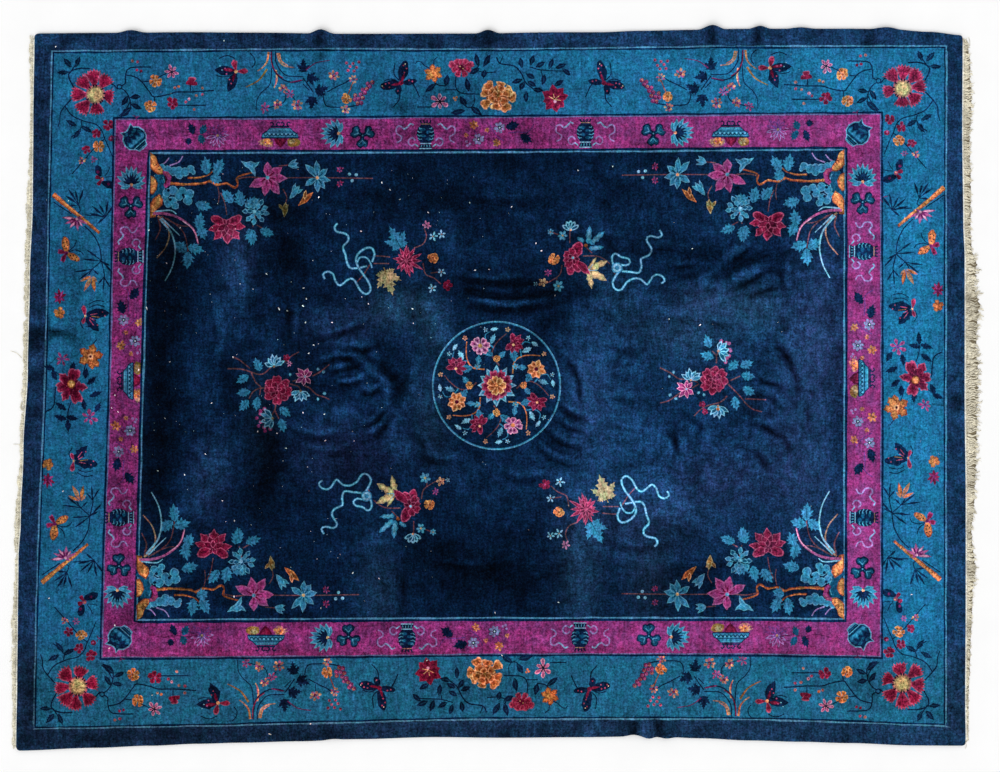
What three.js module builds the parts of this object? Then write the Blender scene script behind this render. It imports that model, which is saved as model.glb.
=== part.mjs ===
// A room-size hand-knotted carpet, lying flat, with a fringe of warp ends on
// each short side. Millimetres, +Z up, the floor at z = 0. The long side runs
// along X and the fringes are at -X and +X.
import * as THREE from 'three';
import { mergeVertices } from 'three/addons/utils/BufferGeometryUtils.js';

// ---- driving dimensions ----------------------------------------------------
const thickness = 12.0;      // pile and foundation together
const shoulderDrop = 3.5;    // how far the pile rounds down at its edge
const shoulderWidth = 7.0;   // width of that rounding
const footInset = 2.0;       // the underside is drawn in from the widest line
const cornerPull = 7.0;      // how far each corner is rounded in, each way
const gap = 0.3;             // between the carpet and each fringe
const webWidth = 8.0;        // woven web that the strings hang from
const fringeThick = 4.5;     // thickness of the fringe as it lies
const toothPitch = 28.0;     // one bundle of strings of the fringe
const centre = { x: -0.715, y: 1.612 }; // moves the middle of the outline to the origin

// ---- the four edges: a row for each stretch --------------------------------
// along is the position along the edge and at is where the edge lies.
const topEdge = [
  { along: -1773, at: 1361 }, { along: -1519, at: 1363 }, { along: -1174, at: 1365.5 },
  { along: -944, at: 1364 }, { along: -561, at: 1359.5 }, { along: -101, at: 1360.5 },
  { along: 243, at: 1365.5 }, { along: 396, at: 1365.5 }, { along: 550, at: 1371 },
  { along: 779, at: 1375 }, { along: 933, at: 1378.5 }, { along: 1162, at: 1379 },
  { along: 1354, at: 1379 }, { along: 1507, at: 1377 }, { along: 1660, at: 1367 },
  { along: 1787, at: 1354 },
];
const bottomEdge = [
  { along: -1840, at: -1388 }, { along: -1534, at: -1377 }, { along: -1327, at: -1369 },
  { along: -1139, at: -1361.5 }, { along: -982, at: -1357.5 }, { along: -753, at: -1352 },
  { along: -538, at: -1344 }, { along: -232, at: -1336 }, { along: 13, at: -1338.5 },
  { along: 320, at: -1336.5 }, { along: 523, at: -1334 }, { along: 626, at: -1335 },
  { along: 779, at: -1340.5 }, { along: 971, at: -1349 }, { along: 1162, at: -1354 },
  { along: 1354, at: -1359 }, { along: 1599, at: -1368 }, { along: 1797, at: -1369 },
];
const leftEdge = [
  { along: -1388, at: -1841 }, { along: -1117, at: -1837 }, { along: -887, at: -1834.5 },
  { along: -657, at: -1832 }, { along: -504, at: -1823 }, { along: -236, at: -1813 },
  { along: 71, at: -1796 }, { along: 416, at: -1788.5 }, { along: 722, at: -1777 },
  { along: 1028, at: -1775 }, { along: 1361, at: -1770.5 },
];
const rightEdge = [
  { along: -1369, at: 1798 }, { along: -1193, at: 1796 }, { along: -810, at: 1798 },
  { along: -427, at: 1798 }, { along: -44, at: 1794 }, { along: 492, at: 1794 },
  { along: 645, at: 1788.5 }, { along: 990, at: 1784.5 }, { along: 1354, at: 1786.5 },
];

// Ripples where a long edge swells or draws in: out is how far the edge moves
// outwards, high is how far the carpet stands off the floor there, wide is
// half the width of the ripple and deep is how far it runs into the carpet.
const ripples = [
  { side: 'top', along: -1400, out: 8, high: 9, wide: 34, deep: 120 },
  { side: 'top', along: -672, out: 13, high: 14, wide: 30, deep: 150 },
  { side: 'top', along: -33, out: 11, high: 12, wide: 27, deep: 140 },
  { side: 'top', along: 825, out: 14, high: 16, wide: 32, deep: 190 },
  { side: 'top', along: 1009, out: 9, high: 11, wide: 26, deep: 120 },
  { side: 'top', along: 1166, out: 4, high: 6, wide: 34, deep: 110 },
  { side: 'top', along: 1492, out: 6, high: 8, wide: 38, deep: 120 },
  { side: 'bottom', along: -626, out: -5, high: 6, wide: 30, deep: 110 },
  { side: 'bottom', along: 523, out: -9, high: 9, wide: 27, deep: 130 },
  { side: 'bottom', along: 584, out: 6, high: 6, wide: 20, deep: 90 },
  { side: 'bottom', along: 650, out: 4, high: 9, wide: 24, deep: 120 },
];

// Broad low swells in the middle: turn is the direction of the long axis in
// degrees from +X, long and wide are half lengths.
const swells = [
  { x: -1090, y: 330, turn: 80, long: 300, wide: 90, high: 3.0 },
  { x: -520, y: 60, turn: 70, long: 260, wide: 80, high: 3.5 },
  { x: 640, y: 250, turn: 105, long: 330, wide: 90, high: 4.0 },
  { x: 1150, y: -80, turn: 60, long: 300, wide: 80, high: 4.5 },
  { x: 900, y: -520, turn: 95, long: 260, wide: 90, high: 3.0 },
  { x: -700, y: -640, turn: 85, long: 260, wide: 90, high: 3.0 },
];

// Each fringe's reach beyond the carpet edge, by position along the edge.
const rightReach = [
  { along: -1365, reach: 14 }, { along: -1200, reach: 17 }, { along: -1000, reach: 24 },
  { along: -810, reach: 32 }, { along: -700, reach: 46 }, { along: -560, reach: 30 },
  { along: -430, reach: 42 }, { along: -300, reach: 52 }, { along: -150, reach: 58 },
  { along: 60, reach: 64 }, { along: 200, reach: 56 }, { along: 323, reach: 70 },
  { along: 400, reach: 50 }, { along: 470, reach: 58 }, { along: 540, reach: 34 },
  { along: 800, reach: 38 }, { along: 960, reach: 36 }, { along: 1080, reach: 46 },
  { along: 1220, reach: 38 }, { along: 1350, reach: 24 },
];
const leftReach = [
  { along: -1384, reach: 20 }, { along: -1200, reach: 22 }, { along: -1050, reach: 26 },
  { along: -920, reach: 30 }, { along: -780, reach: 22 }, { along: -660, reach: 18 },
  { along: -504, reach: 30 }, { along: -380, reach: 24 }, { along: -236, reach: 16 },
  { along: -60, reach: 24 }, { along: 120, reach: 25 }, { along: 400, reach: 24 },
  { along: 560, reach: 27 }, { along: 730, reach: 30 }, { along: 900, reach: 18 },
  { along: 1100, reach: 15 }, { along: 1358, reach: 26 },
];

// ---- reading the tables ----------------------------------------------------
function read(rows, along, key) {
  const last = rows.length - 1;
  if (along <= rows[0].along) return rows[0][key];
  if (along >= rows[last].along) return rows[last][key];
  let i = 0;
  while (rows[i + 1].along < along) i += 1;
  const f = (along - rows[i].along) / (rows[i + 1].along - rows[i].along);
  const soft = f * f * (3 - 2 * f);
  return rows[i][key] + (rows[i + 1][key] - rows[i][key]) * soft;
}
const bell = (d) => (Math.abs(d) >= 1 ? 0 : (0.5 + 0.5 * Math.cos(Math.PI * d)));

function longEdge(side, x) {
  let y = read(side === 'top' ? topEdge : bottomEdge, x, 'at');
  const outward = side === 'top' ? 1 : -1;
  for (const r of ripples) {
    if (r.side === side) y += outward * r.out * bell((x - r.along) / (1.7 * r.wide));
  }
  return y;
}
const shortEdge = (side, y) => read(side === 'right' ? rightEdge : leftEdge, y, 'at');

// How far the carpet stands off the floor at a point.
function lift(x, y) {
  let z = 0;
  for (const r of ripples) {
    const edge = read(r.side === 'top' ? topEdge : bottomEdge, x, 'at');
    const inside = Math.max(0, r.side === 'top' ? edge - y : y - edge);
    z += r.high * bell((x - r.along) / (1.9 * r.wide)) * bell(Math.min(1, inside / r.deep));
  }
  for (const s of swells) {
    const a = THREE.MathUtils.degToRad(s.turn);
    const u = (x - s.x) * Math.cos(a) + (y - s.y) * Math.sin(a);
    const v = -(x - s.x) * Math.sin(a) + (y - s.y) * Math.cos(a);
    z += s.high * bell(Math.min(1, Math.abs(u) / s.long)) * bell(Math.min(1, Math.abs(v) / s.wide));
  }
  return z;
}

// ---- the lines of the grid -------------------------------------------------
function spread(from, to, step) {
  const n = Math.max(1, Math.round((to - from) / step));
  return Array.from({ length: n }, (_, i) => from + ((to - from) * i) / n);
}
const fineColumns = [];
for (const r of ripples) {
  for (const f of [-1.75, -0.95, 0, 0.95, 1.75]) fineColumns.push(r.along + f * r.wide);
}
function thinned(values, least) {
  const kept = [];
  for (const v of values.sort((a, b) => a - b)) {
    if (!kept.length || v - kept[kept.length - 1] >= least) kept.push(v);
  }
  return kept;
}
const columns = thinned([...fineColumns, ...spread(-1730, 1750, 128)], 24)
  .filter((x) => x > -1740 && x < 1740);
const rows = thinned([
  -1290, -1235, -1150, -1010, -860, -700, -550, -400, -250, -100,
  60, 220, 380, 540, 700, 860, 1010, 1130, 1215, 1290,
], 20);

// Turns a nominal place in the grid into a place in the real outline. Shares
// run from 0 to 1 across the carpet.
function place(sx, sy, inset) {
  let x = THREE.MathUtils.lerp(-1800, 1795, sx);
  let y = THREE.MathUtils.lerp(-1350, 1368, sy);
  for (let i = 0; i < 6; i += 1) {
    const west = shortEdge('left', y) + inset;
    const east = shortEdge('right', y) - inset;
    x = THREE.MathUtils.lerp(west, east, sx);
    const south = longEdge('bottom', x) + inset;
    const north = longEdge('top', x) - inset;
    y = THREE.MathUtils.lerp(south, north, sy);
  }
  return { x, y };
}
const shareX = [0, ...columns.map((x) => (x + 1800) / 3595), 1];
const shareY = [0, ...rows.map((y) => (y + 1350) / 2718), 1];

// ---- the carpet: one closed sheet with a rounded rim -----------------------
function carpetGeometry() {
  const nx = shareX.length;
  const ny = shareY.length;
  const points = [];
  const faces = [];
  const layer = (inset, height) => {
    const first = points.length / 3;
    for (let j = 0; j < ny; j += 1) {
      for (let i = 0; i < nx; i += 1) {
        const p = place(shareX[i], shareY[j], inset);
        // the corners are a little rounded
        const corner = (i === 0 || i === nx - 1) && (j === 0 || j === ny - 1);
        const pull = corner ? cornerPull : 0;
        const x = p.x + (i === 0 ? pull : -pull);
        const y = p.y + (j === 0 ? pull : -pull);
        points.push(x - centre.x, y - centre.y, height + lift(x, y));
      }
    }
    return first;
  };
  const at = (first, i, j) => first + j * nx + i;
  const quad = (a, b, c, d) => faces.push(a, b, c, a, c, d);

  const top = layer(shoulderWidth, thickness);
  const foot = layer(footInset, 0);
  const waist = layer(0, thickness - shoulderDrop);
  for (let j = 0; j < ny - 1; j += 1) {
    for (let i = 0; i < nx - 1; i += 1) {
      quad(at(top, i, j), at(top, i + 1, j), at(top, i + 1, j + 1), at(top, i, j + 1));
      quad(at(foot, i, j), at(foot, i, j + 1), at(foot, i + 1, j + 1), at(foot, i + 1, j));
    }
  }
  // the rim goes round anticlockwise, seen from above
  const ring = [];
  for (let i = 0; i < nx - 1; i += 1) ring.push([i, 0]);
  for (let j = 0; j < ny - 1; j += 1) ring.push([nx - 1, j]);
  for (let i = nx - 1; i > 0; i -= 1) ring.push([i, ny - 1]);
  for (let j = ny - 1; j > 0; j -= 1) ring.push([0, j]);
  for (let k = 0; k < ring.length; k += 1) {
    const [i0, j0] = ring[k];
    const [i1, j1] = ring[(k + 1) % ring.length];
    quad(at(foot, i0, j0), at(foot, i1, j1), at(waist, i1, j1), at(waist, i0, j0));
    quad(at(waist, i0, j0), at(waist, i1, j1), at(top, i1, j1), at(top, i0, j0));
  }
  return closed(points, faces);
}

function closed(points, faces) {
  // points that no face uses (the inner ones of the waist layer) are dropped
  const used = new Map();
  const kept = [];
  const index = faces.map((f) => {
    if (!used.has(f)) {
      used.set(f, kept.length / 3);
      kept.push(points[3 * f], points[3 * f + 1], points[3 * f + 2]);
    }
    return used.get(f);
  });
  const geometry = new THREE.BufferGeometry();
  geometry.setAttribute('position', new THREE.Float32BufferAttribute(kept, 3));
  geometry.setIndex(index);
  const merged = mergeVertices(geometry, 1e-4);
  merged.computeVertexNormals();
  return merged;
}

// ---- a fringe: one comb, a web with a tooth for each bundle of strings -----
// A small fixed scatter, the same each time, between -1 and 1.
const scatter = (n, k) => {
  const s = Math.sin(n * 12.9898 + k * 78.233) * 43758.5453;
  return 2 * (s - Math.floor(s)) - 1;
};
function fringeGeometry(side) {
  const out = side === 'right' ? 1 : -1;
  const reachRows = side === 'right' ? rightReach : leftReach;
  const low = (side === 'right' ? rightEdge : leftEdge)[0].along + 9;
  const high = (side === 'right' ? longEdge('top', 1780) : longEdge('top', -1765)) - 9;
  const web = side === 'right' ? webWidth : webWidth * 0.8;
  // the carpet's own short side, straight from row to row of its grid
  const edge = shareY.map((sy, j) => {
    const p = place(side === 'right' ? 1 : 0, sy, 0);
    const corner = j === 0 || j === shareY.length - 1;
    return { x: p.x - (corner ? out * cornerPull : 0), y: p.y };
  });
  const root = (y) => {
    let j = 0;
    while (j < edge.length - 2 && edge[j + 1].y < y) j += 1;
    const f = (y - edge[j].y) / (edge[j + 1].y - edge[j].y);
    return THREE.MathUtils.lerp(edge[j].x, edge[j + 1].x, f) + out * gap;
  };
  const count = Math.round((high - low) / toothPitch);
  const pitch = (high - low) / count;

  // the flat shape, as two lines of points that both run up the edge: the
  // root against the carpet, and the web's free side with the teeth on it
  const flat = [];
  const point = (x, y) => flat.push({ x: x - centre.x, y: y - centre.y }) - 1;
  const turns = edge.map((e) => e.y).filter((y) => y > low + 3 && y < high - 3);
  const rootLine = [low, ...turns, high].map((y) => point(root(y), y));
  const webLine = [];
  const teeth = [];
  for (let n = 0; n < count; n += 1) {
    const mid = low + (n + 0.5) * pitch;
    const reach = Math.max(web + 5, read(reachRows, mid, 'reach') * (1 + 0.07 * scatter(n, 1)));
    const lean = 2.2 * scatter(n, 2);
    const half = pitch * 0.46;
    const tip = pitch * (0.33 + 0.05 * scatter(n, 3));
    const a = point(root(mid - half) + out * web, mid - half);
    const b = point(root(mid) + out * reach * 0.97, mid - tip + lean);
    const c = point(root(mid) + out * reach, mid + tip * 0.55 + lean);
    const d = point(root(mid + half) + out * web, mid + half);
    webLine.push(a, d);
    teeth.push([a, b, c, d]);
  }

  // faces of the flat shape, anticlockwise from above for a fringe on the right
  const faces = [];
  let i = 0;
  let j = 0;
  while (i < rootLine.length - 1 || j < webLine.length - 1) {
    const atEnd = j === webLine.length - 1;
    if (atEnd || (i < rootLine.length - 1 && flat[rootLine[i + 1]].y < flat[webLine[j + 1]].y)) {
      faces.push([rootLine[i], webLine[j], rootLine[i + 1]]);
      i += 1;
    } else {
      faces.push([rootLine[i], webLine[j], webLine[j + 1]]);
      j += 1;
    }
  }
  for (const [a, b, c, d] of teeth) faces.push([a, b, c], [a, c, d]);
  const border = [];
  teeth.forEach((t) => border.push(...t));
  border.push(...rootLine.slice().reverse());

  const points = [];
  for (const height of [0, fringeThick]) for (const p of flat) points.push(p.x, p.y, height);
  const up = flat.length;
  const index = [];
  const face = (a, b, c) => (out > 0 ? index.push(a, b, c) : index.push(a, c, b));
  for (const [a, b, c] of faces) {
    face(a + up, b + up, c + up);
    face(a, c, b);
  }
  border.forEach((a, k) => {
    const b = border[(k + 1) % border.length];
    face(a, b, b + up);
    face(a, b + up, a + up);
  });
  return closed(points, index);
}

// ---- the parts -------------------------------------------------------------
const wool = new THREE.MeshStandardMaterial({ color: 0x14305e, roughness: 0.95, metalness: 0 });
const cotton = new THREE.MeshStandardMaterial({ color: 0xd6cdb4, roughness: 0.95, metalness: 0 });

const rug = new THREE.Group();
function add(name, geometry, material) {
  const mesh = new THREE.Mesh(geometry, material);
  mesh.name = name;
  rug.add(mesh);
}
add('carpet', carpetGeometry(), wool);
add('fringe_left', fringeGeometry('left'), cotton);
add('fringe_right', fringeGeometry('right'), cotton);

export default rug;
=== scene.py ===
import math
import bpy
import numpy as np
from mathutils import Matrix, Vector
from mathutils.geometry import delaunay_2d_cdt


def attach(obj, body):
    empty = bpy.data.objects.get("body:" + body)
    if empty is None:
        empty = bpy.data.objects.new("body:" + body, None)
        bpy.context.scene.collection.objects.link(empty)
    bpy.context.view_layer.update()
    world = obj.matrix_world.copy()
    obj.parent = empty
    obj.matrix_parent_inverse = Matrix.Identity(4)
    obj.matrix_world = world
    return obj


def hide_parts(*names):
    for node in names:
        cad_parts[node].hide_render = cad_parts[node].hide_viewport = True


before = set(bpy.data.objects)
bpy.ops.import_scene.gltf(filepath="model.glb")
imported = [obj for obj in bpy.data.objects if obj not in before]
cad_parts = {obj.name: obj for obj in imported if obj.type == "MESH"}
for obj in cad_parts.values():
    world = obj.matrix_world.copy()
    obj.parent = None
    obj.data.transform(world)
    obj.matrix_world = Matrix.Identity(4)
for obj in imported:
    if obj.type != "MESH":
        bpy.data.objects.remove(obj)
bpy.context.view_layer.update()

# ---- sizes -------------------------------------------------------------------
UNIT = 0.00383            # one unit of the pattern's drawing
DRAWN_AT = (496.313, 388.079)  # the drawing's place that lies on the origin
THICK = 12.0              # pile and foundation
CENTRE = (-0.715, 1.612)

TOP_EDGE = ((-1773, 1361), (-1519, 1363), (-1174, 1365.5), (-944, 1364), (-561, 1359.5), (-101, 1360.5), (243, 1365.5),
            (396, 1365.5), (550, 1371), (779, 1375), (933, 1378.5), (1162, 1379), (1354, 1379), (1507, 1377), (1660, 1367), (1787, 1354))
BOTTOM_EDGE = ((-1840, -1388), (-1534, -1377), (-1327, -1369), (-1139, -1361.5), (-982, -1357.5), (-753, -1352), (-538, -1344),
               (-232, -1336), (13, -1338.5), (320, -1336.5), (523, -1334), (626, -1335), (779, -1340.5), (971, -1349), (1162, -1354),
               (1354, -1359), (1599, -1368), (1797, -1369))
LEFT_EDGE = ((-1388, -1841), (-1117, -1837), (-887, -1834.5), (-657, -1832), (-504, -1823), (-236, -1813), (71, -1796),
             (416, -1788.5), (722, -1777), (1028, -1775), (1361, -1770.5))
RIGHT_EDGE = ((-1369, 1798), (-1193, 1796), (-810, 1798), (-427, 1798), (-44, 1794), (492, 1794), (645, 1788.5), (990, 1784.5),
              (1354, 1786.5))
# ripples of the long edges: side, along, out, high, wide, deep
RIPPLES = (("top", -1400, 8, 9, 34, 120), ("top", -672, 13, 14, 30, 150), ("top", -33, 11, 12, 27, 140), ("top", 825, 14, 16, 32, 190),
           ("top", 1009, 9, 11, 26, 120), ("top", 1166, 4, 6, 34, 110), ("top", 1492, 6, 8, 38, 120), ("bottom", -626, -5, 6, 30, 110),
           ("bottom", 523, -9, 9, 27, 130), ("bottom", 584, 6, 6, 20, 90), ("bottom", 650, 4, 9, 24, 120))
# broad swells: x, y, turn, half length, half width, high
SWELLS = ((-1090, 330, 80, 300, 90, 3.0), (-520, 60, 70, 260, 80, 3.5), (640, 250, 105, 330, 90, 4.0), (1150, -80, 60, 300, 80, 4.5),
          (900, -520, 95, 260, 90, 3.0), (-700, -640, 85, 260, 90, 3.0))
# low soft creases in the field: places along each, half width, height
CREASES = (
    (((1010, 40), (1090, -10), (1180, -60), (1240, -130)), 26, 2.2),
    (((1060, -120), (1130, -90), (1220, 10), (1290, 60)), 22, 1.8),
    (((930, 180), (1010, 230), (1120, 240)), 30, 1.6),
    (((250, 20), (330, -40), (420, -110), (560, -130)), 28, 1.6),
    (((-600, 160), (-560, 90), (-500, 60), (-430, 80)), 24, 1.8),
    (((-1080, 520), (-1040, 380), (-1050, 220)), 30, 1.6),
    (((-360, -560), (-340, -700), (-352, -860)), 20, 1.8),
    (((820, 500), (960, 470), (1100, 430)), 30, 1.5),
    (((-900, -560), (-780, -640), (-640, -690)), 30, 1.4),
    (((420, 240), (520, 300), (640, 300)), 30, 1.5),
)
RIGHT_REACH = ((-1365, 14), (-1200, 17), (-1000, 24), (-810, 32), (-700, 46), (-560, 30), (-430, 42), (-300, 52), (-150, 58), (60, 64),
               (200, 56), (323, 70), (400, 50), (470, 58), (540, 34), (800, 38), (960, 36), (1080, 46), (1220, 38), (1350, 24))
LEFT_REACH = ((-1384, 20), (-1200, 22), (-1050, 26), (-920, 30), (-780, 22), (-660, 18), (-504, 30), (-380, 24), (-236, 16), (-60, 24),
              (120, 25), (400, 24), (560, 27), (730, 30), (900, 18), (1100, 15), (1358, 26))


def read(rows, along):
    """The second number of the rows at a place along them, eased from row to row."""
    a = np.array([r[0] for r in rows], float)
    v = np.array([r[1] for r in rows], float)
    along = np.clip(np.asarray(along, float), a[0], a[-1])
    i = np.clip(np.searchsorted(a, along, side="right") - 1, 0, len(a) - 2)
    f = (along - a[i]) / (a[i + 1] - a[i])
    return v[i] + (v[i + 1] - v[i]) * f * f * (3 - 2 * f)


def bell(d):
    return np.where(np.abs(d) >= 1, 0.0, 0.5 + 0.5 * np.cos(np.pi * np.clip(d, -1, 1)))


def long_edge(side, x):
    y = read(TOP_EDGE if side == "top" else BOTTOM_EDGE, x)
    for s, along, out, high, wide, deep in RIPPLES:
        if s == side:
            y = y + (1 if side == "top" else -1) * out * bell((x - along) / (1.7 * wide))
    return y


def short_edge(side, y):
    return read(RIGHT_EDGE if side == "right" else LEFT_EDGE, y)


def lift(x, y):
    """How far the carpet stands off the floor, all in millimetres."""
    x, y = np.asarray(x, float), np.asarray(y, float)
    z = np.zeros_like(x)
    for s, along, out, high, wide, deep in RIPPLES:
        edge = read(TOP_EDGE if s == "top" else BOTTOM_EDGE, x)
        inside = np.maximum(0.0, edge - y if s == "top" else y - edge)
        z = z + high * bell((x - along) / (1.9 * wide)) * bell(np.minimum(1.0, inside / deep))
    for sx, sy, turn, long_, wide, high in SWELLS:
        c, s = math.cos(math.radians(turn)), math.sin(math.radians(turn))
        u = (x - sx) * c + (y - sy) * s
        v = -(x - sx) * s + (y - sy) * c
        z = z + high * bell(np.minimum(1.0, np.abs(u) / long_)) * bell(np.minimum(1.0, np.abs(v) / wide))
    return z


def to_line(x, y, places):
    """Distance to a line through the places, and how far along it, 0 to 1."""
    best = np.full(np.shape(x), 1e9)
    along = np.zeros(np.shape(x))
    n = len(places) - 1
    for i in range(n):
        (ax, ay), (bx, by) = places[i], places[i + 1]
        dx, dy = bx - ax, by - ay
        t = np.clip(((x - ax) * dx + (y - ay) * dy) / (dx * dx + dy * dy), 0, 1)
        d = np.hypot(x - ax - t * dx, y - ay - t * dy)
        nearer = d < best
        best = np.where(nearer, d, best)
        along = np.where(nearer, (i + t) / n, along)
    return best, along


def creases(x, y):
    z = np.zeros_like(x)
    for places, wide, high in CREASES:
        d, t = to_line(x, y, places)
        z = z + high * bell(d / wide) * np.sin(np.pi * np.clip(0.06 + 0.88 * t, 0, 1))
    return z


# ---- the pattern ------------------------------------------------------------
# The design is drawn with shapes laid one over the other, on a drawing whose
# unit is UNIT metres. x runs to the right and y towards the reader. Angles are
# in degrees, 0 to the right and 90 towards the reader.
COLOURS = {
    "band": (19, 43, 73), "lightline": (66, 116, 148), "darkline": (2, 24, 56),
    "teal": (27, 92, 129), "magenta": (116, 42, 98), "field": (5, 25, 51),
    "dark": (7, 22, 50), "ink": (3, 14, 36), "channel": (14, 66, 96),
    "crimson": (103, 18, 48), "wine": (74, 7, 34), "rose": (142, 62, 90), "red": (114, 25, 54),
    "orange": (165, 101, 57), "rust": (122, 64, 34), "peach": (200, 148, 108), "amber": (184, 124, 72),
    "olive": (130, 114, 84), "khaki": (136, 126, 92), "straw": (176, 160, 112), "bronze": (112, 84, 40),
    "pink": (140, 72, 117), "blush": (188, 134, 162), "plum": (84, 23, 70), "fuchsia": (126, 46, 98),
    "purple": (78, 44, 104), "lilac": (128, 108, 160), "edge": (78, 88, 130), "berry": (146, 98, 92), "brown": (84, 52, 56), "tan": (134, 104, 84),
    "motif": (42, 108, 142), "ice": (104, 158, 184), "pale": (158, 184, 196), "sky": (74, 133, 160),
    "bowlteal": (48, 108, 140), "cream": (206, 196, 172), "lint": (232, 236, 236), "deepteal": (16, 62, 88),
}
PI = math.pi


def scatter(n, k=0.0):
    """A small fixed scatter between -1 and 1, the same each time."""
    s = math.sin(n * 12.9898 + k * 78.233 + 4.1) * 43758.5453
    return 2.0 * (s - math.floor(s)) - 1.0


class Pen:
    """Draws into a shared list of (colour, points) through a place, turn and size."""

    def __init__(self, shapes, m=(1.0, 0.0, 0.0, 1.0, 0.0, 0.0)):
        self.shapes = shapes
        self.m = m

    def at(self, x, y, turn=0.0, size=1.0, flip=False, across=1.0):
        c = math.cos(math.radians(turn)) * size
        s = math.sin(math.radians(turn)) * size
        f = -across if flip else across
        return self.inside((c * f, s * f, -s, c, x, y))

    def inside(self, n):
        a, b, c, d, e, f = self.m
        p, q, r, t, u, v = n
        return Pen(self.shapes, (
            a * p + c * q, b * p + d * q, a * r + c * t, b * r + d * t,
            a * u + c * v + e, b * u + d * v + f,
        ))

    def corner(self, anchor, reference, fx, fy, sx=1.0, sy=1.0):
        """Copies what is drawn round the reference to the anchor, mirrored where fx or fy is -1."""
        fx, fy = fx * sx, fy * sy
        return self.inside((fx, 0.0, 0.0, fy, anchor[0] - fx * reference[0], anchor[1] - fy * reference[1]))

    def fill(self, colour, points):
        a, b, c, d, e, f = self.m
        self.shapes.append((colour, [(a * x + c * y + e, b * x + d * y + f) for x, y in points]))

    def seed(self):
        return round(self.m[4] * 3.0) + round(self.m[5] * 5.0)


def curve(points, step=2.4):
    """A smooth line through the points, with a point about every step."""
    if len(points) < 3:
        out = [points[0]]
        (x0, y0), (x1, y1) = points[0], points[-1]
        n = max(1, round(math.hypot(x1 - x0, y1 - y0) / (step * 2.0)))
        out += [(x0 + (x1 - x0) * i / n, y0 + (y1 - y0) * i / n) for i in range(1, n + 1)]
        return out
    out = []
    last = len(points) - 1
    for i in range(last):
        p0 = points[max(0, i - 1)]
        p1, p2 = points[i], points[i + 1]
        p3 = points[min(last, i + 2)]
        n = max(1, round(math.hypot(p2[0] - p1[0], p2[1] - p1[1]) / step))
        for k in range(n):
            t = k / n
            out.append(tuple(
                0.5 * ((2 * p1[j]) + (p2[j] - p0[j]) * t + (2 * p0[j] - 5 * p1[j] + 4 * p2[j] - p3[j]) * t * t
                       + (3 * p1[j] - p0[j] - 3 * p2[j] + p3[j]) * t ** 3)
                for j in (0, 1)
            ))
    out.append(points[-1])
    return out


def ribbon_outline(points, w0, w1, step=2.4, swell=0.0, knobs=0.0):
    line = curve(points, step)
    left, right = [], []
    last = len(line) - 1
    for i, (x, y) in enumerate(line):
        ax, ay = line[max(0, i - 1)]
        bx, by = line[min(last, i + 1)]
        d = math.hypot(bx - ax, by - ay) or 1.0
        t = i / last
        w = (w0 + (w1 - w0) * t) * (1.0 + swell * math.sin(PI * t)) * (1.0 + knobs * scatter(i, 3.0)) / 2.0
        nx, ny = -(by - ay) / d * w, (bx - ax) / d * w
        left.append((x + nx, y + ny))
        right.append((x - nx, y - ny))
    return left + right[::-1]


def line(p, colour, points, w0=1.0, w1=None, step=2.6, swell=0.0, knobs=0.0):
    if colour == "dark" and w0 < 1.6:
        w0, w1 = w0 * 1.1, (w0 if w1 is None else w1) * 1.1
    p.fill(colour, ribbon_outline(points, w0, w0 if w1 is None else w1, step, swell, knobs))


def disc(p, colour, x, y, rx, ry=None, turn=0.0, n=9, rough=0.0):
    ry = rx if ry is None else ry
    c, s = math.cos(math.radians(turn)), math.sin(math.radians(turn))
    k = p.seed()
    pts = []
    for i in range(n):
        a = 2 * PI * (i + 0.37) / n
        r = 1.0 + rough * scatter(k + i, x + y)
        u, v = rx * r * math.cos(a), ry * r * math.sin(a)
        pts.append((x + c * u - s * v, y + s * u + c * v))
    p.fill(colour, pts)


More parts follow.
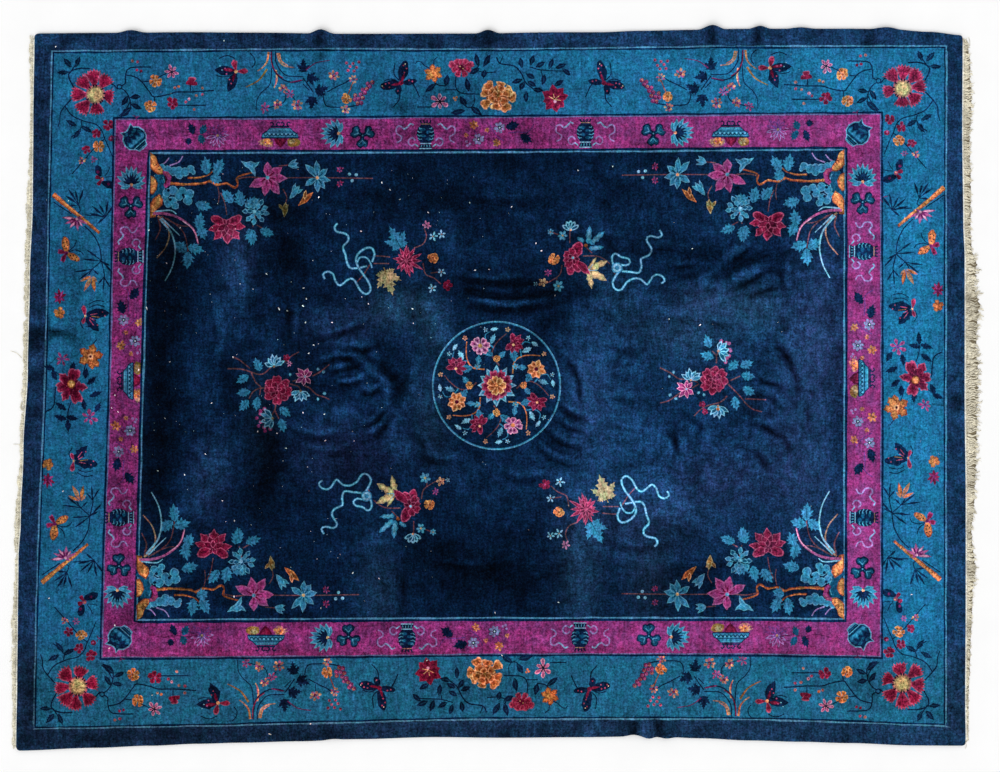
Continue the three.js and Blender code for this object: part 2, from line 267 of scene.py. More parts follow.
# half widths along a petal or leaf, from the base at 0 to the tip at 1
FORMS = {
    "point": [(0.0, 0.16), (0.22, 0.72), (0.45, 1.0), (0.68, 0.8), (0.86, 0.38), (1.0, 0.0)],
    "round": [(0.0, 0.3), (0.2, 0.74), (0.45, 1.0), (0.7, 0.96), (0.9, 0.6), (1.0, 0.2)],
    "wedge": [(0.0, 0.16), (0.3, 0.52), (0.6, 0.86), (0.84, 1.0), (1.0, 0.55)],
    "drop": [(0.0, 0.0), (0.25, 0.45), (0.55, 0.92), (0.78, 1.0), (0.95, 0.5), (1.0, 0.15)],
    "lance": [(0.0, 0.1), (0.3, 0.85), (0.5, 1.0), (0.75, 0.65), (1.0, 0.0)],
    "heart": [(0.0, 0.2), (0.3, 0.66), (0.62, 1.0), (0.88, 0.86), (1.0, 0.5), (0.93, 0.12)],
    "ragged": [(0.0, 0.3), (0.16, 0.78), (0.26, 0.66), (0.45, 1.0), (0.55, 0.84), (0.74, 1.0), (0.78, 0.72),
               (0.96, 0.66), (0.86, 0.36), (1.0, 0.14)],
    "spiky": [(0.0, 0.1), (0.14, 0.56), (0.22, 0.5), (0.36, 1.0), (0.42, 0.74), (0.56, 0.96), (0.6, 0.56),
              (0.76, 0.62), (0.79, 0.34), (1.0, 0.0)],
    "jagged": [(0.0, 0.1), (0.12, 0.5), (0.22, 0.34), (0.34, 1.0), (0.4, 0.5), (0.56, 0.92), (0.6, 0.38),
               (0.78, 0.52), (0.8, 0.2), (1.0, 0.0)],
    "frond": [(0.0, 0.06), (0.16, 0.62), (0.2, 0.44), (0.34, 1.0), (0.36, 0.62), (0.56, 1.0), (0.56, 0.56), (0.78, 0.66),
              (0.76, 0.3), (1.0, 0.0)],
    "flame": [(0.0, 0.1), (0.2, 0.5), (0.42, 0.92), (0.56, 1.0), (0.74, 0.72), (0.88, 0.32), (1.0, 0.0)],
    "tongue": [(0.0, 0.22), (0.2, 0.42), (0.45, 0.78), (0.7, 0.96), (0.86, 1.06), (0.78, 0.74), (0.98, 0.66), (0.84, 0.4),
               (1.02, 0.22), (0.9, 0.06)],
    "serrate": [(0.0, 0.08), (0.16, 0.6), (0.24, 0.52), (0.36, 1.0), (0.42, 0.78), (0.56, 0.98), (0.6, 0.66),
                (0.74, 0.7), (0.78, 0.4), (1.0, 0.0)],
    "lobed": [(0.0, 0.24), (0.14, 0.84), (0.27, 0.58), (0.42, 1.0), (0.56, 0.64), (0.72, 0.78), (0.84, 0.42),
              (1.0, 0.06)],
}


def form(kind, length, width, bend=0.0, seed=None):
    """The outline of a petal or leaf, a little uneven where it has a seed."""
    rows = FORMS[kind]
    if length < 7.0 and len(rows) > 5:
        rows = rows[:-1:2] + rows[-1:]
    half = width / 2.0
    sides = []
    for sign in (-1.0, 1.0):
        pts = []
        for i, (t, w) in enumerate(rows):
            if seed is not None and 0 < i:
                w = w * (1.0 + 0.15 * scatter(seed + i, 1.0 + sign))
                t = t + 0.03 * scatter(seed + i, 4.0 + sign) * (i < len(rows) - 1)
            pts.append((bend * t * t * length + sign * w * half, -t * length))
        sides.append(pts)
    left, right = sides
    if rows[-1][1] == 0.0:
        right = right[:-1]
    if rows[0][1] == 0.0:
        left = left[1:]
    return left + right[::-1]


def petal(p, kind, x, y, angle, length, width, rim, body=None, core=None, bend=0.0, inner=0.76):
    """A petal or leaf from (x, y) out along the angle, with a rim, a body and a core."""
    q = p.at(x, y, angle + 90.0)
    k = q.seed() + round(angle)
    q.fill(rim, form(kind, length, width, bend, k))
    if body:
        g = (1.0 - inner) * 0.5
        q.at(bend * g * g * length, -length * g * 0.9).fill(body, form(kind, length * inner, width * inner * 0.94, bend, k))
    if core:
        q.at(0.0, -length * 0.3).fill(core, form("lance", length * 0.42, width * 0.3, bend))


def leaf(p, colour, x, y, angle, length, width, kind="point", vein=None, bend=0.0):
    """A leaf centred on (x, y)."""
    c, s = math.cos(math.radians(angle)), math.sin(math.radians(angle))
    petal(p, kind, x - c * length / 2, y - s * length / 2, angle, length, width, colour, bend=bend)
    if vein:
        faint = colour == "dark" and vein == "teal"
        line(p, "deepteal" if faint else vein, [(x - c * length * 0.42, y - s * length * 0.42), (x + c * length * 0.22, y + s * length * 0.22)],
             0.5 if faint else 0.7, 0.35 if faint else 0.5)


def rosette(p, x, y, r, n, kind, width, rim, body=None, core=None, hole=0.15, turn=0.0, heart=None, hr=0.2, vary=0.08, across=1.0):
    """n petals round a centre."""
    q = p.at(x, y, turn)
    k = q.seed()
    for i in range(n):
        a = 360.0 * i / n + 50.0 / n * scatter(k + i, 1.0)
        c, s = math.cos(math.radians(a)), math.sin(math.radians(a))
        reach = r * (1.0 + vary * scatter(k + i, 2.0))
        q2 = q.at(0, 0, 0, across=across)
        petal(q2, kind, c * r * hole, s * r * hole, a, reach * (1 - hole), width, rim, body, core)
    if heart:
        disc(q, heart, 0, 0, r * hr, n=8)


def blossom(p, x, y, r, kind, turn=0.0):
    """The small blossoms of the borders and sprays."""
    r = r * 0.93
    if kind == "orange":
        rosette(p, x, y, r, 6, "wedge", r * 0.82, "amber", "orange", "rust", 0.16, turn, "rust", 0.22, vary=0.2)
        for i in range(3):
            a = math.radians(120 * i + turn)
            disc(p, "peach", x + r * 0.3 * math.cos(a), y + r * 0.3 * math.sin(a), 0.5, n=4)
    elif kind == "pink":
        disc(p, "plum", x, y, r * 0.5, n=8)
        rosette(p, x, y, r, 6, "drop", r * 0.5, "blush", "pink", None, 0.14, turn, None, vary=0.22)
        if r > 4.5:
            for i in range(6):
                a = math.radians(60.0 * i + 30 + turn + 8 * scatter(i, x))
                line(p, "ink", [(x, y), (x + r * 0.6 * math.cos(a), y + r * 0.6 * math.sin(a))], r * 0.16, r * 0.05)
        disc(p, "ink", x, y, r * 0.17, n=5)
    elif kind == "crimson":
        rosette(p, x, y, r, 5, "heart", r * 0.84, "red", "crimson", "wine", 0.1, turn, "pink", 0.16, vary=0.24)
        disc(p, "ink", x, y, r * 0.1, n=4)
    elif kind == "purple":
        rosette(p, x, y, r, 6, "drop", r * 0.46, "pink", "fuchsia", None, 0.16, turn, "purple", 0.26, vary=0.26)
    elif kind == "mixed":
        for i in range(7):
            a = math.radians(turn + 51 * i + 14 * scatter(i, x))
            reach = r * (0.62 + 0.16 * scatter(i, y))
            disc(p, ("tan", "berry", "pink", "peach", "berry", "tan", "rose")[i], x + reach * math.cos(a), y + reach * math.sin(a), r * 0.33, r * 0.24, math.degrees(a), n=6, rough=0.2)
        disc(p, "plum", x, y, r * 0.3, n=6, rough=0.2)
        disc(p, "tan", x + r * 0.1, y - r * 0.1, r * 0.1, n=4)
    elif kind == "pale":
        rosette(p, x, y, r, 5, "drop", r * 0.5, "ice", None, None, 0.12, turn, "tan", 0.18, vary=0.2)
    elif kind == "blue":
        rosette(p, x, y, r, 6, "round", r * 0.6, "motif", "sky", None, 0.2, turn, "olive", 0.24, vary=0.12)
    elif kind == "dull":
        rosette(p, x, y, r, 6, "round", r * 0.62, "berry", "orange", None, 0.2, turn, "rust", 0.3, vary=0.25)
        disc(p, "peach", x + r * 0.3, y - r * 0.2, r * 0.14, n=4)
    elif kind == "icy":
        rosette(p, x, y, r, 7, "round", r * 0.55, "sky", "lilac", None, 0.34, turn, "dark", 0.34)
        disc(p, "pale", x, y, r * 0.17, n=5)
    elif kind == "tan":
        rosette(p, x, y, r, 5, "drop", r * 0.66, "peach", "tan", None, 0.1, turn, "wine", 0.2, vary=0.12)


def dots(p, colour, places, r=0.9, n=5):
    for x, y in places:
        disc(p, colour, x, y, r, n=n)


# ---- the big border, corner spray -------------------------------------------
def corner_flower(p, x, y, petals):
    for i, (dx, dy) in enumerate(petals):
        d = math.hypot(dx, dy)
        a = math.degrees(math.atan2(dy, dx))
        q = p.at(x + dx * 0.40, y + dy * 0.40, a + 90.0 + 8.0 * scatter(i, 8.0))
        length, width = d * 0.5 + 6.2, 14.6 + 1.6 * scatter(i, 5.0)
        k = q.seed() + 11 * i
        q.fill("rose", form("tongue", length, width, 0.0, k))
        q.at(0.0, -length * 0.06).fill("red", form("tongue", length * 0.86, width * 0.80, 0.0, k))
        q.at(0.3, -length * 0.14).fill("crimson", form("tongue", length * 0.66, width * 0.56, 0.0, k + 3))
        line(q, "wine", [(0, -length * 0.2), (0.3 * scatter(i, 2.0), -length * 0.45), (0.2, -length * 0.72)], 1.3, 0.5)
        side = 1 if i % 2 else -1
        line(q, "wine", [(side * 1.8, -length * 0.45), (side * 3.0, -length * 0.7)], 0.9, 0.5)
    disc(p, "rose", x, y, 9.9, n=16, rough=0.04)
    disc(p, "tan", x, y, 9.0, n=14)
    for i in range(15):
        a = 360.0 * i / 15 + 8.0 * scatter(i, 3.0)
        if scatter(i, 6.0) > 0.45:
            continue
        q = p.at(x, y, a)
        q.fill("ink", [(7.6, -0.6), (10.2, -1.0), (10.2, 0.8), (7.6, 0.6)])
    disc(p, "olive", x, y, 7.3, n=14, rough=0.05)
    disc(p, "straw", x - 0.3, y - 0.3, 6.2, n=12, rough=0.1)
    for k in range(11):
        a, r = k * 2.4, 1.3 + 0.42 * k
        disc(p, ("bronze", "olive", "peach")[k % 3], x + r * math.cos(a), y + r * math.sin(a), 0.62, n=4)


def sprig(p, x, y, angle, n=3, size=8.0):
    """A few dark leaves from one point."""
    for i in range(n):
        a = angle + (i - (n - 1) / 2) * 62 + 8 * scatter(i, x)
        petal(p, "point", x, y, a, size * (1 + 0.15 * scatter(i, y)), size * 0.42, "dark")
        c, s = math.cos(math.radians(a)), math.sin(math.radians(a))
        line(p, "teal", [(x + c * size * 0.15, y + s * size * 0.15), (x + c * size * 0.6, y + s * size * 0.6)], 0.55, 0.4)


def corner_spray(p):
    """Drawn at the top right; its corner is the outer light line's, at (946.5, 46)."""
    d = "dark"
    # above and to the right of the flower
    line(p, d, [(924, 82), (929, 72), (928, 66), (919, 62.5), (908, 62.5)], 1.3)
    line(p, d, [(928, 67), (921, 57)], 1.1)
    line(p, d, [(928, 66), (937, 67)], 1.1)
    leaf(p, d, 920, 55.5, -112, 12, 5.6, "serrate", "teal")
    leaf(p, d, 930.5, 56.5, -48, 12.5, 6.4, "spiky", "teal")
    leaf(p, d, 935.5, 66.5, 4, 12, 5.4, "serrate", "teal")
    # the long trail down the side
    line(p, d, [(925.5, 92), (933, 100), (937.5, 107), (938, 114), (940, 121)], 1.3, 0.9)
    line(p, d, [(933, 100), (926, 109.5), (914.5, 115), (903, 118), (896.5, 124), (893.5, 132), (889, 142), (884.3, 154)], 1.2, 0.9)
    line(p, d, [(917, 115), (915.8, 121)], 1.0)
    for a, x, y in ((150, 911, 123.5), (52, 921, 128), (-28, 927, 117)):
        leaf(p, d, x, y, a, 13, 5.6, "serrate", "teal")
    line(p, d, [(915.8, 120), (921, 127), (927, 131)], 1.0)
    # the trail along the top
    line(p, d, [(889, 77), (884, 79), (880.5, 83), (877, 80), (872.7, 77.5), (872.5, 70), (868, 62), (847, 61)], 1.2)
    line(p, d, [(881, 81), (874, 84), (868.5, 92), (867, 103)], 1.1)
    disc(p, d, 878.5, 80.8, 3.0, n=9)
    disc(p, "teal", 878.5, 80.8, 1.7, n=7)
    line(p, d, [(872.5, 69), (863, 71), (856, 76), (847, 88), (843.5, 91), (829.5, 88.5), (822, 86), (806, 86), (784, 84.5)], 1.2)
    line(p, d, [(843.6, 91), (843.2, 99)], 1.0)
    line(p, d, [(867.5, 95), (872, 103), (879, 110)], 1.0)
    leaf(p, d, 863, 91, 8, 11, 5.2, "point", "teal")
    leaf(p, d, 873, 95, 56, 12, 5.4, "point", "teal")
    leaf(p, d, 861.5, 100.5, 155, 12, 5.0, "point", "teal")
    leaf(p, d, 872.5, 106.5, 40, 15, 6.4, "point", "teal")
    line(p, d, [(856, 76), (849, 75.2)], 1.0)
    blossom(p, 842.5, 74.6, 6.4, "orange", 10)
    blossom(p, 847.6, 100.4, 6.2, "orange", 30)
    line(p, d, [(840, 71.5), (831, 67)], 1.0)
    blossom(p, 826.2, 66, 7.6, "pink", -70)
    line(p, d, [(807.5, 77), (807.5, 85)], 1.0)
    petal(p, "wedge", 806.5, 79, -95, 8, 8, "rose", "crimson")
    petal(p, "wedge", 806.5, 79, -160, 6, 4.6, "crimson")
    petal(p, "wedge", 806.5, 79, -35, 6, 4.6, "crimson")
    blossom(p, 825.4, 97.8, 6.8, "crimson", 15)
    line(p, d, [(792, 99.3), (820, 99.3)], 1.1)
    for x, y, c in ((860.5, 56, "rose"), (865.5, 55, "peach"), (856.9, 65, "crimson"), (861, 64, "red"),
                    (819.3, 80.5, "orange"), (823, 82, "peach"), (795.6, 82.1, "peach"), (795.6, 88.7, "rose"),
                    (801.5, 89.6, "peach"), (808.8, 93.2, "blush"), (803.8, 103.6, "peach"), (812, 96, "rose")):
        disc(p, "berry" if c == "peach" else c, x, y, 1.6, n=6, rough=0.2)
        disc(p, "wine", x + 0.3, y + 0.4, 0.55, n=4)
    # the cluster under the flower
    line(p, d, [(893, 133), (900, 138), (912, 152), (926, 168)], 1.0)
    line(p, d, [(897, 124), (903, 128)], 1.0)
    blossom(p, 890, 119.4, 6.2, "crimson", 20)
    blossom(p, 901.3, 127.2, 5.4, "crimson", 50)
    disc(p, "crimson", 886.8, 132.7, 2.8, n=6, rough=0.2)
    disc(p, "pink", 887.4, 132.2, 1.2, n=5)
    blossom(p, 899.2, 140.2, 5.8, "orange", 0)
    blossom(p, 911.6, 143.2, 4.8, "crimson", 70)
    blossom(p, 904.2, 153.6, 3.8, "purple", 0)
    blossom(p, 915.8, 154.4, 4.4, "mixed", 0)
    small_butterfly(p, 896, 173)


def small_butterfly(p, x, y):
    q = p.at(x, y)
    leaf(q, "dark", 3.4, -8.2, -72, 12, 7, "round")
    leaf(q, "dark", -6.6, 5.6, 162, 15, 7.6, "round")
    disc(q, "plum", 4.0, -7.0, 1.6, n=6)
    disc(q, "plum", -6.5, 5.2, 1.5, n=6)
    petal(q, "wedge", 0, 0, -20, 7, 4.4, "crimson")
    petal(q, "wedge", 0, 0, 55, 7.4, 4.2, "crimson")
    disc(q, "rose", 0, 0, 2.2, n=7)
    disc(q, "peach", -0.3, -0.5, 0.9, n=5)
    line(q, "dark", [(-8, -12), (-6.0, -7), (-2.6, -2.6)], 0.75)
    line(q, "dark", [(-13, -3.4), (-8, -2.2), (-3.0, -2.0)], 0.75)


# ---- the big border, bamboo and butterflies along the short sides -----------
def fan(p, x, y, tips, width=3.2, colour="dark"):
    for tx, ty in tips:
        a = math.degrees(math.atan2(ty - y, tx - x))
        petal(p, "lance", x + 0.2 * (tx - x), y + 0.2 * (ty - y), a, math.hypot(tx - x, ty - y) * 0.84, width * 0.74, colour, bend=0.08 * scatter(tx, ty))
        line(p, colour, [(x, y), (x + 0.4 * (tx - x), y + 0.4 * (ty - y))], 0.9, 0.8)


def side_quarter(p):
    """Drawn at the upper right, for the stretch between the corner spray and the middle."""
    d = "dark"
    fan(p, 919, 198, ((914.5, 182), (922, 183.5), (928.5, 181.5), (931.5, 188), (929, 199)))
    line(p, d, [(919, 198), (917, 204), (921, 206)], 1.0)
    fan(p, 892, 210, ((883, 197), (890, 193.5), (898, 196.5), (906, 199), (908, 206), (900, 216)))
    line(p, d, [(892, 210), (902, 208.5), (912.5, 208)], 1.0)
    line(p, d, [(944, 195), (935, 201), (926, 207)], 1.0)
    line(p, "rust", [(944, 187.5), (930, 199.5), (914, 212.5), (898, 226)], 4.9, 2.6, knobs=0.16)
    line(p, "orange", [(944, 187), (930, 199.2), (914, 212), (899, 224.6)], 3.5, 1.7, knobs=0.2)
    line(p, "amber", [(941, 189), (930, 198.4), (914, 211.4), (904, 220)], 1.3, 0.8)
    for x, y in ((936, 194.6), (925, 203.6), (915, 211.4), (906, 219)):
        line(p, "rust", [(x - 1.5, y - 1.9), (x + 1.5, y + 1.9)], 0.7)
    q = p.at(920.6, 212)
    for a, r, w in ((-6, 16, 3.0), (22, 14, 2.6), (52, 12.5, 2.6), (95, 13, 2.8), (128, 10, 2.4), (155, 13, 2.6), (-150, 6, 2.2)):
        petal(q, "lance", 0, 0, a, r * 0.94, w * 1.16, "pink" if a % 3 else "fuchsia", "blush" if a in (-6, 52, 128) else None)
    for a in (8, 38, 74, 112):
        petal(q, "lance", 0, 0, a, 8.5, 2.2, "plum")
    disc(q, "blush", 0, 0, 1.5, n=6)
    line(p, d, [(913, 219), (904, 228), (898, 240), (896, 253)], 1.1)
    fan(p, 896, 254, ((911, 241.5), (914, 252), (884, 266), (888, 259)), 3.0)
    line(p, d, [(896, 254), (905, 262), (909, 268)], 1.0)
    fan(p, 905, 262, ((923, 265.5), (919, 273.5), (899, 268)), 2.8)
    line(p, d, [(896, 254), (893, 268), (893.5, 274)], 1.0)
    fan(p, 893.5, 270, ((887, 281), (894, 284), (899, 277)), 2.6)
    petal(p, "lance", 905, 270, 99, 15, 4.4, "rust", "orange")
    petal(p, "lance", 906, 270, 62, 16.5, 4.2, "orange", "tan")
    petal(p, "lance", 906.5, 269, 26, 12.5, 3.6, "berry", "orange")
    petal(p, "lance", 905, 269, 128, 8, 2.6, "tan")
    # an orange butterfly
    q = p.at(931, 246)
    for a, l, w in ((-84, 16.5, 8.0), (150, 15, 7.0)):
        petal(q, "round", 0, 0, a, l, w, "rust", "orange", inner=0.86)
        c, s = math.cos(math.radians(a)), math.sin(math.radians(a))
        dots(q, "ink", [(c * r + s * t, s * r - c * t) for r, t in ((7, -1.6), (7.5, 1.8), (11, -1.4), (11.4, 1.6), (4.6, 0.2))], 0.75)
    petal(q, "heart", 0, 0, -12, 9, 5.0, "fuchsia", "crimson")
    petal(q, "heart", 0, 0, 62, 10, 5.0, "fuchsia", "crimson")
    disc(q, "plum", 0, 0, 1.9, n=7)
    line(q, d, [(-2, -1), (-8, -3), (-15, -1), (-17, 2)], 0.9)
    line(q, d, [(-2, -2), (-8, -7), (-10, -13)], 0.9)
    # crimson sprout, orange knob
    for i, (a, l) in enumerate(((-152, 8.0), (-118, 8.5), (-84, 9.5), (-46, 7.5), (-6, 6.0), (44, 6.5), (92, 7.0), (148, 6.6))):
        petal(p, "lance", 938.0, 290.6, a, l, 3.1, "plum" if i % 2 else "wine", "fuchsia" if i % 2 else "crimson")
    disc(p, "plum", 938.0, 290.8, 1.7, n=6)
    for a, l in ((-104, 6.4), (-22, 6.0), (50, 5.4), (118, 6.2), (188, 5.6)):
        petal(p, "heart", 938, 305.8, a, l, 5.2, "rust", "orange", inner=0.84)
    disc(p, "orange", 938, 305.8, 2.4, n=7, rough=0.2)
    dots(p, "rust", ((937, 304.6), (939.4, 306.4)), 0.6)
    # a dark butterfly with a pink body
    q = p.at(909, 308.5)
    petal(q, "round", 2, -1, 184, 22.5, 9.4, "dark")
    petal(q, "lobed", 2, 2, 132, 18.5, 10.5, "dark")
    petal(q, "point", -3, -3, 202, 9, 5.4, "dark")
    for a, r0, r1 in ((190, 4, 11), (172, 5, 13), (148, 4, 9), (126, 5, 12)):
        c, s_ = math.cos(math.radians(a)), math.sin(math.radians(a))
        line(q, "rose" if a != 172 else "bronze", [(2 + c * r0, s_ * r0), (2 + c * r1, s_ * r1)], 0.9, 0.6)
    dots(q, "rose", ((-14, -3.4), (-16.5, 0.4), (-9, 9.6)), 0.8)
    petal(q, "drop", 3.2, 0.8, -80, 11, 4.8, "rose", "crimson")
    petal(q, "drop", 3.0, 0.4, 70, 8.5, 3.6, "rose", "crimson")
    disc(q, "peach", 3.2, 0.6, 1.2, n=5)
    line(q, d, [(-16, -9), (-8, -10.6), (-1, -8)], 0.9)
    line(q, d, [(-16, -13.8), (-8, -15), (0, -11)], 0.9)
    line(q, d, [(6, 2), (8, 8), (5, 13)], 0.9)


def side_middle(p):
    """Drawn at the right; turned half round for the left."""
    d = "dark"
    blossom(p, 897.5, 346.7, 8.6, "purple", -100)
    for x, y, a, l in ((889, 357, 120, 12), (903, 360, 80, 12), (891, 370, 160, 14), (919, 338, -92, 13), (914.5, 346, -170, 13),
                       (927, 346.5, 18, 14), (926.5, 358, 35, 14), (895.1, 383.5, 140, 12), (901, 391, 95, 11),
                       (933, 389.5, 65, 12), (914, 397.5, 100, 11), (938, 396.5, 20, 12)):
        leaf(p, d, x, y, a, l, 6.4, "spiky")
    line(p, d, [(942, 352), (934, 357), (932, 368), (931.5, 377)], 1.2)
    line(p, d, [(919, 342), (919, 352), (916, 362)], 1.1)
    line(p, d, [(904, 390), (900, 404)], 1.0)
    line(p, d, [(926, 388), (934, 394)], 1.0)
    line(p, d, [(896, 417), (890, 425)], 1.0)
    # a full crimson flower
    disc(p, "crimson", 915.6, 378.6, 7.0, n=10)
    for i, (a, l, w) in enumerate(((-112, 19.0, 12.0), (-60, 18.0, 12.0), (-8, 15.5, 10.5), (44, 17.0, 11.5), (104, 17.5, 12.0), (188, 16.5, 11.0))):
        petal(p, "lobed" if i % 2 else "heart", 915.6, 378.6, a, l, w, "rose", "crimson", "wine", inner=0.84)
    for a, l in ((-88, 10.5), (-36, 9.5), (18, 9.0), (74, 9.5), (142, 9.0), (226, 10.0)):
        petal(p, "point", 915.6, 378.6, a, l, 3.6, "wine")
    disc(p, "rust", 915.5, 380, 4.3, n=9, rough=0.1)
    disc(p, "amber", 915.5, 380, 3.3, n=8, rough=0.15)
    dots(p, "peach", ((914.2, 379), (917.0, 379.4), (915.6, 381.8)), 0.8)
    # an orange lobed flower
    for a in (-100, -30, 35, 105, 170, 232):
        petal(p, "lobed", 896.5, 407.5, a, 13, 10.5, "rust", "orange")
    disc(p, "peach", 896.5, 407.5, 3.0, n=8)
    disc(p, "wine", 896.5, 407.5, 1.4, n=6)
    blossom(p, 925, 405, 6.8, "purple", 10)


# ---- the big border, long sides ----------------------------------------------
def maple(p, x, y, angle, size, colour="dark", vein=None):
    """A maple leaf whose stalk is at (x, y)."""
    q = p.at(x, y, angle + 90.0)
    for a, l, w in ((0, 1.0, 0.62), (-48, 0.74, 0.46), (48, 0.74, 0.46), (-100, 0.44, 0.34), (100, 0.44, 0.34)):
        petal(q, "jagged", 0, -size * 0.22, a - 90.0, size * l * 0.86, size * w * 0.86, colour)
    q.fill(colour, [(-size * 0.12, -size * 0.1), (size * 0.12, -size * 0.1), (size * 0.16, -size * 0.42), (-size * 0.16, -size * 0.42)])
    if vein:
        line(q, vein, [(0, size * 0.02), (0, -size * 0.55)], 0.8, 0.5)


def plant(p):
    """Drawn at the top left, rooted in the outer line at (274, 50)."""
    d = "dark"
    # grass
    line(p, "tan", [(268.5, 52), (267, 62), (262, 68), (257.5, 71)], 2.4, 1.0)
    line(p, "orange", [(269, 52), (267.5, 60), (264, 66)], 1.4, 0.7)
    line(p, "bronze", [(267, 69), (260, 79), (252.5, 84), (246, 87)], 2.2, 0.9)
    line(p, "tan", [(277.6, 53), (279.5, 61), (285, 66), (294, 67.5)], 2.4, 0.9)
    line(p, "orange", [(279.4, 53), (281.5, 61), (288, 65.5)], 1.2, 0.6)
    line(p, "peach", [(275.8, 70), (277, 80), (274, 88)], 2.0, 0.9)
    line(p, "rose", [(276.2, 78), (275.4, 86)], 1.0)
    # stems
    line(p, d, [(271.5, 51.5), (272, 62), (275, 72), (283, 79.5), (293, 82.3), (303, 80)], 1.7, 1.2)
    line(p, "crimson", [(271, 52), (271.6, 63), (276.5, 73), (283, 78)], 0.9)
    line(p, "plum", [(290, 82.4), (302, 80)], 1.2)
    line(p, d, [(275.8, 51.5), (276, 62), (281, 71), (288, 76), (303, 76.5)], 1.2, 0.9)
    line(p, d, [(272, 66), (270, 84), (262, 92), (257, 100), (256, 111)], 1.0, 0.8)
    line(p, d, [(303, 78), (309, 86), (313, 92)], 1.1)
    maple(p, 303, 73.5, -88, 14.5)
    maple(p, 305.5, 77.5, 8, 14.5)
    maple(p, 314.5, 93.5, -26, 15)
    maple(p, 312.5, 95.0, 96, 14.5)
    line(p, "plum", [(306, 70), (316, 63), (329.6, 60.5)], 1.1, 0.8)
    line(p, d, [(327, 92), (337, 86.5), (345, 83), (350, 79.5)], 1.1)
    line(p, d, [(323, 96), (325, 104), (330, 107), (347, 107), (359, 105)], 1.1)
    line(p, d, [(334, 80), (334, 87)], 0.9)
    blossom(p, 333.5, 75.8, 6.4, "mixed", 20)
    blossom(p, 353.4, 79.4, 5.0, "mixed", 50)
    blossom(p, 346, 99, 5.6, "orange", 15)
    blossom(p, 345.3, 109.6, 5.6, "mixed", 0)
    line(p, "rust", [(353, 82), (350, 90), (347, 96)], 1.0)
    dots(p, "rose", ((346.5, 63), (353, 63.5), (359, 62), (356.5, 67.5), (348, 70.5), (354, 71), (350, 66.5)), 1.6, 6)
    dots(p, "wine", ((346.9, 63.4), (353.4, 64), (359.3, 62.4), (356.8, 68), (348.4, 71), (354.3, 71.4)), 0.8)
    grapes = [(357.5, 103), (361, 102.5), (358.5, 98.5), (362.5, 97.5), (360.5, 94), (364.5, 92.5), (366.5, 88.5),
              (362.5, 89.5), (369.5, 86), (372, 82), (367.5, 83.5), (354.5, 99), (355, 95)]
    dots(p, "plum", [(x + 0.3, y + 0.4) for x, y in grapes], 2.5, 6)
    dots(p, "pink", [g for i, g in enumerate(grapes) if i % 3], 1.7, 6)
    dots(p, "berry", [g for i, g in enumerate(grapes) if not i % 3], 1.6, 6)
    dots(p, "plum", [(x + 0.5, y + 0.6) for x, y in grapes], 0.7, 5)
    # blossoms near the root
    line(p, d, [(284, 90), (286, 97), (283.5, 102.5), (276, 106)], 1.0)
    line(p, d, [(288, 92), (295, 99.5)], 1.0)
    line(p, d, [(266, 108), (274, 106.5)], 1.0)
    blossom(p, 283, 88.3, 5.4, "mixed", 30)
    blossom(p, 290.5, 94, 5.2, "purple", 10)
    blossom(p, 264.6, 108, 5.4, "purple", 40)
    blossom(p, 277.2, 104.2, 5.8, "mixed", 70)
    blossom(p, 297.4, 105, 6.4, "mixed", -20)
    line(p, d, [(303, 84), (309, 90)], 0.9)


def large_butterfly(p, x, y):
    q = p.at(x, y)
    petal(q, "round", 0, -1, -78, 22, 9.6, "dark")
    petal(q, "round", -1, 0, 168, 20, 9.4, "dark")
    petal(q, "round", 1, 0, -8, 15, 6.6, "dark")
    petal(q, "round", -1, 2, 108, 10, 6.4, "dark")
    line(q, "dark", [(11, -1), (15, 6), (18.5, 14)], 1.3, 1.0)
    line(q, "dark", [(-1, 9), (-2, 17), (-8, 24)], 1.3, 0.9)
    line(q, "dark", [(-2, -3), (-7, -9), (-6, -20)], 1.0)
    line(q, "dark", [(-4, -2), (-10, -4), (-17, -2)], 1.0)
    petal(q, "lance", 0.5, 0, -74, 10.5, 2.5, "crimson")
    petal(q, "lance", 0, 0.5, 171, 10.5, 2.5, "crimson")
    disc(q, "crimson", 0, 0, 2.4, n=8)
    disc(q, "wine", 0.4, 0.4, 1.3, n=6)
    dots(q, "rose", ((2.5, -17.5), (5.6, -14.5), (3.6, -10.5), (-15.5, 1), (-11.5, 4.2), (-12, 0.2), (-17.5, 4.6), (8, -2.6), (11.4, -1.6), (-3, 8)), 0.9)
    dots(q, "cream", ((4.2, -19), (-18.8, 3)), 0.6)


def corner_butterfly(p, x, y):
    """The butterfly between the plant and the corner spray."""
    q = p.at(x, y)
    petal(q, "point", 0, 0, 184, 22, 10.5, "dark")
    petal(q, "point", 0, 1, 112, 21, 10.5, "dark")
    petal(q, "lance", -1, -1, 186, 13, 3.6, "wine", "crimson")
    dots(q, "ice", ((-16, -5.5), (-14, -1.5)), 0.7)
    dots(q, "rose", ((-7, -1.8), (-3, 9), (-6.5, 8), (-4.8, 12)), 0.8)
    dots(q, "pink", ((-9.5, 2.4), (-11, -3)), 0.9)
    petal(q, "drop", 0, 0, -102, 12, 6.0, "rose", "red")
    petal(q, "drop", 0, 0, -2, 12, 5.4, "rose", "red")
    petal(q, "lance", -1, 1, 105, 10, 3.2, "wine")
    disc(q, "peach", 0, 0, 1.9, n=7)
    line(q, "dark", [(14, -18), (18, -14), (19, -8), (16, -4)], 1.0)
    line(q, "dark", [(-1, -13), (-9, -16), (-17, -13)], 1.0)
    line(q, "dark", [(-3, 4), (-14, 5.5), (-20, 3.6)], 0.9)


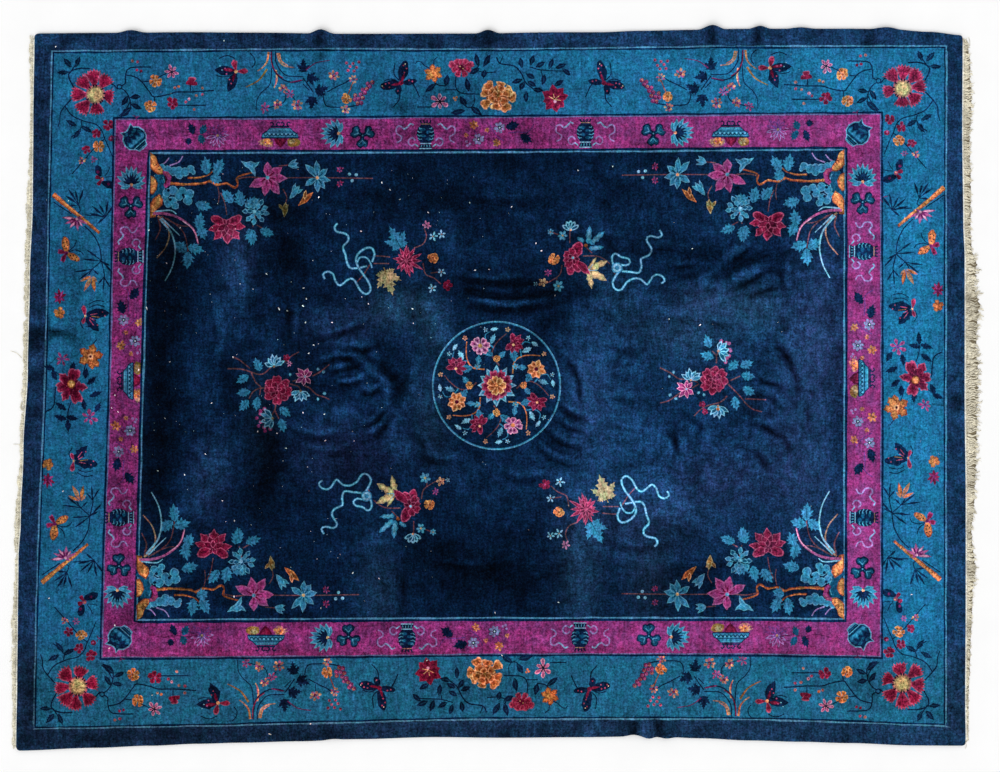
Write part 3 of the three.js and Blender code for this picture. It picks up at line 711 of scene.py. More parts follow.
def middle_spray(p):
    """Drawn at the top, round the long side's middle."""
    d = "dark"
    line(p, d, [(431, 69), (425, 66), (421, 62), (417, 61.5), (415, 64)], 1.0)
    line(p, d, [(434, 66), (434, 60), (438, 57)], 0.9)
    line(p, d, [(433, 80), (438, 85), (446, 86)], 1.1)
    for x, y, a, l in ((446.8, 80, -80, 12), (430.5, 88, 140, 14), (467.5, 84.5, -100, 14), (477, 60, -104, 14), (487, 60.5, -60, 14),
                       (463, 101, -120, 12), (457.5, 112, 170, 15), (476.5, 111, 38, 14), (474.5, 71, 150, 11), (484, 74, 100, 9)):
        leaf(p, d, x, y, a, l, 6.0, "point", "teal")
    line(p, d, [(478.5, 66), (476.5, 69.5), (484, 72.5), (496, 72)], 1.0)
    line(p, d, [(456, 76), (455.6, 86), (461, 93), (479, 94)], 1.1)
    line(p, d, [(445, 89.8), (457, 89.8)], 1.0)
    line(p, d, [(474, 95), (474, 104), (469, 108), (463, 104)], 1.0)
    line(p, d, [(417, 107), (433, 107)], 1.1)
    for a in (-95, -40, 20, 75, 140, 200):
        petal(p, "lobed", 433.2, 73.5, a, 9.5, 7.6, "rust", "orange")
    disc(p, "amber", 433.2, 73.5, 3.0, n=8)
    disc(p, "rust", 433.2, 73.5, 1.3, n=6)
    # a spread crimson flower
    for a, l, w in ((-162, 13, 7), (-128, 10, 7), (-90, 8.5, 7), (-52, 10, 7), (-18, 13, 7), (14, 10, 6.4), (62, 10, 6.2), (118, 10, 6.2), (166, 10, 6.2)):
        petal(p, "wedge", 461.3, 67.6, a, l, w, "rose", "red", None)
    disc(p, "wine", 461.3, 67.6, 3.0, n=8)
    dots(p, "peach", ((460, 66.5), (463, 68.5)), 0.7)
    blossom(p, 439.8, 101.4, 9.2, "pink", -90)
    dots(p, "orange", ((454, 98), (456.6, 97.4), (455.4, 100)), 1.3, 5)
    # a round orange flower of many scales
    orange_pompom(p, 498, 95.5, 17.6, 15.2)
    line(p, d, [(496.6, 57), (500, 63.5), (514, 66), (521, 73), (526, 83), (535, 90)], 1.4, 1.1)
    line(p, d, [(500, 63.5), (503, 56)], 0.9)
    for x, y, a, l in ((521, 62.5, -100, 11), (532, 60, -75, 11), (540.5, 64.5, -30, 11), (551, 63.5, -70, 12), (561, 66, -20, 12),
                       (566.5, 72, 40, 11), (543.5, 80, 100, 11), (530, 76, -150, 10), (532, 84, 30, 10), (517, 81, 160, 11),
                       (522, 86, 120, 10), (526, 97, 90, 12), (538, 90, 10, 11), (559, 83, -30, 11)):
        leaf(p, d, x, y, a, l, 5.4, "point", "teal")
    line(p, d, [(530, 67), (541, 70), (556, 71), (566, 71)], 1.0)
    line(p, d, [(541, 70), (543, 79)], 0.9)
    disc(p, "wine", 554.5, 98.5, 6.0, n=9)
    for i in range(8):
        petal(p, "flame", 554.5, 98.5, 45 * i - 100 + 7 * scatter(i, 3), 13.4 + 1.6 * scatter(i, 5), 8.8, "red", "crimson", "wine", inner=0.84)
    for a in (-150, -100, -40, 10):
        c, s_ = math.cos(math.radians(a)), math.sin(math.radians(a))
        line(p, "peach", [(554.5, 99.5), (554.5 + 6.4 * c, 99.5 + 6.0 * s_)], 0.9, 0.6)
    disc(p, "blush", 555.0, 101.5, 1.7, n=6)
    disc(p, "wine", 554.5, 98.5, 0.9, n=5)


def orange_pompom(p, x, y, rx, ry):
    q = p.at(x, y, 0.0, 1.0)
    k = q.seed()
    flat = ry / rx
    disc(q, "rust", 0, 0, rx * 0.66, ry * 0.66, n=14, rough=0.08)
    for ring, (at, n, long_, wide, start) in enumerate(((0.46, 8, 0.54, 0.62, 12.0), (0.2, 6, 0.46, 0.52, 40.0), (0.0, 3, 0.34, 0.40, 80.0))):
        for i in range(n):
            a = 360.0 * i / n + start + 11.0 * scatter(i + ring * 7, 2.0)
            c, s_ = math.cos(math.radians(a)), math.sin(math.radians(a)) * flat
            reach = rx * long_ * (1.0 + 0.24 * scatter(i + ring * 5, 3.0))
            petal(q, "heart" if (i + ring) % 3 else "wedge", rx * at * c, rx * at * s_, a, reach * (1.0 if abs(c) > 0.5 else flat),
                  rx * wide * (1.0 + 0.12 * scatter(i, 5.0)), "peach", "orange", None, inner=0.80)
            q2 = q.at(rx * at * c, rx * at * s_, a + 90.0)
            q2.fill("rust", [(-0.11 * rx, -reach * 0.34), (0.0, -reach * 0.22), (0.11 * rx, -reach * 0.36), (0.07 * rx, -reach * 0.66), (-0.06 * rx, -reach * 0.62)])
    disc(q, "bronze", 0, 0, rx * 0.1, n=6)


# ---- the narrow band ---------------------------------------------------------
# Each of these is drawn round its own middle, and stands with its foot up.
def bowl(p):
    for x, d in ((-7.6, -1), (-2.4, 1), (3.0, -1), (8.0, 1)):
        line(p, "dark", [(x + d * 2.4, -9.4), (x + d * 0.4, -10.6), (x - d * 1.2, -8.6), (x, -6.2)], 1.3, 1.5)
    line(p, "dark", [(-9.4, -6.0), (9.4, -6.0)], 1.5)
    p.fill("darkline", [(-10.4, -4.9), (10.4, -4.9), (13.6, -1.6), (17.4, 0.6), (19.2, 5.0), (17.6, 6.0), (-17.6, 6.0), (-19.2, 5.0), (-17.4, 0.6), (-13.6, -1.6)])
    p.fill("bowlteal", [(-9.8, -4.3), (9.8, -4.3), (13.0, -1.0), (-13.0, -1.0)])
    line(p, "sky", [(-8.8, -3.4), (8.8, -3.4)], 1.0)
    p.fill("bowlteal", [(-14.0, -0.2), (14.0, -0.2), (17.2, 1.6), (18.2, 4.6), (-18.2, 4.6), (-17.2, 1.6)])
    for i in range(8):
        x = -14.4 + 4.1 * i
        line(p, "ink", [(x - 2.0, 0.8), (x - 1.2, 2.8), (x, 3.4), (x + 1.2, 2.8), (x + 2.0, 0.8)], 0.8)
        disc(p, "ice", x, 1.4, 0.75, n=5)


def fruits(p):
    disc(p, "berry", -13.6, 10.0, 6.8, 4.8, n=11, rough=0.2)
    disc(p, "orange", -12.6, 9.4, 4.6, 3.4, n=9, rough=0.25)
    dots(p, "peach", ((-16.8, 8.4), (-12.5, 8.0), (-14.6, 11.4), (-10.4, 10.8), (-18.2, 11.2)), 0.8)
    dots(p, "magenta", ((-14.6, 9.8), (-11.2, 12.6), (-17.6, 12.6), (-9, 8.6)), 0.9)
    line(p, "tan", [(-22, 9.6), (-19.4, 8.4), (-19, 11), (-21, 12)], 0.8)
    p.fill("wine", [(-6.6, 5.6), (7.6, 5.6), (5.6, 10.0), (0.8, 15.2), (-4.2, 10.6)])
    p.fill("crimson", [(-4.6, 6.0), (5.4, 6.0), (3.8, 9.2), (0.8, 12.4), (-2.4, 9.6)])
    disc(p, "bronze", 13.2, 10.0, 6.6, 4.8, n=11, rough=0.16)
    disc(p, "olive", 12.2, 9.2, 4.0, 2.8, n=8, rough=0.3)
    dots(p, "bronze", ((11, 9), (15, 11.0), (12.4, 11.4)), 0.9)


def vase(p):
    for x in (-4.8, -1.6, 1.6, 4.8):
        line(p, "dark", [(x * 1.1, -14.4), (x * 0.8, -9.8)], 1.6, 1.3)
    line(p, "dark", [(-5.0, -12.4), (-2.4, -11.0), (0, -12.6), (2.4, -11.0), (5.0, -12.4)], 0.9)
    line(p, "tan", [(-4.8, -10.6), (4.8, -10.6)], 0.8)
    p.fill("dark", [(-4.4, -10), (4.4, -10), (8.0, -6.4), (9.0, 0), (7.8, 5.0), (5.0, 8.4), (-5.0, 8.4), (-7.8, 5.0), (-9.0, 0), (-8.0, -6.4)])
    for x, y, w in ((-3.2, -5.4, 3.2), (3.4, -2.4, 3.0), (-2.8, 1.2, 3.4), (3.0, 4.4, 2.8)):
        disc(p, "channel", x, y, w, 1.7, n=7, rough=0.25)
    for y in (-6.4, -2.8, 0.8, 4.2):
        for s_ in (-1, 1):
            line(p, "sky", [(s_ * (8.6 - 0.12 * y * y / 2), y - 0.8), (s_ * 6.2, y + 0.7), (s_ * 3.6, y + 0.2)], 1.0, 0.6)
    line(p, "ice", [(-5.8, 8.9), (5.8, 8.9)], 0.9)
    p.fill("dark", [(-5.0, 9.6), (5.0, 9.6), (6.8, 13.4), (-6.8, 13.4)])
    for x in (-3.9, -1.3, 1.3, 3.9):
        line(p, "sky", [(x, 10.2), (x * 1.15, 12.6)], 0.8)
    line(p, "ice", [(-6.2, 14.0), (6.2, 14.0)], 0.9)


def vase_ribbons(p):
    for s in (-1, 1):
        q = p.at(0, 0, flip=s < 0)
        line(q, "lilac", [(12, -9.5), (15, -11), (18, -7.5), (21.5, -5.5), (25, -8.5), (29, -7), (29, -1), (24, 2), (25, 6), (29, 8)], 1.9, 1.3)
        line(q, "ice", [(12, -9.8), (15, -11.2), (18, -7.8), (21.5, -5.8)], 0.8)
        line(q, "lilac", [(10, 6), (13, 3.2), (16.6, 5), (17, 9), (13.6, 11.4), (10.6, 9.4)], 1.7, 1.3)
        line(q, "ice", [(7.4, 12), (10.6, 9.4)], 1.2)


def jar(p):
    """Stands on its foot, with its neck towards -y."""
    outer = [(-7.6, -15.2), (-4.0, -12.6), (-1.0, -12.0), (2.0, -12.8), (7.8, -15.4), (7.2, -10.8), (11.6, -6.8), (13.4, -0.6), (12.2, 5.4), (7.0, 10.2),
             (5.6, 13.8), (0, 14.6), (-5.6, 13.8), (-7.0, 10.2), (-12.2, 5.4), (-13.4, -0.6), (-11.4, -6.8), (-7.2, -10.6)]
    p.fill("lilac", outer)
    p.fill("sky", [(x * 0.97, y * 0.97) for x, y in outer])
    p.fill("dark", [(x * 0.89, y * 0.89 + 0.2) for x, y in outer])
    for x, y, w, h in ((-4.0, -8.4, 2.6, 1.6), (4.4, -6.6, 3.0, 1.8), (-0.4, -4.8, 2.6, 1.6), (8.4, -2.4, 1.8, 2.2)):
        disc(p, "deepteal", x, y, w, h, n=7, rough=0.2)
    p.fill("channel", [(-11.2, 1.4), (-8.4, -1.8), (-5.6, 1.8), (-2.8, -2.8), (0.0, 1.6), (2.8, -2.8), (5.6, 1.8), (8.4, -1.8), (11.2, 1.4), (9.8, 5.0),
                       (7.6, 7.0), (-7.6, 7.0), (-9.8, 5.0)])
    p.fill("motif", [(-10.2, 2.4), (-8.2, 0.6), (-5.6, 3.6), (-2.8, -0.4), (0.0, 3.4), (2.8, -0.4), (5.6, 3.6), (8.2, 0.6), (10.2, 2.4), (9.0, 4.8), (-9.0, 4.8)])
    line(p, "darkline", [(-9.2, 6.2), (9.2, 6.2)], 1.0)
    line(p, "sky", [(-7.4, 8.0), (7.4, 8.0)], 0.8)
    line(p, "channel", [(-6.0, 10.4), (6.0, 10.4)], 1.2)
    line(p, "sky", [(-5.2, 12.2), (5.2, 12.2)], 0.8)


def jar_twigs(p):
    for x, y, a in ((-13, -14, 215), (14, -13, -35), (15, 11, 30), (-14, 12, 150)):
        q = p.at(x, y, a + 90)
        line(q, "plum", [(0, 2), (0, -4)], 1.0, 0.7)
        line(q, "plum", [(0, -1), (-3, -3.4), (-4.4, -2.6)], 0.8, 0.6)
        line(q, "plum", [(0, -2), (2.6, -4.4)], 0.8, 0.5)


def half_flower(p, rim="sky", body="motif"):
    """A water flower that opens towards -x."""
    for a, l in ((72, 11.5), (288, 11.5), (96, 14.5), (264, 14.5), (120, 16.4), (240, 16.4), (142, 17.4), (218, 17.4), (163, 18.2), (197, 18.2), (180, 19.4)):
        petal(p, "point", 5.6, 0, a, l * (1.0 + 0.05 * scatter(a, 2.0)), 5.8, rim, body)
    for a, l in ((108, 9.6), (131, 11), (153, 12), (172, 12.4), (188, 12.4), (207, 12), (229, 11), (252, 9.6)):
        petal(p, "lance", 5.2, 0, a, l, 2.6, "dark")
    disc(p, "peach", 5.8, 0, 1.7, n=6)


def trefoil(p):
    for i, a in enumerate((208, 335, 92)):
        q = p.at(0, 0, a + 90.0)
        lobe = [(-1.8, 0), (-2.4, -3.4), (-5.4, -4.6), (-6.6, -7.4), (-6.0, -10.6), (-3.6, -12.4), (-1.2, -11.2), (1.4, -12.8), (4.6, -11.8), (6.8, -9.0), (5.8, -6.2), (2.6, -3.8), (1.8, 0)]
        q.fill("dark", [(x * (1 + 0.1 * scatter(i + x, 2)), y * (1 + 0.05 * scatter(i + y, 3))) for x, y in lobe])
        q.fill("deepteal", [(-1.2, -4.2), (-4.2, -6.4), (-5.0, -9.0), (-3.2, -10.9), (-1.2, -9.6), (1.4, -11.0), (4.2, -10.2), (5.0, -8.2), (3.6, -6.0), (1.2, -4.2)])
        line(q, "channel", [(0, -1), (0.2, -6), (-0.4, -9.8)], 1.1, 0.7)
        line(q, "sky", [(0, -4.6), (-3.2, -8.0)], 0.7, 0.5)
        line(q, "sky", [(0, -4.6), (3.0, -8.2)], 0.7, 0.5)
    disc(p, "dark", 0, 0, 2.4, n=7)
    disc(p, "sky", 0, 0, 0.9, n=5)


def lilac_flower(p):
    for i in range(13):
        a = 360.0 * i / 13 + 6 * scatter(i, 2)
        low = math.sin(math.radians(a)) > -0.1
        petal(p, "lance", 1.4 * math.cos(math.radians(a)), 1.4 * math.sin(math.radians(a)), a, 10.4 + 1.8 * scatter(i, 4), 3.2, "lilac" if low else "purple", "magenta", inner=0.7)
    for i in range(7):
        a = 360.0 * i / 7 + 12
        line(p, "purple", [(0, 0), (6.6 * math.cos(math.radians(a)), 6.6 * math.sin(math.radians(a)))], 1.2, 0.7)
    disc(p, "tan", 0, 0, 1.5, n=6)


def leaf_trail(p):
    """Leaves on a stem along x, about 50 units long."""
    line(p, "plum", [(-24, 0.6), (-12, -0.6), (0, 0.8), (10, -1.2), (22, 0.8), (26, 2.4)], 1.1, 0.8)
    for x, y, a, c, l in ((-9.5, -4.8, -110, "deepteal", 11), (3.4, -6.8, -80, "dark", 8), (0.6, 6.6, 70, "dark", 13), (-11.5, 6.0, 120, "channel", 12)):
        leaf(p, c, x, y, a, l, 8.8, "frond")


def trail_tip(p):
    for x, y, a in ((0, 0, -30), (5, -2, 20), (9, 2, 50), (13, 0, -10)):
        line(p, "plum", [(x, y), (x + 5 * math.cos(math.radians(a)), y + 5 * math.sin(math.radians(a)))], 0.9, 0.6)


def band_cluster(p):
    """Mixed small flowers on trailing stems, about 60 units long."""
    line(p, "plum", [(-15, 2), (-4, 4), (6, 8), (16, 4), (24, 5)], 1.0, 0.8)
    line(p, "purple", [(-13, -6), (-10, 1), (-8, 6)], 0.9)
    line(p, "purple", [(4, -8), (10, 2), (18, 8)], 0.9)
    line(p, "purple", [(22, 0), (32, -1), (42, -1), (48, -9)], 1.0, 0.8)
    for x, y, k, r in ((-12, -8, "dull", 5.4), (-7.5, 6.2, "icy", 6.0), (13.6, -5.4, "icy", 6.0), (11, 10, "dull", 4.6), (1, -3, "dull", 2.8), (-20, 2, "dull", 2.8)):
        blossom(p, x, y, r, k, 20)
    dots(p, "lilac", ((-16, 11), (-19.5, 8.6), (-18.6, 12.4)), 1.5, 5)
    for x, y, a in ((27, -7.4, -15), (40.5, 5.6, 35)):
        leaf(p, "dark", x, y, a, 15, 11, "frond")
        leaf(p, "dark", x, y + 1, a + 70, 9, 7, "frond")


# ---- the field ---------------------------------------------------------------
def corner_rocks(p):
    """Drawn at the top right; its corner is the field's, at (844.5, 150)."""
    # clouds and the deep channel behind the rocks
    for pts in ([(812, 153), (816, 159), (825, 162.5)], [(825.5, 154.5), (829.5, 159.5), (836, 163)]):
        line(p, "lilac", pts, 1.0, 1.4)
    cloud(p, [(804, 166, 4.0), (810, 169, 4.6), (815.5, 172, 4.2), (821, 168.5, 4.6), (827, 166.5, 4.2), (833, 164, 3.4), (816, 167, 3.6), (801.4, 169.4, 2.4)])
    line(p, "channel", [(837, 170), (834, 178), (834.5, 188), (839, 195), (843.5, 198)], 9.0, 8.0)
    line(p, "sky", [(832, 174), (829.6, 181), (830.4, 188)], 1.0)
    for x, y, s in ((829, 190.5, 7.4),):
        cloud(p, [(805.5, 191, 5.0), (807, 197.6, 4.6), (812.6, 188.6, 4.6), (816, 193, 4.6), (821.5, 187.4, 4.8), (828, 189.6, 4.4), (822.6, 198, 4.8), (819.4, 203, 3.6),
                  (826.8, 200.6, 4.0), (830.4, 195.4, 3.6)])
    dots(p, "ink", ((811.7, 192.2), (824.6, 196.4), (826.4, 187.4)), 1.7, 6)
    dots(p, "ink", ((826.6, 184.6), (829, 185.6)), 1.0, 5)
    line(p, "plum", [(833, 168.6), (826.5, 170), (824, 175), (826, 182), (829.6, 184.2), (830.6, 181.6), (828.4, 177), (829.4, 172.6), (833, 170)], 1.0)
    p.fill("fuchsia", [(832.6, 167.8), (826.4, 168.8), (823.2, 173.6), (825.0, 182.2), (829.0, 185.0), (831.2, 182.4), (828.6, 177.4), (829.4, 172.8), (833.4, 170.2)])
    p.fill("rose", [(829.6, 168.8), (826.0, 170.4), (824.6, 174.0), (826.0, 174.6), (828.0, 171.6), (831.0, 170.4)])
    p.fill("wine", [(829.0, 172.4), (827.4, 176.0), (829.2, 181.4), (830.4, 180.6), (828.8, 176.2), (830.0, 172.6)])
    # the rocks
    for outer, lobes in (
        ([(844.6, 149), (838.6, 153.6), (836.8, 160), (832.2, 165.6), (831.8, 171.4), (837.0, 171.6), (841.8, 168), (844.6, 165)],
         ((841, 155.5, 2.6, 4.4, 30), (835.4, 167.4, 2.6, 3.6, 40), (841, 163, 2.2, 3.0, 30))),
        ([(844.6, 172.4), (839.6, 175), (837.0, 180.6), (838.4, 187), (842.0, 191.4), (844.6, 190.6)],
         ((841.2, 179, 2.2, 4.2, 10), (841.8, 186.4, 1.8, 3.0, -10))),
        ([(835.2, 190.8), (831.6, 196.6), (832.6, 202.4), (838.2, 206.8), (839.2, 214.0), (844.4, 214.8), (844.4, 200.8), (841.8, 195.6)],
         ((836, 197.4, 2.4, 4.6, -10), (841.4, 207.4, 1.9, 5.0, 0))),
    ):
        p.fill("rust", outer)
        cx = sum(x for x, _ in outer) / len(outer)
        cy = sum(y for _, y in outer) / len(outer)
        p.fill("orange", [(cx + (x - cx) * 0.8, cy + (y - cy) * 0.84) for x, y in outer])
        for x, y, rx, ry, a in lobes:
            disc(p, "amber", x, y, rx, ry, a, n=8, rough=0.1)
    for x, y in ((836.5, 163.5), (834.5, 165.6), (838.6, 161.4)):
        line(p, "wine", [(x - 1.4, y - 1.0), (x + 1.4, y + 1.2)], 0.6)
    # grasses from the foot of the rocks
    line(p, "brown", [(833, 213), (822, 219.5), (812, 223), (803, 223)], 1.2, 0.8)
    line(p, "brown", [(828, 215.5), (817, 223), (810, 232), (807, 246)], 1.3, 0.9)
    line(p, "tan", [(837, 213), (829, 220), (825.5, 231), (829, 244), (838, 255)], 1.9, 1.0)
    line(p, "brown", [(836.4, 215), (834.6, 226), (839.5, 237)], 1.9, 0.9)
    line(p, "ice", [(835, 216), (828, 224), (822.5, 232), (819.5, 247), (822.5, 264), (829.8, 278)], 1.9, 1.1)
    line(p, "ice", [(833, 215), (825, 223), (815, 232.5)], 1.7, 0.8)
    line(p, "ice", [(840, 208.8), (830, 207.4), (823, 207.6), (818.5, 211)], 1.9, 0.9)
    line(p, "pink", [(842, 210.5), (831, 210.5), (819, 213.5), (808, 220), (800.5, 228), (796.5, 241)], 2.8, 1.4)
    line(p, "blush", [(812, 218), (804, 224), (799, 231), (796.6, 240)], 1.1, 0.8)


def cloud(p, lobes):
    for x, y, r in lobes:
        disc(p, "sky", x, y, r, n=11, rough=0.09)
    for x, y, r in lobes:
        disc(p, "motif", x, y, r - 0.85, n=10, rough=0.09)


def corner_branch(p):
    line(p, "rust", [(825, 180.2), (812, 181.4), (800, 181), (790, 180), (785, 178), (778, 181.8), (768, 180.4), (763.5, 183), (759.6, 184.8), (756.8, 181),
                     (758, 175.6), (754, 172.6), (742, 169.4)], 2.7, 1.6, knobs=0.35)
    line(p, "orange", [(824, 180), (812, 181), (800, 180.6), (790, 179.6), (785, 177.8), (778, 181.4), (768, 180), (763.5, 182.6), (760, 184)], 1.2, 0.8, knobs=0.5)
    line(p, "rust", [(807, 174.8), (797, 175), (790, 173.4), (785, 171), (781, 167)], 1.8, 1.0, knobs=0.3)
    line(p, "orange", [(806, 174.6), (797, 174.6), (790, 173)], 1.2, 1.0)
    line(p, "brown", [(806.7, 245), (807, 252)], 1.0)
    for x, y, a, l in ((776.2, 163.6, -118, 18), (788.8, 162.2, -82, 18), (778.5, 176, 160, 12), (791, 202.8, 165, 17), (795.2, 217.6, -100, 17),
                       (792.4, 230, 112, 15), (754.8, 194.6, -78, 17), (767.6, 193, -52, 17), (742.2, 199.6, -150, 17), (743.6, 234, 108, 17),
                       (798.6, 246, 165, 17), (814.8, 243.8, -40, 16), (807, 257.6, 85, 18)):
        leaf(p, "motif", x, y, a, l * 1.02, 12.4, "frond", "channel")
    line(p, "brown", [(777, 184), (775.6, 192), (776.5, 200)], 0.8)


def peony(p, x, y, r, turn=0.0, colours=("rose", "crimson", "wine"), seed=0):
    """A full flower of pointed lobes that hang to one side, lighter at the rims."""
    rim, body, core = colours
    q = p.at(x, y - r * 0.16, turn)
    rows = ((92, 1.06, 0.62), (52, 1.02, 0.56), (18, 1.02, 0.52), (132, 1.06, 0.56), (168, 1.0, 0.52))
    for i, (a, l, w) in enumerate(rows):
        a += 5 * scatter(seed + i, 1)
        petal(q, "lobed", 0, 0, a, r * l * (1.0 + 0.06 * scatter(seed + i, 2)), r * w, rim, body, None, inner=0.86)
    for a in (-28, -152):
        petal(q, "round", 0, 0, a, r * 0.94, r * 0.5, rim, body, core, inner=0.84)
    for i, (a, l, w) in enumerate(((70, 0.72, 0.4), (112, 0.72, 0.4), (30, 0.62, 0.36), (150, 0.62, 0.36), (90, 0.46, 0.3))):
        petal(q, "point", 0, 0, a + 4 * scatter(seed + i, 3), r * l, r * w, rim, body if i % 2 else core, None, inner=0.8)
    for a in (-62, -118):
        petal(q, "point", 0, 0, a, r * 0.4, r * 0.26, rim, core, inner=0.76)
    line(q, core, [(-r * 0.5, r * 0.14), (-r * 0.2, 0), (r * 0.22, 0), (r * 0.5, r * 0.12)], 1.0, 0.8)


def round_peony(p, x, y, r, turn=0.0, rim="rose", body="crimson", core="wine"):
    """A full flower, as wide as it is high."""
    q = p.at(x, y, turn)
    for i in range(8):
        a = 45.0 * i + 9 * scatter(i, r)
        petal(q, "heart" if i % 2 else "round", 0, 0, a, r * (1.0 + 0.1 * scatter(i, r + 2)), r * 0.66, rim, body, core if i % 3 == 1 else None, inner=0.86)
    for i in range(6):
        a = 60.0 * i + 20 + 8 * scatter(i, r + 4)
        petal(q, "heart", 0, 0, a, r * 0.62, r * 0.44, rim, core if i % 2 else body, inner=0.82)
    for i in range(3):
        petal(q, "round", 0, 0, 120.0 * i + 50, r * 0.34, r * 0.26, rim, core, inner=0.76)


def outlined_peony(p, x, y, r, turn=0.0):
    """Pointed petals in rings, each with a light outline."""
    q = p.at(x, y, turn)
    for at, n, l, w in ((0.42, 9, 0.56, 0.36), (0.16, 6, 0.5, 0.34), (0.0, 4, 0.34, 0.28)):
        for i in range(n):
            a = 360.0 * i / n + 12 * scatter(i, at + r)
            c, s_ = math.cos(math.radians(a)), math.sin(math.radians(a))
            petal(q, "flame", c * r * at, s_ * r * at, a, r * l * (1 + 0.1 * scatter(i, at)), r * w, "sky", "motif" if i % 3 else "channel", None, inner=0.74)
    disc(q, "ice", r * 0.1, 0, r * 0.14, n=6)
    disc(q, "channel", -r * 0.1, 0, r * 0.1, n=5)


def pointed_flower(p, x, y, r, rim, body, core, heart, n=8, turn=0.0, width=0.42):
    """Flame-shaped petals, spread unevenly round most of a circle."""
    q = p.at(x, y, turn)
    turns = (-92, -142, 172, 128, 84, 32, -50, 58)[:n]
    for i, a in enumerate(turns):
        a = a + 5 * scatter(i, r)
        petal(q, "flame", 0, 0, a, r * (0.98 + 0.14 * scatter(i, r + 3)), r * width, rim, body, None, bend=0.10 * scatter(i, r + 7), inner=0.8)
    for i, a in enumerate(turns):
        c, s_ = math.cos(math.radians(a)), math.sin(math.radians(a))
        line(q, core, [(c * r * 0.14, s_ * r * 0.14), (c * r * 0.46, s_ * r * 0.46)], 2.0 if i % 2 else 1.3, 0.6)
        b = math.radians(a + 22)
        line(q, rim, [(0, 0), (math.cos(b) * r * 0.3, math.sin(b) * r * 0.3)], 0.7, 0.5)
    disc(q, heart, 0, 0, r * 0.11, n=6)


def bud(p, x, y, angle, length, rim, body):
    q = p.at(x, y, angle + 90)
    for a, w in ((-24, 0.34), (24, 0.34), (0, 0.4)):
        petal(q, "point", 0, length * 0.45, a - 90, length, length * w, rim, body, inner=0.7)


def corner_flowers(p):
    """The flowers of the field's corner, in the same drawing as corner_rocks."""
    line(p, "brown", [(622, 175.4), (645, 175), (690, 174.6), (722, 175)], 1.1, 0.9)
    line(p, "brown", [(727, 176), (745, 174), (758, 176)], 1.2)
    line(p, "brown", [(716, 163), (706, 162)], 1.0)
    line(p, "brown", [(712, 186), (708, 194), (710, 203)], 1.0)
    line(p, "brown", [(738.8, 209), (742, 224)], 1.0)
    line(p, "brown", [(738, 222), (731, 226)], 1.0)
    line(p, "brown", [(768, 212), (770, 200), (774, 190)], 0.9)
    leaf(p, "motif", 727.5, 229.5, 160, 16, 10.5, "frond", "channel")
    leaf(p, "motif", 742.5, 235, 80, 16, 10.5, "frond", "channel")
    peony(p, 768.2, 225.0, 18.5, 2)
    outlined_peony(p, 738.8, 208.6, 14.2)
    pointed_flower(p, 727.3, 174.6, 18.6, "pink", "fuchsia", "wine", "sky", 6, 0, 0.5)
    pointed_flower(p, 677.6, 174.8, 16.2, "sky", "motif", "channel", "peach", 7, 0, 0.4)
    bud(p, 701.6, 161.5, -165, 11, "sky", "motif")
    bud(p, 699.0, 187.4, -130, 12, "sky", "motif")
    petal(p, "flame", 696, 184, 52, 15, 6.0, "sky", "motif")
    q = p.at(743.5, 163)
    q.fill("sky", [(-8.4, -4.4), (-4, -3.0), (0.5, -5.0), (5, -3.8), (10.6, -5.2), (6.4, 0.4), (2.4, 2.6), (-0.4, 6.4), (-4, 10.6), (-4.4, 5.4), (-3.2, 2.0), (-6.4, -0.6)])
    q.fill("motif", [(-6.6, -3.4), (-3.6, -2.0), (0.5, -3.8), (5, -2.6), (7.6, -3.6), (5.0, 0.0), (1.6, 1.8), (-1.2, 5.4), (-3.4, 7.4), (-3.2, 4.8), (-2.0, 1.8), (-4.8, -0.8)])
    line(q, "sky", [(-3.5, 7), (-1.4, 1.2), (4.6, -2.2)], 0.7, 0.5)
    petal(p, "flame", 696.5, 202.5, -138, 20, 6.2, "orange", "rust", None, inner=0.7)
    petal(p, "point", 690, 196.5, -96, 9.5, 3.8, "peach", "rust")
    petal(p, "flame", 710.6, 214, -96, 15, 6.6, "khaki", "bronze", None, inner=0.8)
    petal(p, "point", 711.5, 207, -52, 7.5, 3.4, "khaki", "bronze")
    petal(p, "point", 709.5, 206, -126, 5.5, 3.0, "khaki")
    for y in (166.5, 180.5):
        blossom(p, 655, y, 3.8, "purple", 20)
        dots(p, "crimson", ((653.4, y - 1), (657, y + 1.2)), 1.1, 5)
    dots(p, "ice", ((638.6, 171.8), (645.4, 171.2), (642.6, 177.6)), 1.7, 7)


def radiating_flower(p, x, y, r):
    q = p.at(x, y)
    for i in range(15):
        a = 24.0 * i + 8 * scatter(i, 6)
        reach = r * (0.82 + 0.16 * math.cos(math.radians(a - 20)) + 0.16 * scatter(i, 7))
        petal(q, "lance", 1.6 * math.cos(math.radians(a)), 1.6 * math.sin(math.radians(a)), a, reach, 3.6, "rose", "crimson", bend=0.12 * scatter(i, 9), inner=0.7)
    for i in range(9):
        a = 40.0 * i + 14
        petal(q, "lance", 0, 0, a, r * 0.56, 3.4, "rose", "wine", inner=0.66)
    disc(q, "rose", 0, 0, 1.4, n=6)


def knot_ribbon(p, parts):
    for pts, w in parts:
        line(p, "motif", pts, w + 0.1, w - 0.1, step=2.2)
        line(p, "ice", pts, w - 1.2, w - 1.3, step=2.2)


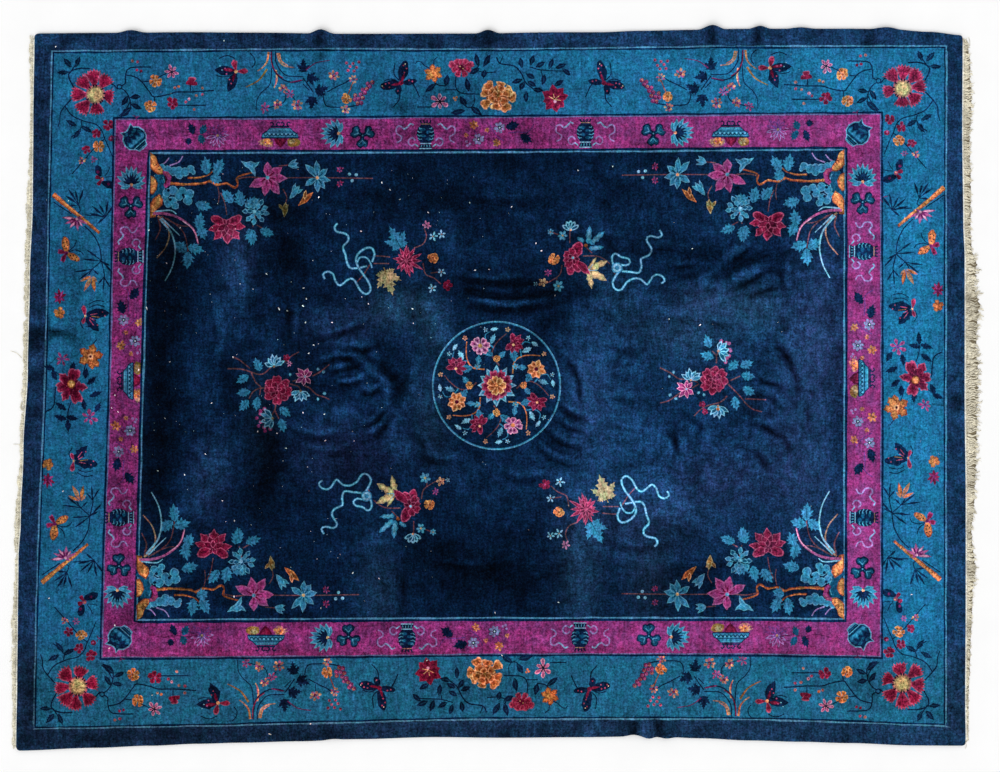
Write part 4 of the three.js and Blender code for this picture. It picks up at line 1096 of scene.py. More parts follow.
def field_spray_one(p):
    """The spray with the radiating flower, drawn at the top left of the field."""
    for pts in ([(390, 257), (381, 256), (373.5, 256)], [(389, 263.5), (373.5, 263.5)], [(371, 263), (364, 274), (357, 282)],
                [(414, 248), (423, 244), (426.5, 236), (424, 228)], [(423, 263), (425.5, 274), (434, 278), (441, 284)], [(430.7, 273), (439, 272)],
                [(388.5, 276), (384, 268)], [(398, 247), (396, 241)]):
        line(p, "brown", pts, 1.2, 0.9)
    knot_ribbon(p, (
        ([(337.6, 223.5), (334.5, 227), (336.5, 231.5), (343, 233), (347.8, 235.5), (348, 241), (343, 247), (345.5, 255), (347, 262.5), (350.5, 268), (358, 268), (367, 266)], 2.4),
        ([(372, 262), (374.5, 254), (371.5, 248), (365, 248.5), (358, 254), (356, 261), (360, 270), (368, 281), (370.5, 290), (366, 294), (360, 290), (355, 281), (350.5, 278.5),
          (346, 281), (340, 285.5), (335.5, 281), (333, 274), (327.5, 271.6), (323, 274.5), (325, 279)], 2.4),
        ([(357, 262.5), (360, 257.5), (366, 257.5), (370, 262), (372, 268)], 2.0),
    ))
    maple(p, 402, 250, -118, 25, "motif", "ink")
    maple(p, 384, 268, 72, 27, "khaki", "bronze")
    radiating_flower(p, 406, 260.5, 16.0)
    blossom(p, 433, 257.8, 5.6, "orange", 10)
    blossom(p, 433, 236.4, 4.8, "pale", 0)
    blossom(p, 441.6, 234.2, 4.4, "pale", 50)
    blossom(p, 441.4, 271.8, 4.4, "pale", 20)
    blossom(p, 432.4, 288.2, 5.0, "pale", 40)
    blossom(p, 447.2, 285.2, 5.6, "crimson", 0)
    blossom(p, 426.6, 225.2, 4.4, "pink", 10)


def field_spray_two(p):
    """The spray with the crimson flower, drawn at the top right of the field."""
    for pts in ([(569.8, 231), (569.8, 243)], [(562, 265), (559.5, 275), (548, 282.6)], [(583, 256), (596, 256), (604, 259), (610, 264)],
                [(585, 246), (592, 253)], [(556, 285), (557, 277)], [(538, 284), (548, 282.5)], [(551, 232), (562, 236)], [(612, 268), (616, 276)]):
        line(p, "brown", pts, 1.2, 0.9)
    knot_ribbon(p, (
        ([(617, 269), (613, 264), (612, 257), (615.5, 253.5), (621, 257), (628, 258.5), (630, 262.5), (626, 265.5), (621, 264.5)], 2.3),
        ([(620, 270), (615, 277), (612.6, 284), (616, 289.5), (621.5, 289.5), (627, 282), (634, 278.5), (641, 279.5), (647, 284.5), (652, 277.5), (657, 274.5), (663, 277), (664.5, 281), (661, 283.5)], 2.3),
        ([(622, 271), (631, 272), (639, 272.6), (641.5, 266), (641, 259), (649, 255), (651.5, 249), (646.5, 240), (650, 236), (658, 237.5), (662, 235), (659.5, 230)], 2.3),
    ))
    disc(p, "motif", 617, 267.8, 5.6, n=10)
    disc(p, "ice", 617, 267.8, 4.4, n=10)
    disc(p, "motif", 617, 267.8, 2.4, n=8)
    for x, y, a, l, w in ((588.4, 243.5, -86, 18, 7.0), (584, 241.6, -148, 8, 5.0), (590.4, 244.0, -42, 19, 6.6), (589.0, 248.6, -6, 15, 5.4)):
        petal(p, "lobed", x, y, a, l, w, "motif", "sky", inner=0.66)
    for a, l, w in ((-58, 15, 4.4), (-26, 21, 8.6), (30, 21, 8.4), (80, 19, 7.0)):
        petal(p, "lobed", 588.4, 270, a, l, w, "khaki", "straw", inner=0.7)
    line(p, "ice", [(586, 268), (590, 270.4), (597, 270)], 1.0, 0.6)
    line(p, "ice", [(589, 270), (593, 264)], 0.8, 0.5)
    disc(p, "rust", 585.6, 245.4, 2.0, n=6, rough=0.2)
    for a, l, w, k in ((-66, 18, 10.5, "round"), (-152, 11, 8.4, "heart"), (158, 10.5, 8.0, "heart"), (104, 17, 9.6, "round"), (-100, 11, 7, "heart"), (66, 15, 9.0, "round"),
                       (44, 24, 8.4, "flame"), (128, 12, 7.6, "heart")):
        petal(p, k, 573.4, 258.4, a, l, w, "rose", "crimson", "wine" if l > 16 else None, inner=0.86)
    for a in (-60, 10, 80, 150, 215):
        petal(p, "round", 573.4, 258.4, a, 6.4, 4.2, "rose", "wine", inner=0.8)
    disc(p, "rose", 572.9, 257.7, 2.2, n=7)
    disc(p, "ice", 572.9, 257.7, 1.4, n=6)
    blossom(p, 553.8, 259.4, 5.8, "orange", 25)
    blossom(p, 548, 272.6, 3.8, "purple", 20)
    blossom(p, 543, 282.4, 4.8, "tan", 0)
    blossom(p, 535.8, 284, 2.6, "pale", 0)
    blossom(p, 562.6, 235.6, 5.4, "blue", 0)
    blossom(p, 550.4, 232, 3.6, "blue", 30)
    blossom(p, 558.4, 286, 6.2, "blue", 10)
    for a in (-150, -118, -90, -62, -30):
        petal(p, "round", 570.6, 230, a, 9.4, 4.4, "ice", "channel", inner=0.62)
    disc(p, "peach", 570.6, 230, 1.2, n=5)


def fan_flower(p, x, y, angle, r, rim, body, tips=None, n=6, spreadto=160.0):
    q = p.at(x, y, angle + 90)
    for i in range(n):
        a = -90 + spreadto * ((i + 0.5) / n - 0.5) + 5 * scatter(i, r + x)
        l = r * (1.0 + 0.14 * scatter(i, x))
        if tips:
            c, s_ = math.cos(math.radians(a)), math.sin(math.radians(a))
            disc(q, tips, c * l * 0.94, s_ * l * 0.94, r * 0.16, n=6)
        petal(q, "flame", 0, 0, a, l, r * 0.42, rim, body if i % 2 else "channel", inner=0.68)
    disc(q, "tan", 0, 0, r * 0.12, n=5)


def side_spray_one(p):
    """The spray at the left of the roundel."""
    for pts in ([(227.6, 368.6), (240.6, 369), (250, 371.7), (259, 374.4), (265, 372.8), (273.5, 365.2), (285, 361.8), (290.3, 356.8), (299, 351.8)],
                [(233, 356.8), (240.6, 360.6), (250, 368.3)], [(251.3, 372.8), (256, 382.8), (260.5, 386.6), (259.7, 395)],
                [(267.4, 389), (260.5, 388), (252.8, 392), (249, 399)], [(292.6, 381.3), (301, 379)], [(290, 384), (298.8, 386.6), (301, 393)],
                [(304.9, 386), (310, 388.2), (316.4, 394.3), (325, 397.3), (329.4, 399.6)], [(312.5, 376), (321, 371.3), (329.4, 364.4)],
                [(276, 403), (274.7, 410.3), (270.4, 417.2)], [(274.7, 410.3), (279, 418.8)]):
        line(p, "brown", pts, 1.4, 1.0)
    for x, y, a in ((257.6, 364.2, -110), (242.4, 379.2, 150), (243.2, 392.6, 172), (243.6, 405.6, 130), (257, 404, 95), (285.4, 412, 40), (282.4, 425.6, 75)):
        leaf(p, "motif", x, y, a, 14.5, 10, "frond", "channel")
    fan_flower(p, 273.9, 366.4, -90, 11.5, "ice", "motif")
    fan_flower(p, 300.6, 391, 100, 11.5, "ice", "motif")
    fan_flower(p, 272.6, 418.4, 165, 12.5, "ice", "motif", "pink", 5)
    round_peony(p, 277.3, 390.2, 15.0, 50)
    pointed_flower(p, 305, 376.6, 10.5, "blush", "fuchsia", "plum", "ice", 7, 20, 0.46)
    blossom(p, 286.4, 357.6, 3.6, "crimson", 0)
    blossom(p, 289.4, 363.6, 3.2, "pink", 0)
    for x, y in ((290.3, 374.4), (318, 369), (323.4, 372), (324.6, 393.4), (318, 399)):
        disc(p, "sky", x, y, 1.7, n=5, rough=0.2)
        disc(p, "ice", x, y, 0.8, n=4)
    dots(p, "fuchsia", ((260.5, 411), (256.8, 418), (258.6, 426), (265, 431)), 1.9, 6)


def side_spray_two(p):
    """The spray at the right of the roundel."""
    for pts in ([(745.4, 398.8), (766, 399.7)], [(743.7, 401.3), (752, 408.8), (762, 411.7)], [(728, 384), (737, 393), (743.7, 400.5)], [(730.4, 380.6), (740, 376)],
                [(727, 396), (720.5, 402), (704, 407), (694, 416)], [(698.9, 384), (692, 388)], [(660, 367.7), (670.7, 373), (679, 378.9), (689, 379), (698, 382.6)],
                [(680, 393), (669, 400.5), (660, 403)], [(716.3, 363.2), (716.3, 355.7), (712, 351)], [(716.3, 355.7), (720, 349)]):
        line(p, "brown", pts, 1.4, 1.0)
    for x, y, a in ((707.6, 341, -110), (706.6, 355.6, -160), (734, 365, -40), (747, 364, -20), (748.4, 376, 10), (749, 391, 30), (735.6, 403.6, 80)):
        leaf(p, "motif", x, y, a, 14.5, 10, "frond", "channel")
    fan_flower(p, 690.8, 380, -80, 11.5, "ice", "motif")
    fan_flower(p, 718, 406, 95, 12.0, "ice", "motif", None, 6)
    disc(p, "orange", 718, 409, 1.8, n=6)
    fan_flower(p, 718.4, 351, -8, 12.5, "ice", "motif", "pink", 5)
    round_peony(p, 713.2, 379.8, 14.6, 10)
    pointed_flower(p, 686.4, 389, 10.5, "blush", "fuchsia", "plum", "ice", 7, 5, 0.46)
    blossom(p, 702.4, 404, 3.6, "crimson", 0)
    blossom(p, 705, 411.6, 3.4, "crimson", 30)
    for x, y in ((673.6, 372.3), (669.3, 376.6), (669.9, 394.7), (675.7, 398.6), (698.6, 392.8), (704, 394.8)):
        disc(p, "sky", x, y, 1.7, n=5, rough=0.2)
        disc(p, "ice", x, y, 0.8, n=4)
    dots(p, "pink", ((729, 343.4), (730.4, 350.6), (727, 358.2)), 1.9, 6)


def roundel(p, x, y, r):
    """A ring of blossoms round a rosette, on the ground of the field."""
    q = p.at(x, y)
    disc(q, "sky", 0, 0, r, n=60)
    disc(q, "motif", 0, 0, r - 0.7, n=60)
    disc(q, "field", 0, 0, r - 1.7, n=60)
    # eight leaf scrolls with blossoms between them
    for i in range(8):
        a = 45.0 * i
        s = q.at(0, 0, a)
        line(s, "orange" if i % 2 else "brown", [(20, 3), (29, -4), (38, -3), (46, 3), (52, 10)], 1.4, 0.9)
        line(s, "motif", [(38, -3), (44, -10), (51, -11), (54, -6)], 1.5, 0.9)
        leaf(s, "motif", 34, -10, -55, 15, 8.4, "serrate", "channel")
        leaf(s, "ice" if i % 2 else "sky", 47, -3.5, 20, 11, 5.6, "frond")
        leaf(s, "motif", 31, 5.5, 50, 10, 6.0, "serrate", "sky")
        leaf(s, "ice", 56.5, -2.0, 80, 8, 4.4, "frond")
    for i in range(8):
        a = 45.0 * i + 22.5
        c, s = math.cos(math.radians(a)), math.sin(math.radians(a))
        if i % 2 == 0:
            peony(q, c * 44, s * 44, 10.6, a, seed=i)
            disc(q, "peach", c * 44, s * 44, 1.4, n=6)
        elif i % 4 == 1:
            rosette(q, c * 43, s * 43, 9.2, 7, "heart", 6.0, "blush", "pink", "plum", 0.2, a, "amber", 0.24, vary=0.16)
        else:
            rosette(q, c * 43, s * 43, 9.6, 8, "flame", 6.4, "peach", "orange", "rust", 0.16, a, "wine", 0.22, vary=0.16)
    for i in range(16):
        a = 22.5 * i + 11.25
        c, s = math.cos(math.radians(a)), math.sin(math.radians(a))
        blossom(q, c * 57, s * 57, 2.7, "pale" if i % 2 else "tan", a)
    for i in range(8):
        a = 45.0 * i
        c, s = math.cos(math.radians(a)), math.sin(math.radians(a))
        blossom(q, c * 27, s * 27, 3.8, "blue" if i % 2 else "orange", a)
    # the rosette in the middle
    for i in range(12):
        petal(q, "flame", 0, 0, 30.0 * i, 20.0 + 1.4 * scatter(i, 3.0), 8.4, "ice", "motif", inner=0.76)
    for i in range(9):
        petal(q, "heart", 0, 0, 40.0 * i + 15, 15.4 + 1.2 * scatter(i, 4.0), 9.0, "rose", "crimson", "wine")
    for i in range(7):
        petal(q, "heart", 0, 0, 51.43 * i, 9.6 + 0.8 * scatter(i, 5.0), 6.8, "peach", "orange", "rust")
    disc(q, "rust", 0, 0, 2.4, n=8)
    disc(q, "amber", 0, 0, 1.4, n=7)


# ---- the whole cartoon ---------------------------------------------------------
# The border lines, measured along the edges: a row for each place on a line.
OUTER = {"top": ((52, 51), (300, 49), (490, 49), (740, 46.4), (946.5, 46)),
         "right": ((946.5, 46), (946, 386), (946, 726)),
         "bottom": ((946, 726), (740, 719.5), (490, 719.5), (370, 722), (200, 726), (33.5, 729)),
         "left": ((33.5, 729), (37.5, 560), (45, 370), (48.6, 200), (52, 51))}
MIDDLE = {"top": ((115, 119), (490, 117), (700, 115), (881, 113.5)),
          "right": ((881, 113.5), (881.5, 386), (881, 657)),
          "bottom": ((881, 657), (740, 654.5), (490, 654.5), (370, 656), (101.5, 658)),
          "left": ((101.5, 658), (104, 560), (110, 370), (115, 119))}
INNER = {"top": ((150.3, 153), (500, 152), (844.5, 149.5)),
         "right": ((844.5, 149.5), (844.3, 386), (844.2, 619)),
         "bottom": ((844.2, 619), (740, 618), (490, 618), (250, 619.4), (136.4, 620)),
         "left": ((136.4, 620), (138.6, 560), (143.6, 370), (150.3, 153))}


def side_points(rows, step=12.0, wander=0.45, seed=0):
    out = []
    line_ = curve([tuple(map(float, r)) for r in rows], step)
    for i, (x, y) in enumerate(line_):
        if 0 < i < len(line_) - 1:
            x += wander * scatter(i, seed + 0.3)
            y += wander * scatter(i, seed + 7.7)
        out.append((x, y))
    return out


def frame_line(lines, inset, seed):
    """The closed outline of a border line, moved in by inset."""
    cx, cy = 496.0, 386.0
    loop = []
    for k, side in enumerate(("top", "right", "bottom", "left")):
        pts = side_points(lines[side], seed=seed + k)
        moved = []
        for x, y in pts:
            if side in ("top", "bottom"):
                y += inset if side == "top" else -inset
                x += (inset if x < cx else -inset) * min(1.0, max(0.0, (abs(x - cx) - 300.0) / 80.0)) * 1.0
            else:
                x += -inset if side == "right" else inset
                y += (inset if y < cy else -inset) * min(1.0, max(0.0, (abs(y - cy) - 200.0) / 60.0)) * 1.0
            moved.append((x, y))
        loop += moved[:-1]
    return loop


def draw_all():
    shapes = []
    p = Pen(shapes)
    # grounds and border lines
    p.fill("lightline", frame_line(OUTER, -0.7, 1))
    p.fill("darkline", frame_line(OUTER, 0.75, 2))
    p.fill("teal", frame_line(OUTER, 2.35, 3))
    # shadows of three sharp creases
    line(p, "deepteal", [(49.0, 330.4), (56.0, 331.6), (64.0, 330.0), (73.0, 326.0)], 1.1, 0.6)
    line(p, "deepteal", [(48.5, 364.0), (53.0, 361.4), (57.5, 355.6)], 1.0, 0.6)
    line(p, "deepteal", [(918.0, 405.8), (931.0, 404.8), (944.5, 405.4)], 0.6, 1.1)
    tl, tr, bl, br = (51.5, 52.0), (946.5, 46.0), (34.0, 729.0), (946.0, 726.0)
    corners = ((tr, 1, 1), (tl, -1, 1), (bl, -1, -1), (br, 1, -1))
    reference = (946.5, 46.0)
    # petals of the corner flowers lie a little differently in each corner
    petals = {
        (1, 1): ((0.7, -20), (-12.4, -15.8), (14.8, -15.9), (19.9, -2.4), (14, 11), (-0.8, 14), (-15.9, 1.7)),
        (-1, 1): ((2.4, -21.5), (-11, -16), (-14, 1.5), (-1.5, 16), (15, 14), (21, 0), (15, -14)),
        (-1, -1): ((15, 13.5), (-2.4, 16), (-16, 3), (-12, -15), (3, -20.7), (14, -15), (20, -1)),
        (1, -1): ((-2.5, 16.6), (15.8, 14), (19, -1.7), (14, -16.6), (0, -22.4), (-13, -14), (-15.8, 4)),
    }
    for anchor, fx, fy in corners:
        q = p.corner(anchor, reference, fx, fy)
        corner_spray(q)
        corner_flower(q, 902.5, 88.7, petals[(fx, fy)])
    # along the short sides
    for fx, fy, ax, ay, sy in ((1, 1, 0, 0, 1.0), (1, -1, -4.0, 767.0, 1.0), (-1, 1, 997.5, 7.0, 1.0), (-1, -1, 986.0, 770.0, 1.0)):
        q = p.inside((fx, 0, 0, fy, ax if fx > 0 else ax, ay if fy < 0 else ay))
        side_quarter(q)
    side_middle(p)
    side_middle(p.inside((-1, 0, 0, -1, 987.0, 764.0)))
    # along the long sides
    for fx, fy, ax, ay in ((1, 1, 0, 0), (-1, 1, 1014.0, -2.0), (1, -1, -18.5, 771.0), (-1, -1, 1007.0, 768.0)):
        plant(p.inside((fx, 0, 0, fy, ax, ay)))
    large_butterfly(p, 401, 83)
    large_butterfly(p.inside((-1, 0, 0, 1, 604, 83)), 0, 0)
    large_butterfly(p.inside((1, 0, 0, -1, 379.5, 688)), 0, 0)
    large_butterfly(p.inside((-1, 0, 0, -1, 589.5, 689)), 0, 0)
    corner_butterfly(p, 236, 71.5)
    corner_butterfly(p.inside((-1, 0, 0, 1, 770, 68)), 0, 0)
    corner_butterfly(p.inside((1, 0, 0, -1, 218, 703)), 0, 0)
    corner_butterfly(p.inside((-1, 0, 0, -1, 767, 701)), 0, 0)
    middle_spray(p)
    middle_spray(p.inside((-1, 0, 0, -1, 983.0, 769.5)))
    # the narrow band
    p.fill("darkline", frame_line(MIDDLE, -2.0, 4))
    p.fill("edge", frame_line(MIDDLE, 0.0, 5))
    p.fill("magenta", frame_line(MIDDLE, 1.1, 6))
    band_objects(p)
    # the field
    p.fill("darkline", frame_line(INNER, -3.2, 7))
    p.fill("lightline", frame_line(INNER, -0.7, 8))
    p.fill("field", frame_line(INNER, 0.9, 9))
    field_tl, field_tr, field_bl, field_br = (150.3, 153.0), (844.5, 149.8), (136.6, 620.0), (844.2, 619.0)
    for anchor, fx, fy in ((field_tr, 1, 1), (field_tl, -1, 1), (field_bl, -1, -1), (field_br, 1, -1)):
        q = p.corner(anchor, (844.5, 150.0), fx, fy)
        corner_branch(q)
        corner_rocks(q)
        corner_flowers(q)
    field_spray_one(p)
    field_spray_one(p.inside((-1, 0, 0, -1, 992.0, 770.0)))
    field_spray_two(p)
    field_spray_two(p.inside((-1, 0, 0, -1, 983.5, 764.0)))
    side_spray_one(p)
    side_spray_two(p)
    roundel(p, 496.5, 385.5, 64.5)
    return shapes


def band_objects(p):
    # (what, x, y, turn): the foot of each thing turns to the outside at 0 for the top row
    rows = (
        ("jar", 134.7, 138.5, -42), ("jar", 857.7, 133.5, 42), ("jar", 120, 638, 222), ("jar", 859.4, 635.5, 138),
        # top
        ("lilac", 217.6, 135.5, 0), ("leaves", 192, 135, 180), ("bowl", 280, 132.6, 0), ("half", 333, 133.4, 0), ("trefoil", 362.5, 135.6, 0),
        ("vase", 425.6, 134.6, 0), ("cluster", 486, 133, 0), ("vase", 585.4, 133.2, 0), ("trefoil", 653.3, 133.5, 0), ("half", 681, 132.7, 180),
        ("bowl", 730.5, 131.6, 0), ("lilac", 778, 129.5, 0), ("leaves", 806, 129.5, 0),
        # bottom
        ("lilac", 202, 635.5, 0), ("leaves", 174, 636, 180), ("bowl", 266, 640.5, 180), ("half", 322, 637.6, 0), ("trefoil", 348.6, 636.6, 60),
        ("vase", 407, 638, 180), ("cluster", 487, 637.5, 180), ("vase", 580, 637, 180), ("trefoil", 649, 636, 60), ("half", 677, 637, 180),
        ("bowl", 731, 638, 180), ("lilac", 777, 635.5, 0), ("leaves", 805, 635.5, 0),
        # right
        ("half", 862.7, 176, 90), ("trefoil", 862.7, 202, 0), ("vase", 863.4, 251.4, 90), ("cluster2", 864, 338, -90), ("bowl", 864, 378, 90),
        ("cluster", 864, 429, 90), ("vase", 864, 517.6, 90), ("trefoil", 862.6, 569, 60), ("half", 863.2, 596, -90),
        # left
        ("half", 131.5, 179, 90), ("trefoil", 130.8, 206, 0), ("vase", 129, 256.5, -90), ("cluster", 129, 333.5, -90), ("bowl", 128, 381, -90),
        ("cluster2", 124, 438, 90), ("vase", 119.6, 517.5, -90), ("trefoil", 119, 566, 60), ("half", 117.4, 596, -90),
    )
    for what, x, y, turn in rows:
        q = p.at(x, y, turn)
        if what == "jar":
            jar_twigs(q)
            jar(q.at(0, 0, 0, 0.96))
        elif what == "bowl":
            fruits(q)
            bowl(q)
        elif what == "vase":
            vase_ribbons(q)
            vase(q)
        elif what == "half":
            half_flower(q)
            line(q, "plum", [(6, 0.6), (12, 1.6), (18, 2.4)], 1.0)
        elif what == "trefoil":
            trefoil(q)
            trail_tip(q.at(9, -5, 0, 0.9))
        elif what == "lilac":
            lilac_flower(q)
        elif what == "leaves":
            leaf_trail(q)
        elif what == "cluster":
            band_cluster(q)
        elif what == "cluster2":
            band_cluster(q.at(0, 0, 180, flip=True))


# ---- the outline and the top surface ------------------------------------------
def outline(step=11.0, round_=24.0):
    """The carpet's outline, anticlockwise from above, in millimetres of the tables."""
    left, right = -1806.0, 1793.0
    top, bottom = 1360.0, -1378.0
    xs_b = np.arange(-1840.0 + round_, 1797.0 - round_ + 1, step)
    south = [(x, float(long_edge("bottom", x))) for x in xs_b]
    ys_r = np.arange(-1369.0 + round_, 1354.0 - round_ + 1, step)
    east = [(float(short_edge("right", y)), y) for y in ys_r]
    xs_t = np.arange(1786.0 - round_, -1770.5 + round_ - 1, -step)
    north = [(x, float(long_edge("top", x))) for x in xs_t]
    ys_l = np.arange(1361.0 - round_, -1388.0 + round_ - 1, -step)
    west = [(float(short_edge("left", y)), y) for y in ys_l]
    loop = []
    sides = [south, east, north, west]
    corners = [(1797.6, -1368.9), (1786.4, 1354.5), (-1770.4, 1361.0), (-1840.6, -1387.4)]
    for k in range(4):
        loop += sides[k]
        a, b, c = sides[k][-1], corners[k], sides[(k + 1) % 4][0]
        for t in (0.2, 0.4, 0.6, 0.8):
            u = 1 - t
            loop.append((u * u * a[0] + 2 * u * t * b[0] + t * t * c[0], u * u * a[1] + 2 * u * t * b[1] + t * t * c[1]))
    return np.array(loop)


def inwards(loop, by):
    """The loop moved in, away from its outside."""
    ahead, behind = np.roll(loop, -1, 0), np.roll(loop, 1, 0)
    t = ahead - behind
    t /= np.linalg.norm(t, axis=1)[:, None]
    return loop + np.stack([-t[:, 1], t[:, 0]], 1) * by


def drawn(points):
    """Places of the drawing in millimetres of the tables."""
    p = np.asarray(points, float)
    return np.stack([(p[:, 0] - DRAWN_AT[0]) * UNIT * 1000 + CENTRE[0], (DRAWN_AT[1] - p[:, 1]) * UNIT * 1000 + CENTRE[1]], 1)


def inside_polygon(px, py, poly):
    """Which points lie in the polygon, by the nonzero rule."""
    wind = np.zeros(len(px), int)
    x0, y0 = poly[:, 0], poly[:, 1]
    x1, y1 = np.roll(x0, -1), np.roll(y0, -1)
    for ax, ay, bx, by in zip(x0, y0, x1, y1):
        if ay == by:
            continue
        if ay < by:
            hit = (py >= ay) & (py < by)
            side = (bx - ax) * (py[hit] - ay) - (px[hit] - ax) * (by - ay)
            wind[np.flatnonzero(hit)[side > 0]] += 1
        else:
            hit = (py >= by) & (py < ay)
            side = (bx - ax) * (py[hit] - ay) - (px[hit] - ax) * (by - ay)
            wind[np.flatnonzero(hit)[side < 0]] -= 1
    return wind != 0


def topmost(px, py, shapes):
    """For each point, the last shape that covers it, or -1."""
    order = np.argsort(px, kind="stable")
    sx, sy = px[order], py[order]
    found = np.full(len(px), -1)
    for k, poly in enumerate(shapes):
        lo, hi = np.searchsorted(sx, (poly[:, 0].min(), poly[:, 0].max()))
        if lo == hi:
            continue
        yy = sy[lo:hi]
        near = np.flatnonzero((yy >= poly[:, 1].min()) & (yy <= poly[:, 1].max())) + lo
        if len(near) == 0:
            continue
        hit = inside_polygon(sx[near], sy[near], poly)
        found[near[hit]] = k
    out = np.empty_like(found)
    out[order] = found
    return out


def triangulate(points, edges, near=2e-5):
    verts, _, faces, *_ = delaunay_2d_cdt([Vector(p) for p in points], edges, [], 0, near, False)
    v = np.array([(p.x, p.y) for p in verts])
    f = np.array(faces)
    a, b, c = v[f[:, 0]], v[f[:, 1]], v[f[:, 2]]
    area = (b[:, 0] - a[:, 0]) * (c[:, 1] - a[:, 1]) - (c[:, 0] - a[:, 0]) * (b[:, 1] - a[:, 1])
    f[area < 0] = f[area < 0][:, ::-1]
    return v, f[np.abs(area) > 1e-9]


def loops_to_edges(loops, start=0):
    points, edges = [], []
    for loop in loops:
        k = start + len(points)
        n = len(loop)
        points += [tuple(p) for p in loop]
        edges += [(k + i, k + (i + 1) % n) for i in range(n)]
    return points, edges


# ---- painted sheen and shade of how the pile lies: light and dark clouds --------
# Rows in units of the drawing: x, y, turn, half length, half width, how light.
FIELD_SHADING_CLOUDS = (
    (237, 268, 84, 44, 14, 0.34), (219, 318, 100, 46, 22, 0.22), (208, 472, 118, 48, 18, 0.30), (196, 380, 90, 40, 26, 0.10),
    (397, 306, 20, 19, 15, 0.42), (441, 322, 70, 38, 12, 0.36), (330, 330, 8, 44, 20, 0.20), (332, 412, 10, 40, 16, 0.22),
    (397, 432, 80, 50, 11, 0.26), (318, 452, 60, 34, 14, 0.16), (596, 376, 88, 96, 30, 0.40), (634, 428, 100, 74, 44, 0.30),
    (722, 306, 10, 54, 30, 0.34), (690, 352, 0, 46, 22, 0.26), (796, 382, 70, 74, 28, 0.34), (732, 462, 10, 78, 44, 0.24),
    (806, 470, 80, 62, 26, 0.28), (584, 486, 6, 70, 24, 0.24), (690, 508, 0, 70, 26, 0.22), (581, 578, 90, 74, 15, 0.34),
    (632, 580, 90, 60, 20, 0.18), (372, 572, 90, 66, 24, 0.22), (530, 190, 5, 74, 18, 0.14), (452, 240, 80, 50, 10, 0.14),
    (640, 300, 5, 60, 24, 0.14), (760, 300, 60, 40, 18, 0.18), (820, 320, 90, 60, 16, 0.22), (700, 210, 0, 60, 20, 0.12),
    (340, 200, 0, 60, 20, 0.06), (268, 330, 90, 50, 10, 0.12), (424, 380, 85, 40, 10, 0.14), (470, 500, 80, 40, 16, 0.10),
    (168, 288, 88, 82, 28, -0.34), (284, 248, 80, 62, 22, -0.24), (512, 292, 4, 78, 15, -0.42), (752, 266, -24, 36, 13, -0.55),
    (160, 430, 90, 96, 20, -0.30), (482, 572, 4, 84, 44, -0.36), (270, 452, 88, 54, 17, -0.30), (650, 590, 0, 40, 24, -0.22), (740, 486, 0, 60, 30, -0.12), (676, 430, 60, 26, 10, -0.24),
    (256, 504, 80, 34, 18, -0.22), (700, 258, -12, 40, 9, -0.30), (304, 378, 90, 30, 20, -0.14), (430, 200, 0, 90, 14, -0.12),
    (372, 474, 0, 44, 18, -0.18), (546, 330, -50, 26, 10, -0.26), (650, 380, 90, 60, 9, -0.12), (230, 400, 80, 50, 12, -0.14),
    (470, 160, 0, 120, 9, -0.10), (690, 580, 0, 50, 20, -0.12), (780, 590, 0, 60, 20, -0.10),
    (500, 186, 0, 190, 30, -0.16), (740, 210, 0, 90, 24, -0.12), (815, 300, 90, 110, 34, 0.16), (800, 520, 0, 60, 34, 0.06), (620, 250, 0, 90, 26, -0.08),
)
# Crinkles in the pile, painted as shade and highlight: x, y, turn, half length, half width, how strong, and which way
# they run.
CRINKLE_SHADING = (
    (345, 352, 20, 66, 58, 0.9, 0), (372, 400, 80, 60, 40, 0.7, 0), (250, 300, 90, 80, 60, 0.5, 0), (220, 440, 0, 90, 60, 0.45, 0),
    (440, 320, 60, 40, 26, 0.6, 0), (300, 470, 0, 110, 40, 0.35, 0), (760, 410, 60, 74, 56, 0.95, 0), (520, 560, 0, 90, 50, 0.3, 0),
    (512, 298, 0, 74, 26, 0.9, 1), (606, 392, 90, 84, 52, 0.95, 1), (722, 282, -20, 90, 56, 0.85, 1), (800, 330, 80, 90, 46, 0.6, 1),
    (640, 500, 0, 120, 44, 0.4, 1), (560, 220, 0, 120, 40, 0.35, 1), (690, 460, 0, 90, 44, 0.5, 1), (400, 210, 0, 90, 40, 0.25, 1),
)
